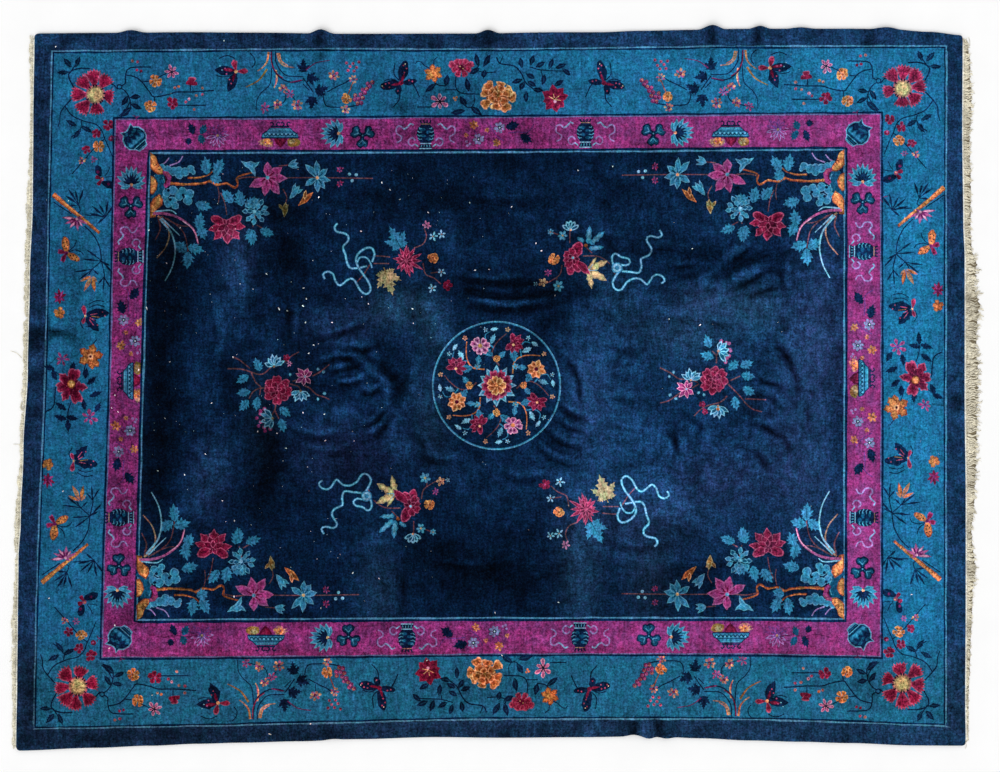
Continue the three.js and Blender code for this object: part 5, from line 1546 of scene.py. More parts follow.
# Creased marks painted in light and shade: places along, half width, how light.
FIELD_SHADING_STREAKS = (
    (((366, 350), (374, 356), (378, 366)), 4.5, 0.34), (((362, 360), (371, 367), (374, 378)), 4.0, 0.30), (((352, 372), (364, 379), (371, 390)), 4.5, 0.30),
    (((374, 342), (383, 352), (385, 366)), 4.0, -0.32), (((368, 372), (378, 382), (380, 396)), 4.0, -0.30), (((362, 396), (376, 404), (386, 402)), 4.0, 0.24),
    (((352, 406), (366, 414), (380, 414)), 4.0, -0.24), (((330, 340), (352, 344), (366, 340)), 4.0, 0.22), (((318, 352), (338, 356), (354, 352)), 4.0, -0.2),
    (((470, 284), (500, 288), (548, 286)), 4.5, -0.32), (((468, 298), (500, 302), (540, 300)), 4.0, 0.22), (((474, 308), (506, 312), (556, 306)), 4.5, -0.36),
    (((566, 372), (574, 384), (574, 398)), 3.6, 0.30), (((572, 368), (581, 384), (581, 402)), 3.6, -0.30), (((560, 396), (570, 408), (582, 412)), 3.8, 0.26),
    (((556, 408), (568, 420), (584, 426)), 3.8, -0.28), (((548, 424), (562, 436), (580, 442)), 4.0, 0.24), (((540, 438), (556, 452), (576, 458)), 4.0, -0.2),
    (((660, 286), (690, 276), (724, 262)), 4.5, -0.32), (((668, 296), (700, 290), (730, 280)), 4.0, 0.26), (((726, 256), (752, 246), (776, 250)), 4.5, 0.28),
    (((736, 284), (762, 276), (786, 262)), 4.5, 0.30), (((744, 294), (770, 288), (792, 278)), 4.0, -0.3), (((700, 322), (730, 318), (764, 322)), 4.0, 0.2),
    (((758, 356), (776, 362), (790, 376), (794, 396)), 4.5, 0.34), (((764, 346), (784, 352), (799, 368), (802, 392)), 4.5, -0.36),
    (((762, 380), (778, 386), (788, 400), (782, 416)), 4.0, -0.32), (((752, 402), (770, 404), (786, 414), (800, 432)), 4.5, 0.32),
    (((744, 414), (764, 418), (782, 430), (792, 448)), 4.5, -0.30), (((792, 330), (806, 344), (812, 362)), 4.5, 0.30), (((786, 322), (798, 330), (806, 346)), 3.6, -0.32),
    (((806, 392), (800, 410), (806, 430)), 4.0, 0.28), (((812, 396), (807, 412), (814, 432)), 3.6, -0.26), (((740, 438), (760, 446), (774, 462)), 4.5, 0.22),
    (((664, 420), (676, 432), (678, 448)), 4.0, -0.28), (((656, 424), (668, 438), (670, 454)), 4.0, 0.22), (((684, 404), (700, 420), (704, 436)), 4.0, -0.2),
    (((640, 268), (676, 260), (712, 268)), 4.0, 0.18), (((404, 560), (404, 590), (403, 616)), 3.4, -0.30), (((392, 556), (392, 588), (391, 616)), 5.0, 0.20),
    (((236, 240), (240, 270), (236, 300)), 5.0, 0.22), (((214, 290), (218, 330), (212, 356)), 5.0, 0.18), (((196, 446), (208, 470), (204, 500)), 5.0, 0.2),
    (((180, 392), (206, 396), (226, 392)), 4.0, 0.14), (((150, 400), (176, 404), (200, 400)), 4.0, -0.16), (((300, 306), (318, 312), (340, 308)), 4.0, 0.18),
    (((420, 296), (436, 310), (440, 330)), 4.5, 0.2), (((280, 410), (300, 418), (320, 416)), 4.0, -0.2), (((286, 424), (306, 432), (330, 430)), 4.0, 0.18),
    (((520, 470), (560, 476), (600, 470)), 5.0, 0.16), (((820, 400), (824, 440), (818, 480)), 6.0, 0.2), (((560, 340), (590, 330), (606, 342)), 5.0, 0.16),
)
# Folds pressed into the pile, painted as shade along one side and as a highlight along the other: places along, half
# width, how strong. The light side is to the left of the way they run.
FIELD_FOLD_SHADING = (
    (((317, 334), (333, 333), (350, 327.5), (366, 321)), 4.4, 0.34), (((353, 344.5), (361, 348), (374, 346.5)), 4.0, 0.42),
    (((318, 363), (335, 356.5), (350, 356), (363, 361)), 4.2, 0.40), (((328, 370.5), (344, 367.5), (362, 362)), 4.0, 0.40),
    (((338, 383.5), (350, 382.5), (366, 377)), 4.2, 0.46), (((362, 390), (370, 392), (381, 385.5)), 4.0, 0.55),
    (((391, 402), (392, 384), (378, 370), (366, 359)), 7.0, 0.42), (((363, 424), (372, 421), (383, 410)), 4.6, 0.5),
    (((290.7, 302), (293, 318), (290.7, 335)), 5.0, 0.26), (((370, 434), (381, 427), (388, 417)), 4.4, 0.4),
    (((402, 346), (411, 374), (402, 402)), 8.0, 0.22), (((300, 432), (322, 436), (344, 432)), 5.0, 0.24), (((306, 448), (330, 452), (352, 446)), 5.0, 0.22),
    (((672, 266), (683, 264.5), (699, 262)), 4.0, 0.34), (((749, 245), (738, 254), (725, 262)), 6.0, -0.62),
    (((772, 266), (749, 278), (730, 288)), 6.5, -0.70), (((746, 294), (761, 290), (775, 285)), 4.4, 0.46), (((665, 290), (690, 290), (711, 287)), 4.2, 0.30),
    (((670, 316.5), (698, 318), (731, 322)), 4.2, 0.26), (((786, 258), (784.5, 276), (788, 292)), 5.0, 0.34), (((771, 333), (788, 350), (799, 374), (804, 394)), 6.0, 0.60),
    (((756, 377), (774, 382), (795, 387)), 4.2, 0.40), (((752, 390), (768, 394), (784, 404)), 4.4, 0.36), (((783, 314), (791, 328), (783, 341)), 4.4, 0.34),
    (((802, 387), (813, 390), (820, 400)), 4.2, 0.36), (((806, 404), (812, 416), (808, 432)), 4.2, 0.34),
    (((566, 356), (577, 366), (583, 384), (582, 402)), 5.0, 0.46), (((561, 402), (572, 412), (588, 416)), 4.4, 0.46), (((557, 416), (570, 426), (588, 430)), 4.4, 0.42),
    (((548, 430), (563, 441), (582, 446)), 4.6, 0.40), (((538, 444), (552, 456), (572, 463)), 4.6, 0.34), (((590, 350), (612, 344), (634, 350)), 5.0, 0.26),
    (((594, 376), (618, 372), (640, 378)), 5.0, 0.22), (((600, 398), (620, 396), (640, 402)), 5.0, 0.22), (((468, 288), (500, 293), (550, 290)), 5.0, 0.46),
    (((474, 302), (504, 307), (546, 303)), 4.8, 0.42), (((462, 276), (492, 280), (524, 277)), 5.0, 0.30), (((410, 430), (424, 440), (432, 456)), 5.0, 0.26),
    (((420, 452), (440, 460), (462, 458)), 5.0, 0.24), (((500, 470), (520, 478), (548, 474)), 5.0, 0.26), (((748, 420), (766, 424), (786, 436), (796, 452)), 5.0, 0.50),
    (((740, 442), (758, 450), (772, 466)), 5.0, 0.34), (((664, 426), (678, 438), (682, 456)), 5.0, 0.40), (((684, 408), (702, 424), (706, 440)), 5.0, 0.30),
    (((236, 256), (242, 282), (238, 312)), 5.0, 0.24), (((214, 300), (220, 334), (214, 362)), 5.0, 0.20), (((196, 452), (210, 474), (206, 504)), 5.0, 0.24),
    (((430, 560), (470, 566), (520, 560)), 5.0, 0.16), (((600, 540), (640, 546), (676, 540)), 5.0, 0.18), (((640, 252), (660, 246), (690, 250)), 4.6, 0.24),
    (((560, 236), (590, 232), (620, 238)), 5.0, 0.16), (((700, 360), (722, 352), (740, 356)), 4.6, 0.2), (((470, 196), (500, 200), (540, 196)), 5.0, 0.14),
)
# Places where the blue leans to violet or to green: x, y, turn, half length, half width, violet, green.
FIELD_TINTS = (
    (820, 340, 90, 80, 34, 1.0, 0.0), (800, 470, 80, 70, 34, 0.7, 0.0), (345, 455, 0, 60, 34, 0.45, 0.0), (340, 325, 0, 46, 20, 0.35, 0.0), (700, 300, 0, 30, 16, 0.6, 0.3),
    (640, 520, 0, 70, 30, 0.4, 0.2), (590, 400, 90, 70, 22, 0.4, 0.0), (240, 250, 90, 46, 20, 0.35, 0.2), (210, 480, 90, 44, 22, 0.35, 0.1), (720, 480, 0, 60, 30, 0.6, 0.0),
    (398, 306, 0, 34, 20, 0.0, 1.0), (752, 308, 10, 34, 24, 0.0, 1.0), (434, 330, 80, 36, 18, 0.0, 0.6), (430, 420, 80, 50, 20, 0.0, 0.5), (690, 335, 0, 44, 26, 0.1, 0.7),
    (580, 570, 90, 60, 24, 0.1, 0.7), (380, 590, 90, 50, 22, 0.1, 0.5), (650, 580, 90, 50, 26, 0.2, 0.5), (260, 420, 90, 50, 20, 0.0, 0.35), (620, 300, 60, 50, 24, 0.0, 0.4),
)
# The same for the outer bands: painted shade and highlight of the folds beside the ripples, and places painted lighter
# or darker.
BORDER_SHADING_CLOUDS = (
    (321, 41, 90, 16, 6, -0.42), (331, 42, 90, 14, 7, 0.16), (488, 41, 90, 15, 5.5, -0.42), (497, 41, 90, 14, 6, 0.14), (712, 38, 90, 18, 5, -0.5),
    (720, 38, 90, 18, 7, 0.2), (757, 39, 90, 20, 6, -0.5), (748, 39, 90, 16, 6, 0.18), (766, 40, 90, 18, 6, 0.14), (870, 40, 90, 13, 7, -0.3),
    (633, 728, 90, 20, 6, -0.5), (643, 726, 90, 18, 6, 0.2), (659, 728, 90, 16, 5, -0.42), (668, 727, 90, 14, 6, 0.14), (330, 733, 90, 14, 7, -0.22),
    (56, 333, 8, 26, 5, -0.42), (56, 342, 8, 26, 5, 0.2), (40, 349, 5, 14, 4, -0.3), (60, 500, 5, 24, 8, -0.14),
    (280, 90, 60, 40, 18, 0.10), (400, 108, 0, 22, 7, -0.22), (450, 70, 0, 70, 16, 0.06), (470, 100, 0, 60, 12, -0.16), (600, 66, 0, 60, 16, 0.08),
    (700, 70, 0, 60, 20, 0.16), (850, 80, 0, 60, 20, 0.14), (800, 108, 0, 60, 8, 0.10), (912, 420, 90, 120, 22, 0.16), (912, 250, 90, 80, 22, 0.14),
    (912, 600, 90, 90, 22, 0.12), (300, 690, 0, 120, 18, 0.05), (480, 690, 0, 80, 18, -0.10), (640, 690, 0, 80, 18, 0.06), (850, 690, 0, 80, 20, 0.12),
    (86, 130, 90, 50, 16, -0.06), (76, 300, 90, 60, 14, -0.04), (130, 640, 0, 60, 14, 0.06), (862, 300, 90, 120, 13, 0.22), (862, 520, 90, 100, 13, 0.24),
    (700, 637, 0, 120, 12, 0.14), (500, 636, 0, 90, 12, -0.04), (240, 636, 0, 90, 12, -0.02), (240, 136, 0, 90, 12, -0.03), (470, 134, 0, 90, 12, -0.13),
    (760, 132, 0, 90, 12, 0.12), (122, 480, 90, 90, 12, -0.17), (128, 260, 90, 90, 12, -0.14), (90, 738, 0, 70, 9, -0.20), (240, 738, 0, 90, 8, -0.12), (860, 690, 0, 60, 24, -0.22),
    (36, 306, 0, 9, 8, -0.24), (36, 322, 0, 9, 5, 0.26), (35, 340, 0, 9, 9, -0.34), (35, 357, 0, 9, 6, 0.18), (35, 377, 0, 9, 11, -0.28),
    (34, 398, 0, 9, 4.5, 0.30), (34, 412, 0, 9, 8, -0.24), (50, 324, 8, 24, 5, 0.30), (52, 352, -6, 16, 6, 0.16), (70, 315, 90, 130, 16, -0.12), (130, 40, 0, 120, 8, 0.16), (830, 132, 0, 34, 12, 0.12),
    (24, 640, 0, 9, 9, -0.16), (24, 664, 0, 9, 8, 0.16), (965, 205, 0, 9, 9, -0.22), (958, 405, 0, 9, 7, -0.30), (957, 418, 0, 9, 6, 0.14),
    (470, 84, 0, 90, 20, -0.08), (330, 136, 0, 70, 12, -0.06), (250, 40, 0, 120, 7, -0.06), (30, 700, 90, 40, 9, -0.2),
)


def lay_shading_of(x, y, clouds, streaks=()):
    """How light or dark the pile is painted at places of the drawing: painted sheen and painted shade for how it lies.
    """
    total = np.zeros_like(x)
    for cx, cy, turn, long_, wide, amount in clouds:
        c, s = math.cos(math.radians(turn)), math.sin(math.radians(turn))
        u = ((x - cx) * c + (y - cy) * s) / long_
        v = (-(x - cx) * s + (y - cy) * c) / wide
        total += (1.75 if amount < 0 or streaks else 1.15) * amount * np.exp(-1.1 * (u * u + v * v))
    for places, wide, amount in streaks:
        d, t = to_line(x, y, places)
        total += 1.5 * amount * bell(d / (wide * 1.25)) * np.sin(np.pi * np.clip(0.08 + 0.84 * t, 0, 1))
    return total


def fold_shading_of(x, y):
    """Painted highlight along one side of the folds and painted shade along the other."""
    total = np.zeros_like(x)
    for places, wide, amount in FIELD_FOLD_SHADING:
        px = [p[0] for p in places]
        py = [p[1] for p in places]
        near = np.flatnonzero((x > min(px) - 24) & (x < max(px) + 24) & (y > min(py) - 24) & (y < max(py) + 24))
        if not len(near):
            continue
        u, v = x[near], y[near]
        best = np.full(len(near), 1e9)
        side = np.zeros(len(near))
        along = np.zeros(len(near))
        n = len(places) - 1
        for i in range(n):
            (ax, ay), (bx, by) = places[i], places[i + 1]
            dx, dy = bx - ax, by - ay
            t = np.clip(((u - ax) * dx + (v - ay) * dy) / (dx * dx + dy * dy), 0, 1)
            d = np.hypot(u - ax - t * dx, v - ay - t * dy)
            nearer = d < best
            best = np.where(nearer, d, best)
            side = np.where(nearer, np.sign(dx * (v - ay) - dy * (u - ax)), side)
            along = np.where(nearer, (i + t) / n, along)
        s = best * side / wide
        cut = 0.9 * bell((s + 0.55) / 0.85) - bell((s - 0.75) / 1.15)
        total[near] += amount * cut * np.sin(np.pi * np.clip(0.06 + 0.88 * along, 0, 1)) ** 0.8
    return total


def tints_of(x, y):
    """How much violet and how much green is added at places of the drawing."""
    violet, green = np.zeros_like(x), np.zeros_like(x)
    for cx, cy, turn, long_, wide, more, less in FIELD_TINTS:
        c, s = math.cos(math.radians(turn)), math.sin(math.radians(turn))
        u = ((x - cx) * c + (y - cy) * s) / long_
        v = (-(x - cx) * s + (y - cy) * c) / wide
        k = np.exp(-1.2 * (u * u + v * v))
        violet += more * k
        green += less * k
    return np.clip(violet, 0, 1.2), np.clip(green, 0, 1.2)


def crinkle_shading_of(x, y):
    """How strongly the painted crinkle shading shows, for each of two directions."""
    total = np.zeros((len(x), 3))
    for cx, cy, turn, long_, wide, amount, way in CRINKLE_SHADING:
        c, s = math.cos(math.radians(turn)), math.sin(math.radians(turn))
        u = ((x - cx) * c + (y - cy) * s) / long_
        v = (-(x - cx) * s + (y - cy) * c) / wide
        total[:, way] += amount * np.exp(-1.2 * (u * u + v * v))
    return np.clip(total, 0.0, 1.1)


def ripple_noise(x, y, size, seed):
    """A smooth wandering value between about -1 and 1."""
    v = np.zeros_like(x)
    for k in range(5):
        a = 2.399 * k + seed
        f = 2 * np.pi / (size * (0.7 + 0.23 * k))
        v += np.sin((x * math.cos(a) + y * math.sin(a)) * f + 1.7 * seed + k) * np.cos((x * math.sin(a * 1.3) - y * math.cos(a * 1.3)) * f * 0.8 + k * 2.1)
    return v / 2.2


SPECKS = (
    (55.8, 46.6), (224, 40.7), (68.6, 200.7), (166.6, 263.2), (180.2, 227.8), (149, 230.2), (169.8, 361.8), (138.7, 369.7), (266.5, 274),
    (318.8, 197.2), (390, 189.8), (381.8, 182.6), (400, 199.4), (428.2, 212.5), (361, 231.2), (306.3, 298.7), (287.3, 310.8), (332, 322.4),
    (305.5, 322.4), (412.5, 308.8), (413.3, 323.3), (368.5, 303.8), (469.7, 202.7), (475, 270.2), (488.8, 269.4), (303.5, 288), (612.7, 166.5),
    (577.9, 170.3), (541.4, 250.8), (536, 243.3), (555, 295.4), (511.6, 206.8), (669, 319), (692.3, 248.6), (165, 418.3), (205.4, 454),
    (184.6, 474.8), (157.8, 470.8), (222.4, 500.7), (234.4, 520.7), (211.7, 403), (111.6, 407.9), (118, 411.8), (115, 395.2), (63, 491.2),
    (49, 598.3), (114.8, 625.4), (109.2, 648.2), (152.3, 695.2), (234, 596.4), (352.8, 572.9), (379, 578.6), (320.9, 608), (495, 612.7),
    (310.5, 723.8), (427, 660.3), (558.5, 602.3), (502, 655.4), (911.6, 594.5), (313.7, 345), (308.7, 353.3), (303, 412.6), (324.4, 414.2),
    (257.8, 431.4), (277, 433.3), (325.2, 440.6), (233, 357.2), (286, 448.2),
)
SPECK_STREAKS = ((146.7, 308.3, 70, 4.2), (279, 308.8, 60, 3.6), (269.9, 734.1, 20, 3.4), (303, 306, 40, 2.6), (700, 325, -40, 2.6))


def specks(p):
    for i, (x, y) in enumerate(SPECKS):
        r = 0.62 + 0.3 * abs(scatter(i, 2.0))
        disc(p, "lint", x, y, r * 1.3, r * (0.5 + 0.25 * abs(scatter(i, 5.0))), 90 * scatter(i, 7.0), n=5)
    for x, y, turn, length in SPECK_STREAKS:
        disc(p, "lint", x, y, length * 0.5, 0.55, turn, n=7)
    for i in range(150):
        x = 150 + 340 * (0.5 + 0.5 * scatter(i, 11.0)) ** 1.25
        y = 165 + 440 * (0.5 + 0.5 * scatter(i, 13.0))
        r = 0.26 + 0.16 * abs(scatter(i, 17.0))
        disc(p, "pale" if i % 3 else "lint", x, y, r, n=4)
    for i in range(60):
        x = 40 + 900 * (0.5 + 0.5 * scatter(i, 21.0))
        y = 50 + 670 * (0.5 + 0.5 * scatter(i, 23.0))
        disc(p, "cream", x, y, 0.26, n=4)


def simplify(points, edges, off):
    """Chains of edges with the points left out that lie within off of a straight line."""
    near = {}
    for a, b in edges:
        near.setdefault(a, []).append(b)
        near.setdefault(b, []).append(a)
    joints = {a for a, n in near.items() if len(n) != 2}
    done = set()
    chains = []

    def walk(start, second):
        chain = [start, second]
        done.add((min(start, second), max(start, second)))
        while chain[-1] not in joints and chain[-1] != start:
            a, b = near[chain[-1]]
            nxt = b if a == chain[-2] else a
            key = (min(chain[-1], nxt), max(chain[-1], nxt))
            if key in done:
                break
            done.add(key)
            chain.append(nxt)
        chains.append(chain)

    for a in sorted(joints):
        for b in near[a]:
            if (min(a, b), max(a, b)) not in done:
                walk(a, b)
    for a, b in edges:
        if (min(a, b), max(a, b)) not in done:
            walk(a, b)
    out = []
    for chain in chains:
        xy = points[chain]
        last = len(chain) - 1
        kept = [0, last]
        if chain[0] == chain[-1] and last > 3:
            far = int(np.argmax(np.hypot(*(xy - xy[0]).T)))
            kept = [0, far, last]
        stack = list(zip(kept[:-1], kept[1:]))
        kept = set(kept)
        while stack:
            i, j = stack.pop()
            if j - i < 2:
                continue
            d = xy[j] - xy[i]
            size = math.hypot(d[0], d[1]) or 1e-9
            away = np.abs((xy[i + 1:j, 0] - xy[i, 0]) * d[1] - (xy[i + 1:j, 1] - xy[i, 1]) * d[0]) / size
            k = int(np.argmax(away))
            if away[k] > off:
                kept.add(i + 1 + k)
                stack += [(i, i + 1 + k), (i + 1 + k, j)]
        order = sorted(kept)
        out += [(chain[i], chain[j]) for i, j in zip(order[:-1], order[1:]) if chain[i] != chain[j]]
    return out


# ---- colours --------------------------------------------------------------------
def linear(rgb):
    c = np.asarray(rgb, float) / 255.0
    return np.where(c <= 0.04045, c / 12.92, ((c + 0.055) / 1.055) ** 2.4)


def build_carpet():
    shapes = draw_all()
    specks(Pen(shapes))
    names = list(COLOURS)
    ids = np.array([names.index(c) for c, _ in shapes] + [names.index("band")])
    polys = [drawn(pts) for _, pts in shapes]
    loop = outline(11, 14)

    # first pass: every shape, to learn which edges show
    pts, edges = loops_to_edges([p / 1000.0 for p in polys])
    v, f = triangulate(pts, edges)
    mid = v[f].mean(1) * 1000.0
    kind = ids[topmost(mid[:, 0], mid[:, 1], polys)]
    side = {}
    seen = []
    for t in range(len(f)):
        a, b, c = f[t]
        for e in ((a, b), (b, c), (c, a)):
            key = (e[0], e[1]) if e[0] < e[1] else (e[1], e[0])
            if key in side:
                if kind[side.pop(key)] != kind[t]:
                    seen.append(key)
            else:
                side[key] = t
    keep = np.array(simplify(v * 1000.0, seen, 0.55))
    used = np.unique(keep)
    new = np.full(len(v), -1)
    new[used] = np.arange(len(used))
    motif_points = v[used]
    motif_edges = new[keep]
    print("motif points", len(motif_points), "of", len(np.unique(np.array(seen))))

    # second pass: the edges that show, the rounded rim and a grid for the relief
    rings = [loop, inwards(loop, 1.4), inwards(loop, 3.6), inwards(loop, 7.5)]
    heights = [8.2, 10.4, 11.6, 12.0]
    points = [tuple(p) for p in motif_points]
    edges = [tuple(map(int, e)) for e in motif_edges]
    ring_points, ring_edges = loops_to_edges([r / 1000.0 for r in rings], len(points))
    first_ring = len(points)
    points += ring_points
    edges += ring_edges
    cell = 6.0
    taken = {(math.floor(x * 1000 / cell), math.floor(y * 1000 / cell)) for x, y in points}
    grid = []
    field = drawn(frame_line(INNER, 1.1, 9))
    for step, coarse in ((20.0, False), (28.0, True)):
        ys = np.arange(-1370, 1372, step * 0.866)
        for j, y in enumerate(ys):
            xs = np.arange(-1830 + (step / 2 if j % 2 else 0), 1795, step)
            n = np.arange(len(xs))
            gx = xs + 2.2 * np.sin(n * 12.9 + j * 78.2)
            gy = np.full(len(xs), y) + 2.2 * np.sin(n * 39.3 + j * 11.1)
            inside = inside_polygon(gx, gy, field)
            inset = np.minimum.reduce([long_edge("top", gx) - gy, gy - long_edge("bottom", gx), short_edge("right", gy) - gx, gx - short_edge("left", gy)])
            ok = (inside != coarse) & (inset > 14)
            for x, yy in zip(gx[ok], gy[ok]):
                if (math.floor(x / cell), math.floor(yy / cell)) not in taken:
                    grid.append((x / 1000.0, yy / 1000.0))
    held = {(math.floor(x * 1000 / 9.0), math.floor(y * 1000 / 9.0)) for x, y in points}
    beside = []
    for places, wide, amount in FIELD_FOLD_SHADING + FIELD_SHADING_STREAKS:
        way = curve([tuple(map(float, p)) for p in places], 4.4)
        for k, (px, py) in enumerate(way):
            ax, ay = way[max(0, k - 1)]
            bx, by = way[min(len(way) - 1, k + 1)]
            d = math.hypot(bx - ax, by - ay) or 1.0
            nx, ny = -(by - ay) / d, (bx - ax) / d
            for off in (-1.5, -0.6, 0.15, 0.8, 1.9):
                beside.append((px + nx * off * wide, py + ny * off * wide))
    beside = drawn(beside)
    ok = inside_polygon(beside[:, 0], beside[:, 1], field)
    extra = []
    for px, py in beside[ok]:
        key = (math.floor(px / 9.0), math.floor(py / 9.0))
        if key not in held:
            held.add(key)
            extra.append((px / 1000.0, py / 1000.0))
    close = {(math.floor(x * 1000 / 12.0), math.floor(y * 1000 / 12.0)) for x, y in extra}
    grid = [(x, y) for x, y in grid if (math.floor(x * 1000 / 12.0), math.floor(y * 1000 / 12.0)) not in close]
    print("grid", len(grid), "beside folds", len(extra))
    points += grid + extra
    v, f = triangulate(points, edges)
    mid = v[f].mean(1) * 1000.0
    f = f[inside_polygon(mid[:, 0], mid[:, 1], loop)]
    mid = v[f].mean(1) * 1000.0
    top = topmost(mid[:, 0], mid[:, 1], polys)
    kind = ids[top]
    in_field = inside_polygon(mid[:, 0], mid[:, 1], field)

    # drop unused points, then heights
    used = np.unique(f)
    new = np.full(len(v), -1)
    new[used] = np.arange(len(used))
    v, f = v[used], new[f]
    mm = v * 1000.0
    x, y = mm[:, 0], mm[:, 1]
    inset = distance_to_loop(mm, loop)
    rim = np.interp(inset, (0, 1.4, 3.6, 7.5), heights)
    z = lift(x, y) + creases(x, y) * np.clip(inset / 60, 0, 1) + rim
    z += 0.35 * ripple_noise(x, y, 140.0, 2.0) * np.clip(inset / 20, 0, 1)

    # the rim below the widest line and the underside
    n_top = len(v)
    low_rings = [(inwards(loop, 0.5), 4.2), (inwards(loop, 2.0), 0.0)]
    verts = [np.column_stack([x, y, z])]
    ring_ids = []
    tree = {}
    for i in np.flatnonzero(inset < 0.3):
        tree[(round(x[i], 1), round(y[i], 1))] = i
    order = [nearest(tree, p, mm) for p in loop]
    ring_ids.append(order)
    count = n_top
    for pts_, h in low_rings:
        verts.append(np.column_stack([pts_, lift(pts_[:, 0], pts_[:, 1]) + h]))
        ring_ids.append(list(range(count, count + len(pts_))))
        count += len(pts_)
    faces = [f]
    n = len(loop)
    side_faces = []
    for upper, lower in zip(ring_ids[:-1], ring_ids[1:]):
        for i in range(n):
            j = (i + 1) % n
            side_faces.append((lower[i], lower[j], upper[j]))
            side_faces.append((lower[i], upper[j], upper[i]))
    side_faces = np.array(side_faces)
    faces.append(side_faces)

    # the underside shows the same grounds, and is woven flat
    foot = low_rings[-1][0]
    back_polys = [drawn(frame_line(OUTER, -0.9, 1)), drawn(frame_line(OUTER, 1.8, 2)), drawn(frame_line(MIDDLE, -2.0, 4)), drawn(frame_line(MIDDLE, 0.6, 6)),
                  drawn(frame_line(INNER, -2.4, 7)), drawn(frame_line(INNER, 1.1, 9))]
    back_names = ["lightline", "teal", "darkline", "magenta", "lightline", "field"]
    pts2, edges2 = loops_to_edges([foot / 1000.0] + [p / 1000.0 for p in back_polys])
    gx, gy = np.meshgrid(np.arange(-1820, 1800, 44.0), np.arange(-1370, 1370, 44.0))
    gx, gy = gx.ravel() + 3 * np.sin(np.arange(gx.size) * 1.7), gy.ravel() + 3 * np.sin(np.arange(gx.size) * 2.9)
    ok = distance_to_loop(np.column_stack([gx, gy]), foot) > 16
    ok &= inside_polygon(gx, gy, foot)
    pts2 += [(a / 1000.0, b / 1000.0) for a, b in zip(gx[ok], gy[ok])]
    bv, bf = triangulate(pts2, edges2)
    bm = bv[bf].mean(1) * 1000.0
    keep = inside_polygon(bm[:, 0], bm[:, 1], foot)
    bf, bm = bf[keep], bm[keep]
    bmm = bv * 1000.0
    on_rim = distance_to_loop(bmm, foot) < 0.05
    remap = np.full(len(bv), -1)
    foot_tree = {(round(p[0], 1), round(p[1], 1)): k for k, p in zip(ring_ids[-1], foot)}
    back_extra = []
    for i in range(len(bv)):
        if on_rim[i]:
            remap[i] = nearest(foot_tree, bmm[i], None, foot, ring_ids[-1])
        else:
            remap[i] = count + len(back_extra)
            back_extra.append((bmm[i, 0], bmm[i, 1]))
    back_extra = np.array(back_extra)
    verts.append(np.column_stack([back_extra, lift(back_extra[:, 0], back_extra[:, 1])]))
    faces.append(remap[bf][:, ::-1])
    back_kind = topmost(bm[:, 0], bm[:, 1], back_polys)
    back_ids = np.array([names.index(c) for c in back_names] + [names.index("band")])[back_kind]

    verts = np.vstack(verts)
    tri = np.vstack(faces)
    centre = np.array([CENTRE[0], CENTRE[1], 0.0])
    coordinates = (verts - centre) / 1000.0

    mesh = bpy.data.meshes.new("carpet_pile")
    mesh.vertices.add(len(coordinates))
    mesh.vertices.foreach_set("co", coordinates.ravel())
    mesh.loops.add(len(tri) * 3)
    mesh.loops.foreach_set("vertex_index", tri.ravel().astype(np.int32))
    mesh.polygons.add(len(tri))
    mesh.polygons.foreach_set("loop_start", np.arange(0, len(tri) * 3, 3, dtype=np.int32))
    mesh.polygons.foreach_set("loop_total", np.full(len(tri), 3, dtype=np.int32))
    slots = np.zeros(len(tri), dtype=np.int32)
    slots[len(f) + len(side_faces):] = 1
    mesh.polygons.foreach_set("material_index", slots)
    mesh.update(calc_edges=True)
    if mesh.validate():
        print("the carpet mesh was mended")
    mesh.shade_smooth()

    # colour on each corner: the wool's dye, with painted sheen and painted shade for how the pile lies
    all_kind = np.concatenate([kind, np.full(len(side_faces), names.index("band")), back_ids])
    table = np.array([linear(COLOURS[c]) for c in names])
    base = table[all_kind]
    corner_xy = verts[tri][:, :, :2]
    u = (corner_xy[:, :, 0] - CENTRE[0]) / (UNIT * 1000) + DRAWN_AT[0]
    w = DRAWN_AT[1] - (corner_xy[:, :, 1] - CENTRE[1]) / (UNIT * 1000)
    lay_shading_field = lay_shading_of(u.ravel(), w.ravel(), FIELD_SHADING_CLOUDS, FIELD_SHADING_STREAKS).reshape(u.shape)
    lay_shading_border = lay_shading_of(u.ravel(), w.ravel(), BORDER_SHADING_CLOUDS).reshape(u.shape)
    field_face = np.concatenate([in_field, np.zeros(len(side_faces), bool), np.zeros(len(bf), bool)])
    lay_shading_field = lay_shading_field + 2.0 * fold_shading_of(u.ravel(), w.ravel()).reshape(u.shape)
    lay_shading = np.where(field_face[:, None], lay_shading_field, lay_shading_border)
    # the shading painted lighter towards the right
    ramp = np.clip((u - 380.0) / 520.0, -0.2, 1.0)
    lay_shading = lay_shading + np.where(field_face[:, None], 0.30 * ramp, 0.21 * ramp)
    lay_shading = lay_shading + 0.06 * ripple_noise(u, w, 60.0, 5.0) + 0.05 * ripple_noise(u, w, 23.0, 9.0)
    lay_shading[len(f) + len(side_faces):] = 0.0
    # painted shade and light: the shading darkens or lightens the wool's colour
    shading_gain = np.clip(1.0 + 1.35 * lay_shading, 0.22, 1.9)[:, :, None] * np.ones(3)
    blue = (base[:, 2] > base[:, 0] * 3.0) & ~field_face
    shading_gain[:, :, 0] = np.where(blue[:, None], np.minimum(shading_gain[:, :, 0], 1.0 + 0.3 * lay_shading), shading_gain[:, :, 0])
    # warmer towards the bottom edge
    near = np.clip((w - 640.0) / 24.0, 0.0, 1.0)[:, :, None]
    shading_gain *= 1.0 + near * (np.array([1.10, 0.90, 0.80]) - 1.0)
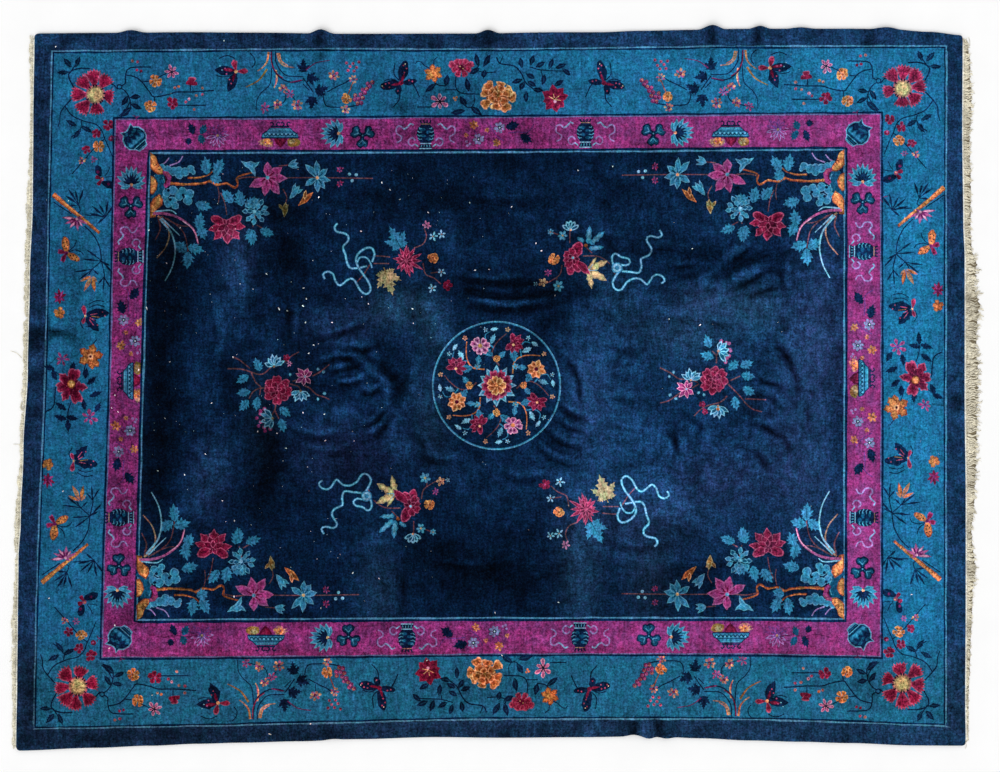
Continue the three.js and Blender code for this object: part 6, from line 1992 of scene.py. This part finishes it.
    # painted sheen: pale bluish light added where the pile is painted light
    painted_sheen = np.array([0.004, 0.021, 0.048])
    colour = base[:, None, :] * shading_gain + painted_sheen[None, None, :] * np.maximum(lay_shading, 0.0)[:, :, None]
    violet, green = tints_of(u.ravel(), w.ravel())
    ground = (field_face & (base[:, 2] < 0.06)).astype(float)[:, None] * np.clip(shading_gain[:, :, 2], 0.3, 1.3)
    colour += (ground * violet.reshape(u.shape))[:, :, None] * np.array([0.0062, 0.0016, 0.0062])
    colour += (ground * green.reshape(u.shape))[:, :, None] * np.array([0.0036, 0.0080, 0.0022])
    rgba = np.ones((len(tri), 3, 4), np.float32)
    rgba[:, :, :3] = colour
    dye_and_shading = mesh.color_attributes.new("dye_and_shading", "FLOAT_COLOR", "CORNER")
    dye_and_shading.data.foreach_set("color", rgba.ravel())
    where = (verts[:, 0] - CENTRE[0]) / (UNIT * 1000) + DRAWN_AT[0], DRAWN_AT[1] - (verts[:, 1] - CENTRE[1]) / (UNIT * 1000)
    crinkle_shading = mesh.attributes.new("crinkle_shading", "FLOAT_VECTOR", "POINT")
    crinkle_shading.data.foreach_set("vector", crinkle_shading_of(*where).astype(np.float32).ravel())
    print("carpet triangles", len(tri), "top", len(f))
    piece = bpy.data.objects.new("carpet_pile", mesh)
    bpy.context.scene.collection.objects.link(piece)
    return piece


def distance_to_loop(points, loop):
    """Distance of each point to a closed line; only near the edge is it exact."""
    x, y = points[:, 0], points[:, 1]
    rough = np.minimum.reduce([np.abs(long_edge("top", x) - y), np.abs(y - long_edge("bottom", x)),
                               np.abs(short_edge("right", y) - x), np.abs(x - short_edge("left", y))])
    corner = np.minimum.reduce([np.hypot(x - cx, y - cy) for cx, cy in ((1797.6, -1368.9), (1786.4, 1354.5), (-1770.4, 1361.0), (-1840.6, -1387.4))])
    out = rough.copy()
    near = np.flatnonzero((rough < 14.0) | (corner < 60.0))
    ax, ay = loop[:, 0], loop[:, 1]
    bx, by = np.roll(ax, -1), np.roll(ay, -1)
    dx, dy = bx - ax, by - ay
    length = dx * dx + dy * dy
    for start in range(0, len(near), 2000):
        part = near[start:start + 2000]
        px, py = x[part][:, None], y[part][:, None]
        t = np.clip(((px - ax) * dx + (py - ay) * dy) / length, 0, 1)
        out[part] = np.hypot(px - ax - t * dx, py - ay - t * dy).min(1)
    return out


def nearest(tree, p, mm, pool=None, ids=None):
    key = (round(float(p[0]), 1), round(float(p[1]), 1))
    for dx in (0.0, -0.1, 0.1):
        for dy in (0.0, -0.1, 0.1):
            hit = tree.get((round(key[0] + dx, 1), round(key[1] + dy, 1)))
            if hit is not None:
                return hit
    if pool is not None:
        return ids[int(np.argmin(np.hypot(pool[:, 0] - p[0], pool[:, 1] - p[1])))]
    return int(np.argmin(np.hypot(mm[:, 0] - p[0], mm[:, 1] - p[1])))


# ---- the fringes -------------------------------------------------------------------
def tube(verts, faces, marks, path, radii, sides=5, start=0.0, pitch=9.0):
    """A round strand along a path, closed at both ends; marks hold its twist."""
    path = np.asarray(path, float)
    n = len(path)
    t = np.gradient(path, axis=0)
    t /= np.linalg.norm(t, axis=1)[:, None] + 1e-9
    up = np.array([0.0, 0.0, 1.0])
    a = np.cross(t, up)
    a /= np.linalg.norm(a, axis=1)[:, None] + 1e-9
    b = np.cross(a, t)
    first = len(verts)
    run = start
    for i in range(n):
        if i:
            run += float(np.linalg.norm(path[i] - path[i - 1]))
        for k in range(sides):
            th = 2 * math.pi * k / sides
            verts.append(path[i] + radii[i] * (math.cos(th) * a[i] + math.sin(th) * b[i]))
            ph = 2 * math.pi * run / pitch
            marks.append((math.sin(ph) * math.cos(th) + math.cos(ph) * math.sin(th), run))
    for i in range(n - 1):
        for k in range(sides):
            j = (k + 1) % sides
            p, q = first + i * sides, first + (i + 1) * sides
            faces.append((p + k, q + k, q + j, p + j))
    for end, flip in ((0, False), (n - 1, True)):
        ring = [first + end * sides + k for k in range(sides)]
        faces.append(tuple(ring if not flip else ring[::-1]))


def wool_noise(i, k):
    return scatter(i, k)


def fringe(side):
    """The warp ends: a woven web along the carpet's edge, then loose twisted strings."""
    out = 1.0 if side == "right" else -1.0
    reach_rows = RIGHT_REACH if side == "right" else LEFT_REACH
    low = (RIGHT_EDGE if side == "right" else LEFT_EDGE)[0][0] + 10.0
    high = float(long_edge("top", 1780 if side == "right" else -1765)) - 10.0
    verts, faces, marks = [], [], []
    # the web, as flat warps side by side with the weft over them
    web = 8.0 if side == "right" else 6.4
    step = 5.0
    ys = np.arange(low, high + 0.1, step)
    n = len(ys)
    profile = ((0.25, 0.2), (0.25, 6.4), (web * 0.35, 6.0), (web * 0.7, 4.6), (web, 3.2), (web, 0.2))
    first = len(verts)
    for j, y in enumerate(ys):
        pull = out * max(0.0, 22.0 - min(y - low + 8.0, high - y + 8.0)) * 0.55
        root = float(short_edge(side, y)) - pull
        wob = 0.5 * scatter(j, 3.0)
        for k, (dx, z) in enumerate(profile):
            verts.append(np.array([root + out * (dx + (wob if k > 2 else 0.0)), y, z + (0.35 * scatter(j, 4.0 + k) if 0 < k < 5 else 0.0)]))
            # marks of 2 paint the web's rim palest, a painted highlight
            marks.append((2.0 if k in (1, 2) else 1.2, y * 1.7))
    m = len(profile)
    for j in range(n - 1):
        for k in range(m):
            a, b = first + j * m + k, first + j * m + (k + 1) % m
            c, d = first + (j + 1) * m + (k + 1) % m, first + (j + 1) * m + k
            faces.append((a, b, c, d) if out > 0 else (a, d, c, b))
    ring = [first + k for k in range(m)]
    faces.append(tuple(ring[::-1] if out > 0 else ring))
    ring = [first + (n - 1) * m + k for k in range(m)]
    faces.append(tuple(ring if out > 0 else ring[::-1]))

    if side == "right":
        # a dark strip under the strings, painted shade showing through the gaps between them
        first = len(verts)
        ys = np.arange(low + 4.0, high - 3.9, 4.0)
        n = len(ys)
        for j, y in enumerate(ys):
            root = float(short_edge(side, y)) - out * max(0.0, 22.0 - min(y - low + 8.0, high - y + 8.0)) * 0.55
            far = web + max(1.5, (float(read(reach_rows, y)) - web) * (0.80 + 0.10 * scatter(j, 21.0)))
            for k, (dx, z) in enumerate(((web - 1.0, 0.2), (web - 1.0, 1.5), ((web + far) / 2, 1.2 + 0.3 * scatter(j, 22.0)), (far, 0.9), (far, 0.2))):
                verts.append(np.array([root + out * dx, y, z]))
                # marked -1 for the painted shade colour
                marks.append((-1.0, y))
        m = 5
        for j in range(n - 1):
            for k in range(m):
                a, b = first + j * m + k, first + j * m + (k + 1) % m
                c, d = first + (j + 1) * m + (k + 1) % m, first + (j + 1) * m + k
                faces.append((a, b, c, d) if out > 0 else (a, d, c, b))
        ring = [first + k for k in range(m)]
        faces.append(tuple(ring[::-1] if out > 0 else ring))
        ring = [first + (n - 1) * m + k for k in range(m)]
        faces.append(tuple(ring if out > 0 else ring[::-1]))
    i = 0
    y = low + 2.0
    while y < high - 2.0:
        i += 1
        root = float(short_edge(side, y)) - out * max(0.0, 22.0 - min(y - low + 8.0, high - y + 8.0)) * 0.55
        reach = float(read(reach_rows, y)) * (0.94 + 0.12 * scatter(i, 1.0))
        if side == "right":
            # the tips of a clump draw together into a point
            mid = (math.floor(y / 37.0) + 0.5) * 37.0 + 5.0 * scatter(math.floor(y / 37.0), 31.0)
            off = (y - mid) / 18.5
            reach *= 1.18 - (0.22 + 0.12 * abs(scatter(math.floor(y / 37.0), 32.0))) * min(1.0, abs(off)) ** 1.2
            fine = i % 3 == 0
            r = (1.05 if fine else 2.15) + 0.25 * scatter(i, 2.0)
            steps = 11
            bunch = scatter(math.floor(y / 34.0), 6.0)
            clump = math.floor(y / 46.0)
            lean = 0.26 * bunch + 0.12 * scatter(i, 3.0)
            amp = 2.6 + 1.2 * abs(scatter(clump, 4.0)) + 0.5 * scatter(i, 4.0)
            wave = 23.0 + 9.0 * abs(scatter(clump, 5.0))
            phase = 2.8 * scatter(clump, 6.5) + 0.4 * scatter(i, 6.0)
            z0 = 2.6 + 1.5 * abs(scatter(i, 7.0)) + (2.0 if fine else 0.0)
            length = max(6.0, reach - web + (2.5 if fine else 0.0))
            path, radii = [], []
            for k in range(steps):
                t = k / (steps - 1)
                d = web - 2.5 + (length + 1.0) * t
                sway = amp * (0.35 + 0.65 * t) * math.sin(2 * math.pi * d / wave + phase)
                hook = (6.5 if fine else 4.0) * t * t * t * scatter(i, 8.0)
                z = max(r * 0.95, z0 + 0.9 * math.sin(2 * math.pi * d / (wave * 0.8) + phase * 2) * (0.4 + 0.6 * t) - 1.0 * t)
                path.append((root + out * (d - 0.5 * abs(hook) * t), y + lean * length * t + sway + hook - 6.0 * off * t * t, z))
                radii.append(r * (0.72 + 0.42 * math.sin(math.pi * min(1.0, 0.25 + 0.75 * t))) * (1.0 - 0.35 * t ** 6))
            tube(verts, faces, marks, path, radii, 5 if fine else 6, 3.0 * scatter(i, 9.0), 9.5)
            y += (2.6 if i % 3 == 0 or i % 3 == 2 else 5.6) + 0.5 * scatter(i, 10.0)
        else:
            fine = i % 4 == 0
            r = (1.0 if fine else 1.9) + 0.3 * scatter(i, 2.0)
            steps = 12
            turn = -1.0 if scatter(math.floor(y / 90.0), 3.0) + 0.35 * scatter(i, 3.5) < 0.45 else 1.0
            length = max(4.0, (reach - web) * (0.35 + 0.65 * abs(scatter(i, 4.0))))
            along = 26.0 + 30.0 * abs(scatter(i, 5.0))
            z0 = 2.4 + 1.2 * abs(scatter(i, 7.0))
            phase = 3.0 * scatter(i, 6.0)
            path, radii = [], []
            for k in range(steps):
                t = k / (steps - 1)
                a = min(1.0, t / 0.34)
                d = web - 2.0 + length * math.sin(a * math.pi / 2) + 1.3 * math.sin(2 * math.pi * t * along / 21.0 + phase) * t
                d -= 0.4 * length * max(0.0, t - 0.6) / 0.4 * (0.5 + 0.5 * scatter(i, 11.0))
                yy = y + turn * along * (t - 0.16 * math.sin(a * math.pi / 2)) + 0.8 * math.sin(7.0 * t + i)
                z = max(r * 0.95, z0 + 2.2 * math.sin(math.pi * t) + 0.8 * scatter(i, 12.0) * t)
                yy = min(max(yy, low - 3.0), high + 3.0)
                path.append((root + out * max(web * 0.45, d), yy, min(z, 7.0)))
                radii.append(r * (1.0 - 0.25 * t ** 3))
            tube(verts, faces, marks, path, radii, 5 if fine else 6, 3.0 * scatter(i, 9.0), 9.0)
            y += 5.0 + 1.0 * scatter(i, 10.0)
    # loose threads
    if side == "left":
        loose = (((20.7, 357.8), (16.0, 353.2), (9.8, 350.8)), ((21.5, 446.0), (17.0, 444.6), (12.4, 444.2)), ((14.0, 657.0), (10.6, 660.4), (8.6, 662.4)),
                 ((15.2, 650.0), (11.8, 650.6), (10.6, 647.6)))
    else:
        loose = (((966, 742), (967.2, 746.0), (966.2, 749.2)), ((969.5, 36.5), (970.4, 40.0), (970.8, 45.0)))
    for j, places in enumerate(loose):
        line_ = np.array(curve([tuple(map(float, q)) for q in places], 1.2))
        mm = drawn(line_)
        zz = 1.4 + 1.0 * np.sin(np.linspace(0.3, 2.9, len(mm)))
        tube(verts, faces, marks, np.column_stack([mm, zz]), [0.85] * len(mm), 5, float(j), 6.0)

    verts = (np.array(verts) - np.array([CENTRE[0], CENTRE[1], 0.0])) / 1000.0
    name = "fringe_" + side + "_strings"
    mesh = bpy.data.meshes.new(name)
    mesh.from_pydata([tuple(p) for p in verts], [], faces)
    marks = np.array(marks, np.float32)
    twist = mesh.attributes.new("twist", "FLOAT", "POINT")
    twist.data.foreach_set("value", marks[:, 0].copy())
    mesh.update()
    mesh.shade_smooth()
    piece = bpy.data.objects.new(name, mesh)
    bpy.context.scene.collection.objects.link(piece)
    print(name, "faces", len(faces), "strings", i)
    return piece


# ---- materials ------------------------------------------------------------------------
class Nodes:
    """Short names for the node kinds in use."""

    def __init__(self, name):
        self.material = bpy.data.materials.new(name)
        self.material.use_nodes = True
        self.tree = self.material.node_tree
        self.tree.nodes.clear()
        self.output = self.tree.nodes.new("ShaderNodeOutputMaterial")
        self.shader = self.tree.nodes.new("ShaderNodeBsdfPrincipled")
        self.join(self.shader.outputs["BSDF"], self.output.inputs["Surface"])
        self.place = self.tree.nodes.new("ShaderNodeTexCoord").outputs["Object"]

    def join(self, a, b):
        self.tree.links.new(a, b)

    def mapped(self, scale, turn=0.0):
        n = self.tree.nodes.new("ShaderNodeMapping")
        n.inputs["Scale"].default_value = scale
        n.inputs["Rotation"].default_value = (0, 0, turn)
        self.join(self.place, n.inputs["Vector"])
        return n.outputs["Vector"]

    def noise(self, scale, detail=2.0, rough=0.5, vector=None, distortion=0.0):
        n = self.tree.nodes.new("ShaderNodeTexNoise")
        n.inputs["Scale"].default_value = scale
        n.inputs["Detail"].default_value = detail
        n.inputs["Roughness"].default_value = rough
        n.inputs["Distortion"].default_value = distortion
        self.join(vector if vector is not None else self.place, n.inputs["Vector"])
        return n.outputs["Fac"]

    def spread(self, value, a, b, c, d):
        n = self.tree.nodes.new("ShaderNodeMapRange")
        for key, number in zip(("From Min", "From Max", "To Min", "To Max"), (a, b, c, d)):
            n.inputs[key].default_value = number
        self.join(value, n.inputs["Value"])
        return n.outputs["Result"]

    def maths(self, how, a, b):
        n = self.tree.nodes.new("ShaderNodeMath")
        n.operation = how
        for k, value in enumerate((a, b)):
            if isinstance(value, (int, float)):
                n.inputs[k].default_value = value
            else:
                self.join(value, n.inputs[k])
        return n.outputs["Value"]

    def mix(self, how, fac, a, b):
        n = self.tree.nodes.new("ShaderNodeMix")
        n.data_type = "RGBA"
        n.blend_type = how
        n.clamp_result = False
        for socket, value in zip(("Factor", "A", "B"), (fac, a, b)):
            target = next(s for s in n.inputs if s.name == socket and (s.type == "RGBA" or (socket == "Factor" and s.type == "VALUE")))
            if isinstance(value, (int, float)):
                target.default_value = value
            elif isinstance(value, tuple):
                target.default_value = value
            else:
                self.join(value, target)
        return next(s for s in n.outputs if s.type == "RGBA")

    def grey(self, value):
        n = self.tree.nodes.new("ShaderNodeCombineColor")
        for k in range(3):
            self.join(value, n.inputs[k])
        return n.outputs["Color"]

    def attribute(self, name):
        n = self.tree.nodes.new("ShaderNodeAttribute")
        n.attribute_name = name
        return n

    def bump(self, height, strength, distance, normal=None):
        n = self.tree.nodes.new("ShaderNodeBump")
        n.inputs["Strength"].default_value = strength
        n.inputs["Distance"].default_value = distance
        self.join(height, n.inputs["Height"])
        if normal is not None:
            self.join(normal, n.inputs["Normal"])
        return n.outputs["Normal"]


def pile_material():
    m = Nodes("wool_pile")
    dye_and_shading = m.attribute("dye_and_shading").outputs["Color"]
    parts = m.tree.nodes.new("ShaderNodeSeparateColor")
    m.join(dye_and_shading, parts.inputs["Color"])
    # the darker grounds show more of the painted sheen and shade of the pile than the bright ones
    deep = m.spread(parts.outputs["Blue"], 0.09, 0.18, 1.0, 0.0)
    tuft = m.noise(1.0, 3.0, 0.75, m.mapped((140.0, 140.0, 140.0)))
    knots = m.noise(1.0, 2.0, 0.6, m.mapped((61.0, 66.0, 40.0), 0.1))
    rows = m.noise(1.0, 2.0, 0.6, m.mapped((118.0, 17.0, 60.0)))
    cross = m.noise(1.0, 2.0, 0.6, m.mapped((17.0, 104.0, 60.0)))
    brushed = m.noise(1.0, 4.0, 0.62, m.mapped((13.5, 10.5, 6.0), 0.6), 1.2)
    worn = m.noise(1.0, 5.0, 0.6, m.mapped((4.1, 4.1, 4.1)))
    value = m.maths("MULTIPLY", m.spread(tuft, 0.3, 0.7, 0.28, 1.75), m.spread(rows, 0.3, 0.7, 0.76, 1.26))
    value = m.maths("MULTIPLY", value, m.spread(cross, 0.3, 0.7, 0.85, 1.15))
    value = m.maths("MULTIPLY", value, m.spread(knots, 0.3, 0.7, 0.81, 1.21))
    value = m.maths("MULTIPLY", value, m.spread(brushed, 0.3, 0.7, 0.80, 1.21))
    value = m.maths("MULTIPLY", value, m.spread(worn, 0.3, 0.7, 0.90, 1.11))
    value = m.maths("MAXIMUM", value, 0.16)
    value = m.maths("POWER", value, m.spread(deep, 0.0, 1.0, 0.98, 1.33))
    # the lie of the field's pile, painted as sheen and shade: soft mottles, and painted shade and highlight in
    # crinkles where it was folded
    mottle = m.noise(1.0, 4.0, 0.62, m.mapped((8.5, 10.5, 6.0), -0.4), 0.8)
    depth = m.maths("MULTIPLY", deep, 0.5)
    soft = m.maths("MULTIPLY", m.spread(mottle, 0.30, 0.70, -1.0, 1.0), depth)
    value = m.maths("MULTIPLY", value, m.maths("ADD", soft, 1.0))
    force = m.tree.nodes.new("ShaderNodeSeparateXYZ")
    m.join(m.attribute("crinkle_shading").outputs["Vector"], force.inputs["Vector"])
    for axis, turn, scale in (("X", 0.62, (5.0, 8.6, 5.0)), ("Y", -0.42, (5.2, 9.0, 5.0))):
        folds = m.noise(1.0, 2.0, 0.42, m.mapped(scale, turn), 0.5)
        waves = m.maths("SINE", m.maths("MULTIPLY", folds, 31.0), 0.0)
        push = m.maths("MULTIPLY", m.spread(waves, -1.0, 1.0, -0.34, 0.38), m.maths("MULTIPLY", force.outputs[axis], deep))
        value = m.maths("MULTIPLY", value, m.maths("MAXIMUM", m.maths("ADD", push, 1.0), 0.3))
    colour = m.mix("MULTIPLY", 1.0, dye_and_shading, m.grey(value))
    # yarns dyed a little apart, warmer here and greener there
    hue = m.noise(1.0, 2.0, 0.6, m.mapped((44.0, 30.0, 30.0), 0.4))
    tone = m.mix("MIX", m.spread(hue, 0.36, 0.64, 0.0, 1.0), (1.22, 0.93, 1.03, 1.0), (0.80, 1.05, 0.98, 1.0))
    colour = m.mix("MULTIPLY", 1.0, colour, tone)
    # painted sheen: pale bluish light on the tips of the pile, a little more in some places
    tip_sheen = m.maths("MULTIPLY", m.spread(tuft, 0.50, 0.74, 0.0, 1.0), m.spread(brushed, 0.42, 0.68, 0.25, 1.0))
    colour = m.mix("ADD", tip_sheen, colour, (0.0020, 0.0062, 0.0120, 1.0))
    m.join(colour, m.shader.inputs["Base Color"])
    m.join(m.spread(tuft, 0.3, 0.7, 0.86, 1.0), m.shader.inputs["Roughness"])
    m.shader.inputs["Specular IOR Level"].default_value = 0.02
    m.shader.inputs["Sheen Weight"].default_value = 0.015
    m.shader.inputs["Sheen Roughness"].default_value = 0.45
    m.shader.inputs["Sheen Tint"].default_value = (0.55, 0.75, 1.0, 1.0)
    height = m.maths("ADD", m.maths("MULTIPLY", tuft, 0.8), m.maths("MULTIPLY", rows, 0.6))
    normal = m.bump(height, 0.6, 0.0022)
    normal = m.bump(brushed, 0.35, 0.004, normal)
    m.join(normal, m.shader.inputs["Normal"])
    return m.material


def back_material():
    m = Nodes("carpet_back")
    dye_and_shading = m.attribute("dye_and_shading").outputs["Color"]
    knots = m.tree.nodes.new("ShaderNodeTexVoronoi")
    knots.feature = "F1"
    m.join(m.mapped((330.0, 250.0, 20.0)), knots.inputs["Vector"])
    knots.inputs["Scale"].default_value = 1.0
    weft = m.tree.nodes.new("ShaderNodeTexWave")
    weft.wave_type = "BANDS"
    weft.bands_direction = "X"
    weft.inputs["Scale"].default_value = 48.0
    weft.inputs["Distortion"].default_value = 1.5
    m.join(m.place, weft.inputs["Vector"])
    grain = m.noise(1.0, 3.0, 0.6, m.mapped((60.0, 60.0, 60.0)))
    cotton = m.maths("MULTIPLY", m.spread(weft.outputs["Fac"], 0.55, 0.95, 0.0, 0.32), m.spread(grain, 0.35, 0.65, 0.4, 1.0))
    colour = m.mix("MULTIPLY", 1.0, dye_and_shading, m.grey(m.spread(knots.outputs["Distance"], 0.0, 0.8, 1.25, 0.55)))
    colour = m.mix("MIX", cotton, colour, (0.42, 0.37, 0.28, 1.0))
    m.join(colour, m.shader.inputs["Base Color"])
    m.shader.inputs["Roughness"].default_value = 0.95
    m.shader.inputs["Specular IOR Level"].default_value = 0.15
    m.join(m.bump(m.maths("ADD", m.maths("MULTIPLY", knots.outputs["Distance"], -1.0), m.maths("MULTIPLY", weft.outputs["Fac"], 0.5)), 0.6, 0.001),
           m.shader.inputs["Normal"])
    return m.material


def fringe_material(name, light, shade):
    m = Nodes(name)
    twist = m.attribute("twist").outputs["Fac"]
    fine = m.noise(1.0, 3.0, 0.6, m.mapped((520.0, 520.0, 520.0)))
    broad = m.noise(1.0, 3.0, 0.55, m.mapped((14.0, 14.0, 14.0)))
    strand = m.noise(1.0, 2.0, 0.6, m.mapped((60.0, 150.0, 60.0)))
    # painted shade in the grooves of the twist, and on the dark strip under the right strings
    groove_shade = m.spread(twist, -1.0, -0.2, 0.0, 1.0)
    colour = m.mix("MIX", groove_shade, shade + (1.0,), light + (1.0,))
    # the web beside the pile is painted palest, a painted highlight
    colour = m.mix("MIX", m.spread(twist, 1.1, 2.0, 0.0, 1.0), colour, (0.94, 1.0, 1.0, 1.0))
    colour = m.mix("MULTIPLY", 1.0, colour, m.grey(m.spread(strand, 0.3, 0.7, 0.66, 1.18)))
    colour = m.mix("MIX", m.spread(broad, 0.46, 0.74, 0.0, 0.5), colour, tuple(0.8 * c for c in shade) + (1.0,))
    colour = m.mix("MULTIPLY", 1.0, colour, m.grey(m.spread(fine, 0.3, 0.7, 0.84, 1.14)))
    m.join(colour, m.shader.inputs["Base Color"])
    m.shader.inputs["Roughness"].default_value = 0.9
    m.shader.inputs["Specular IOR Level"].default_value = 0.2
    m.shader.inputs["Sheen Weight"].default_value = 0.15
    height = m.maths("ADD", m.maths("MULTIPLY", twist, 0.6), fine)
    m.join(m.bump(height, 0.6, 0.0006), m.shader.inputs["Normal"])
    return m.material


def floor_material():
    m = Nodes("studio_floor")
    speckle = m.noise(1.0, 3.0, 0.5, m.mapped((7.0, 7.0, 7.0)))
    m.join(m.grey(m.spread(speckle, 0.3, 0.7, 0.965, 0.985)), m.shader.inputs["Base Color"])
    m.shader.inputs["Roughness"].default_value = 0.95
    m.shader.inputs["Specular IOR Level"].default_value = 0.1
    return m.material


# ---- the studio --------------------------------------------------------------------------
def studio():
    mesh = bpy.data.meshes.new("floor")
    s = 14.0
    mesh.from_pydata([(-s, -s, -0.0006), (s, -s, -0.0006), (s, s, -0.0006), (-s, s, -0.0006)], [], [(0, 1, 2, 3)])
    mesh.materials.append(floor_material())
    floor = bpy.data.objects.new("floor", mesh)
    bpy.context.scene.collection.objects.link(floor)

    camera = bpy.data.cameras.new("camera")
    camera.lens = 50.0
    camera.sensor_width = 36.0
    camera.clip_end = 60.0
    eye = bpy.data.objects.new("camera", camera)
    eye.location = (0.0141, 0.0080, 5.331)
    bpy.context.scene.collection.objects.link(eye)
    bpy.context.scene.camera = eye

    world = bpy.data.worlds.new("studio")
    world.use_nodes = True
    world.node_tree.nodes["Background"].inputs["Color"].default_value = (1.0, 1.0, 1.0, 1.0)
    world.node_tree.nodes["Background"].inputs["Strength"].default_value = 0.66
    bpy.context.scene.world = world
    for name, turn, strength, angle in (("key", (math.radians(38), math.radians(-14), 0), 1.05, 40), ("fill", (math.radians(-30), math.radians(32), 0), 0.4, 60)):
        light = bpy.data.lights.new(name, "SUN")
        light.energy = strength
        light.angle = math.radians(angle)
        o = bpy.data.objects.new(name, light)
        o.rotation_euler = turn
        bpy.context.scene.collection.objects.link(o)
    bpy.context.scene.view_settings.view_transform = "Standard"
    bpy.context.scene.view_settings.look = "None"


studio()
carpet = build_carpet()
carpet.data.materials.append(pile_material())
carpet.data.materials.append(back_material())
left = fringe("left")
right = fringe("right")
left.data.materials.append(fringe_material("cotton_left", (0.92, 0.87, 0.70), (0.33, 0.29, 0.18)))
right.data.materials.append(fringe_material("cotton_right", (0.96, 0.90, 0.72), (0.22, 0.18, 0.11)))

for piece, node in ((carpet, "carpet"), (left, "fringe_left"), (right, "fringe_right")):
    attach(piece, "root")
    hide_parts(node)
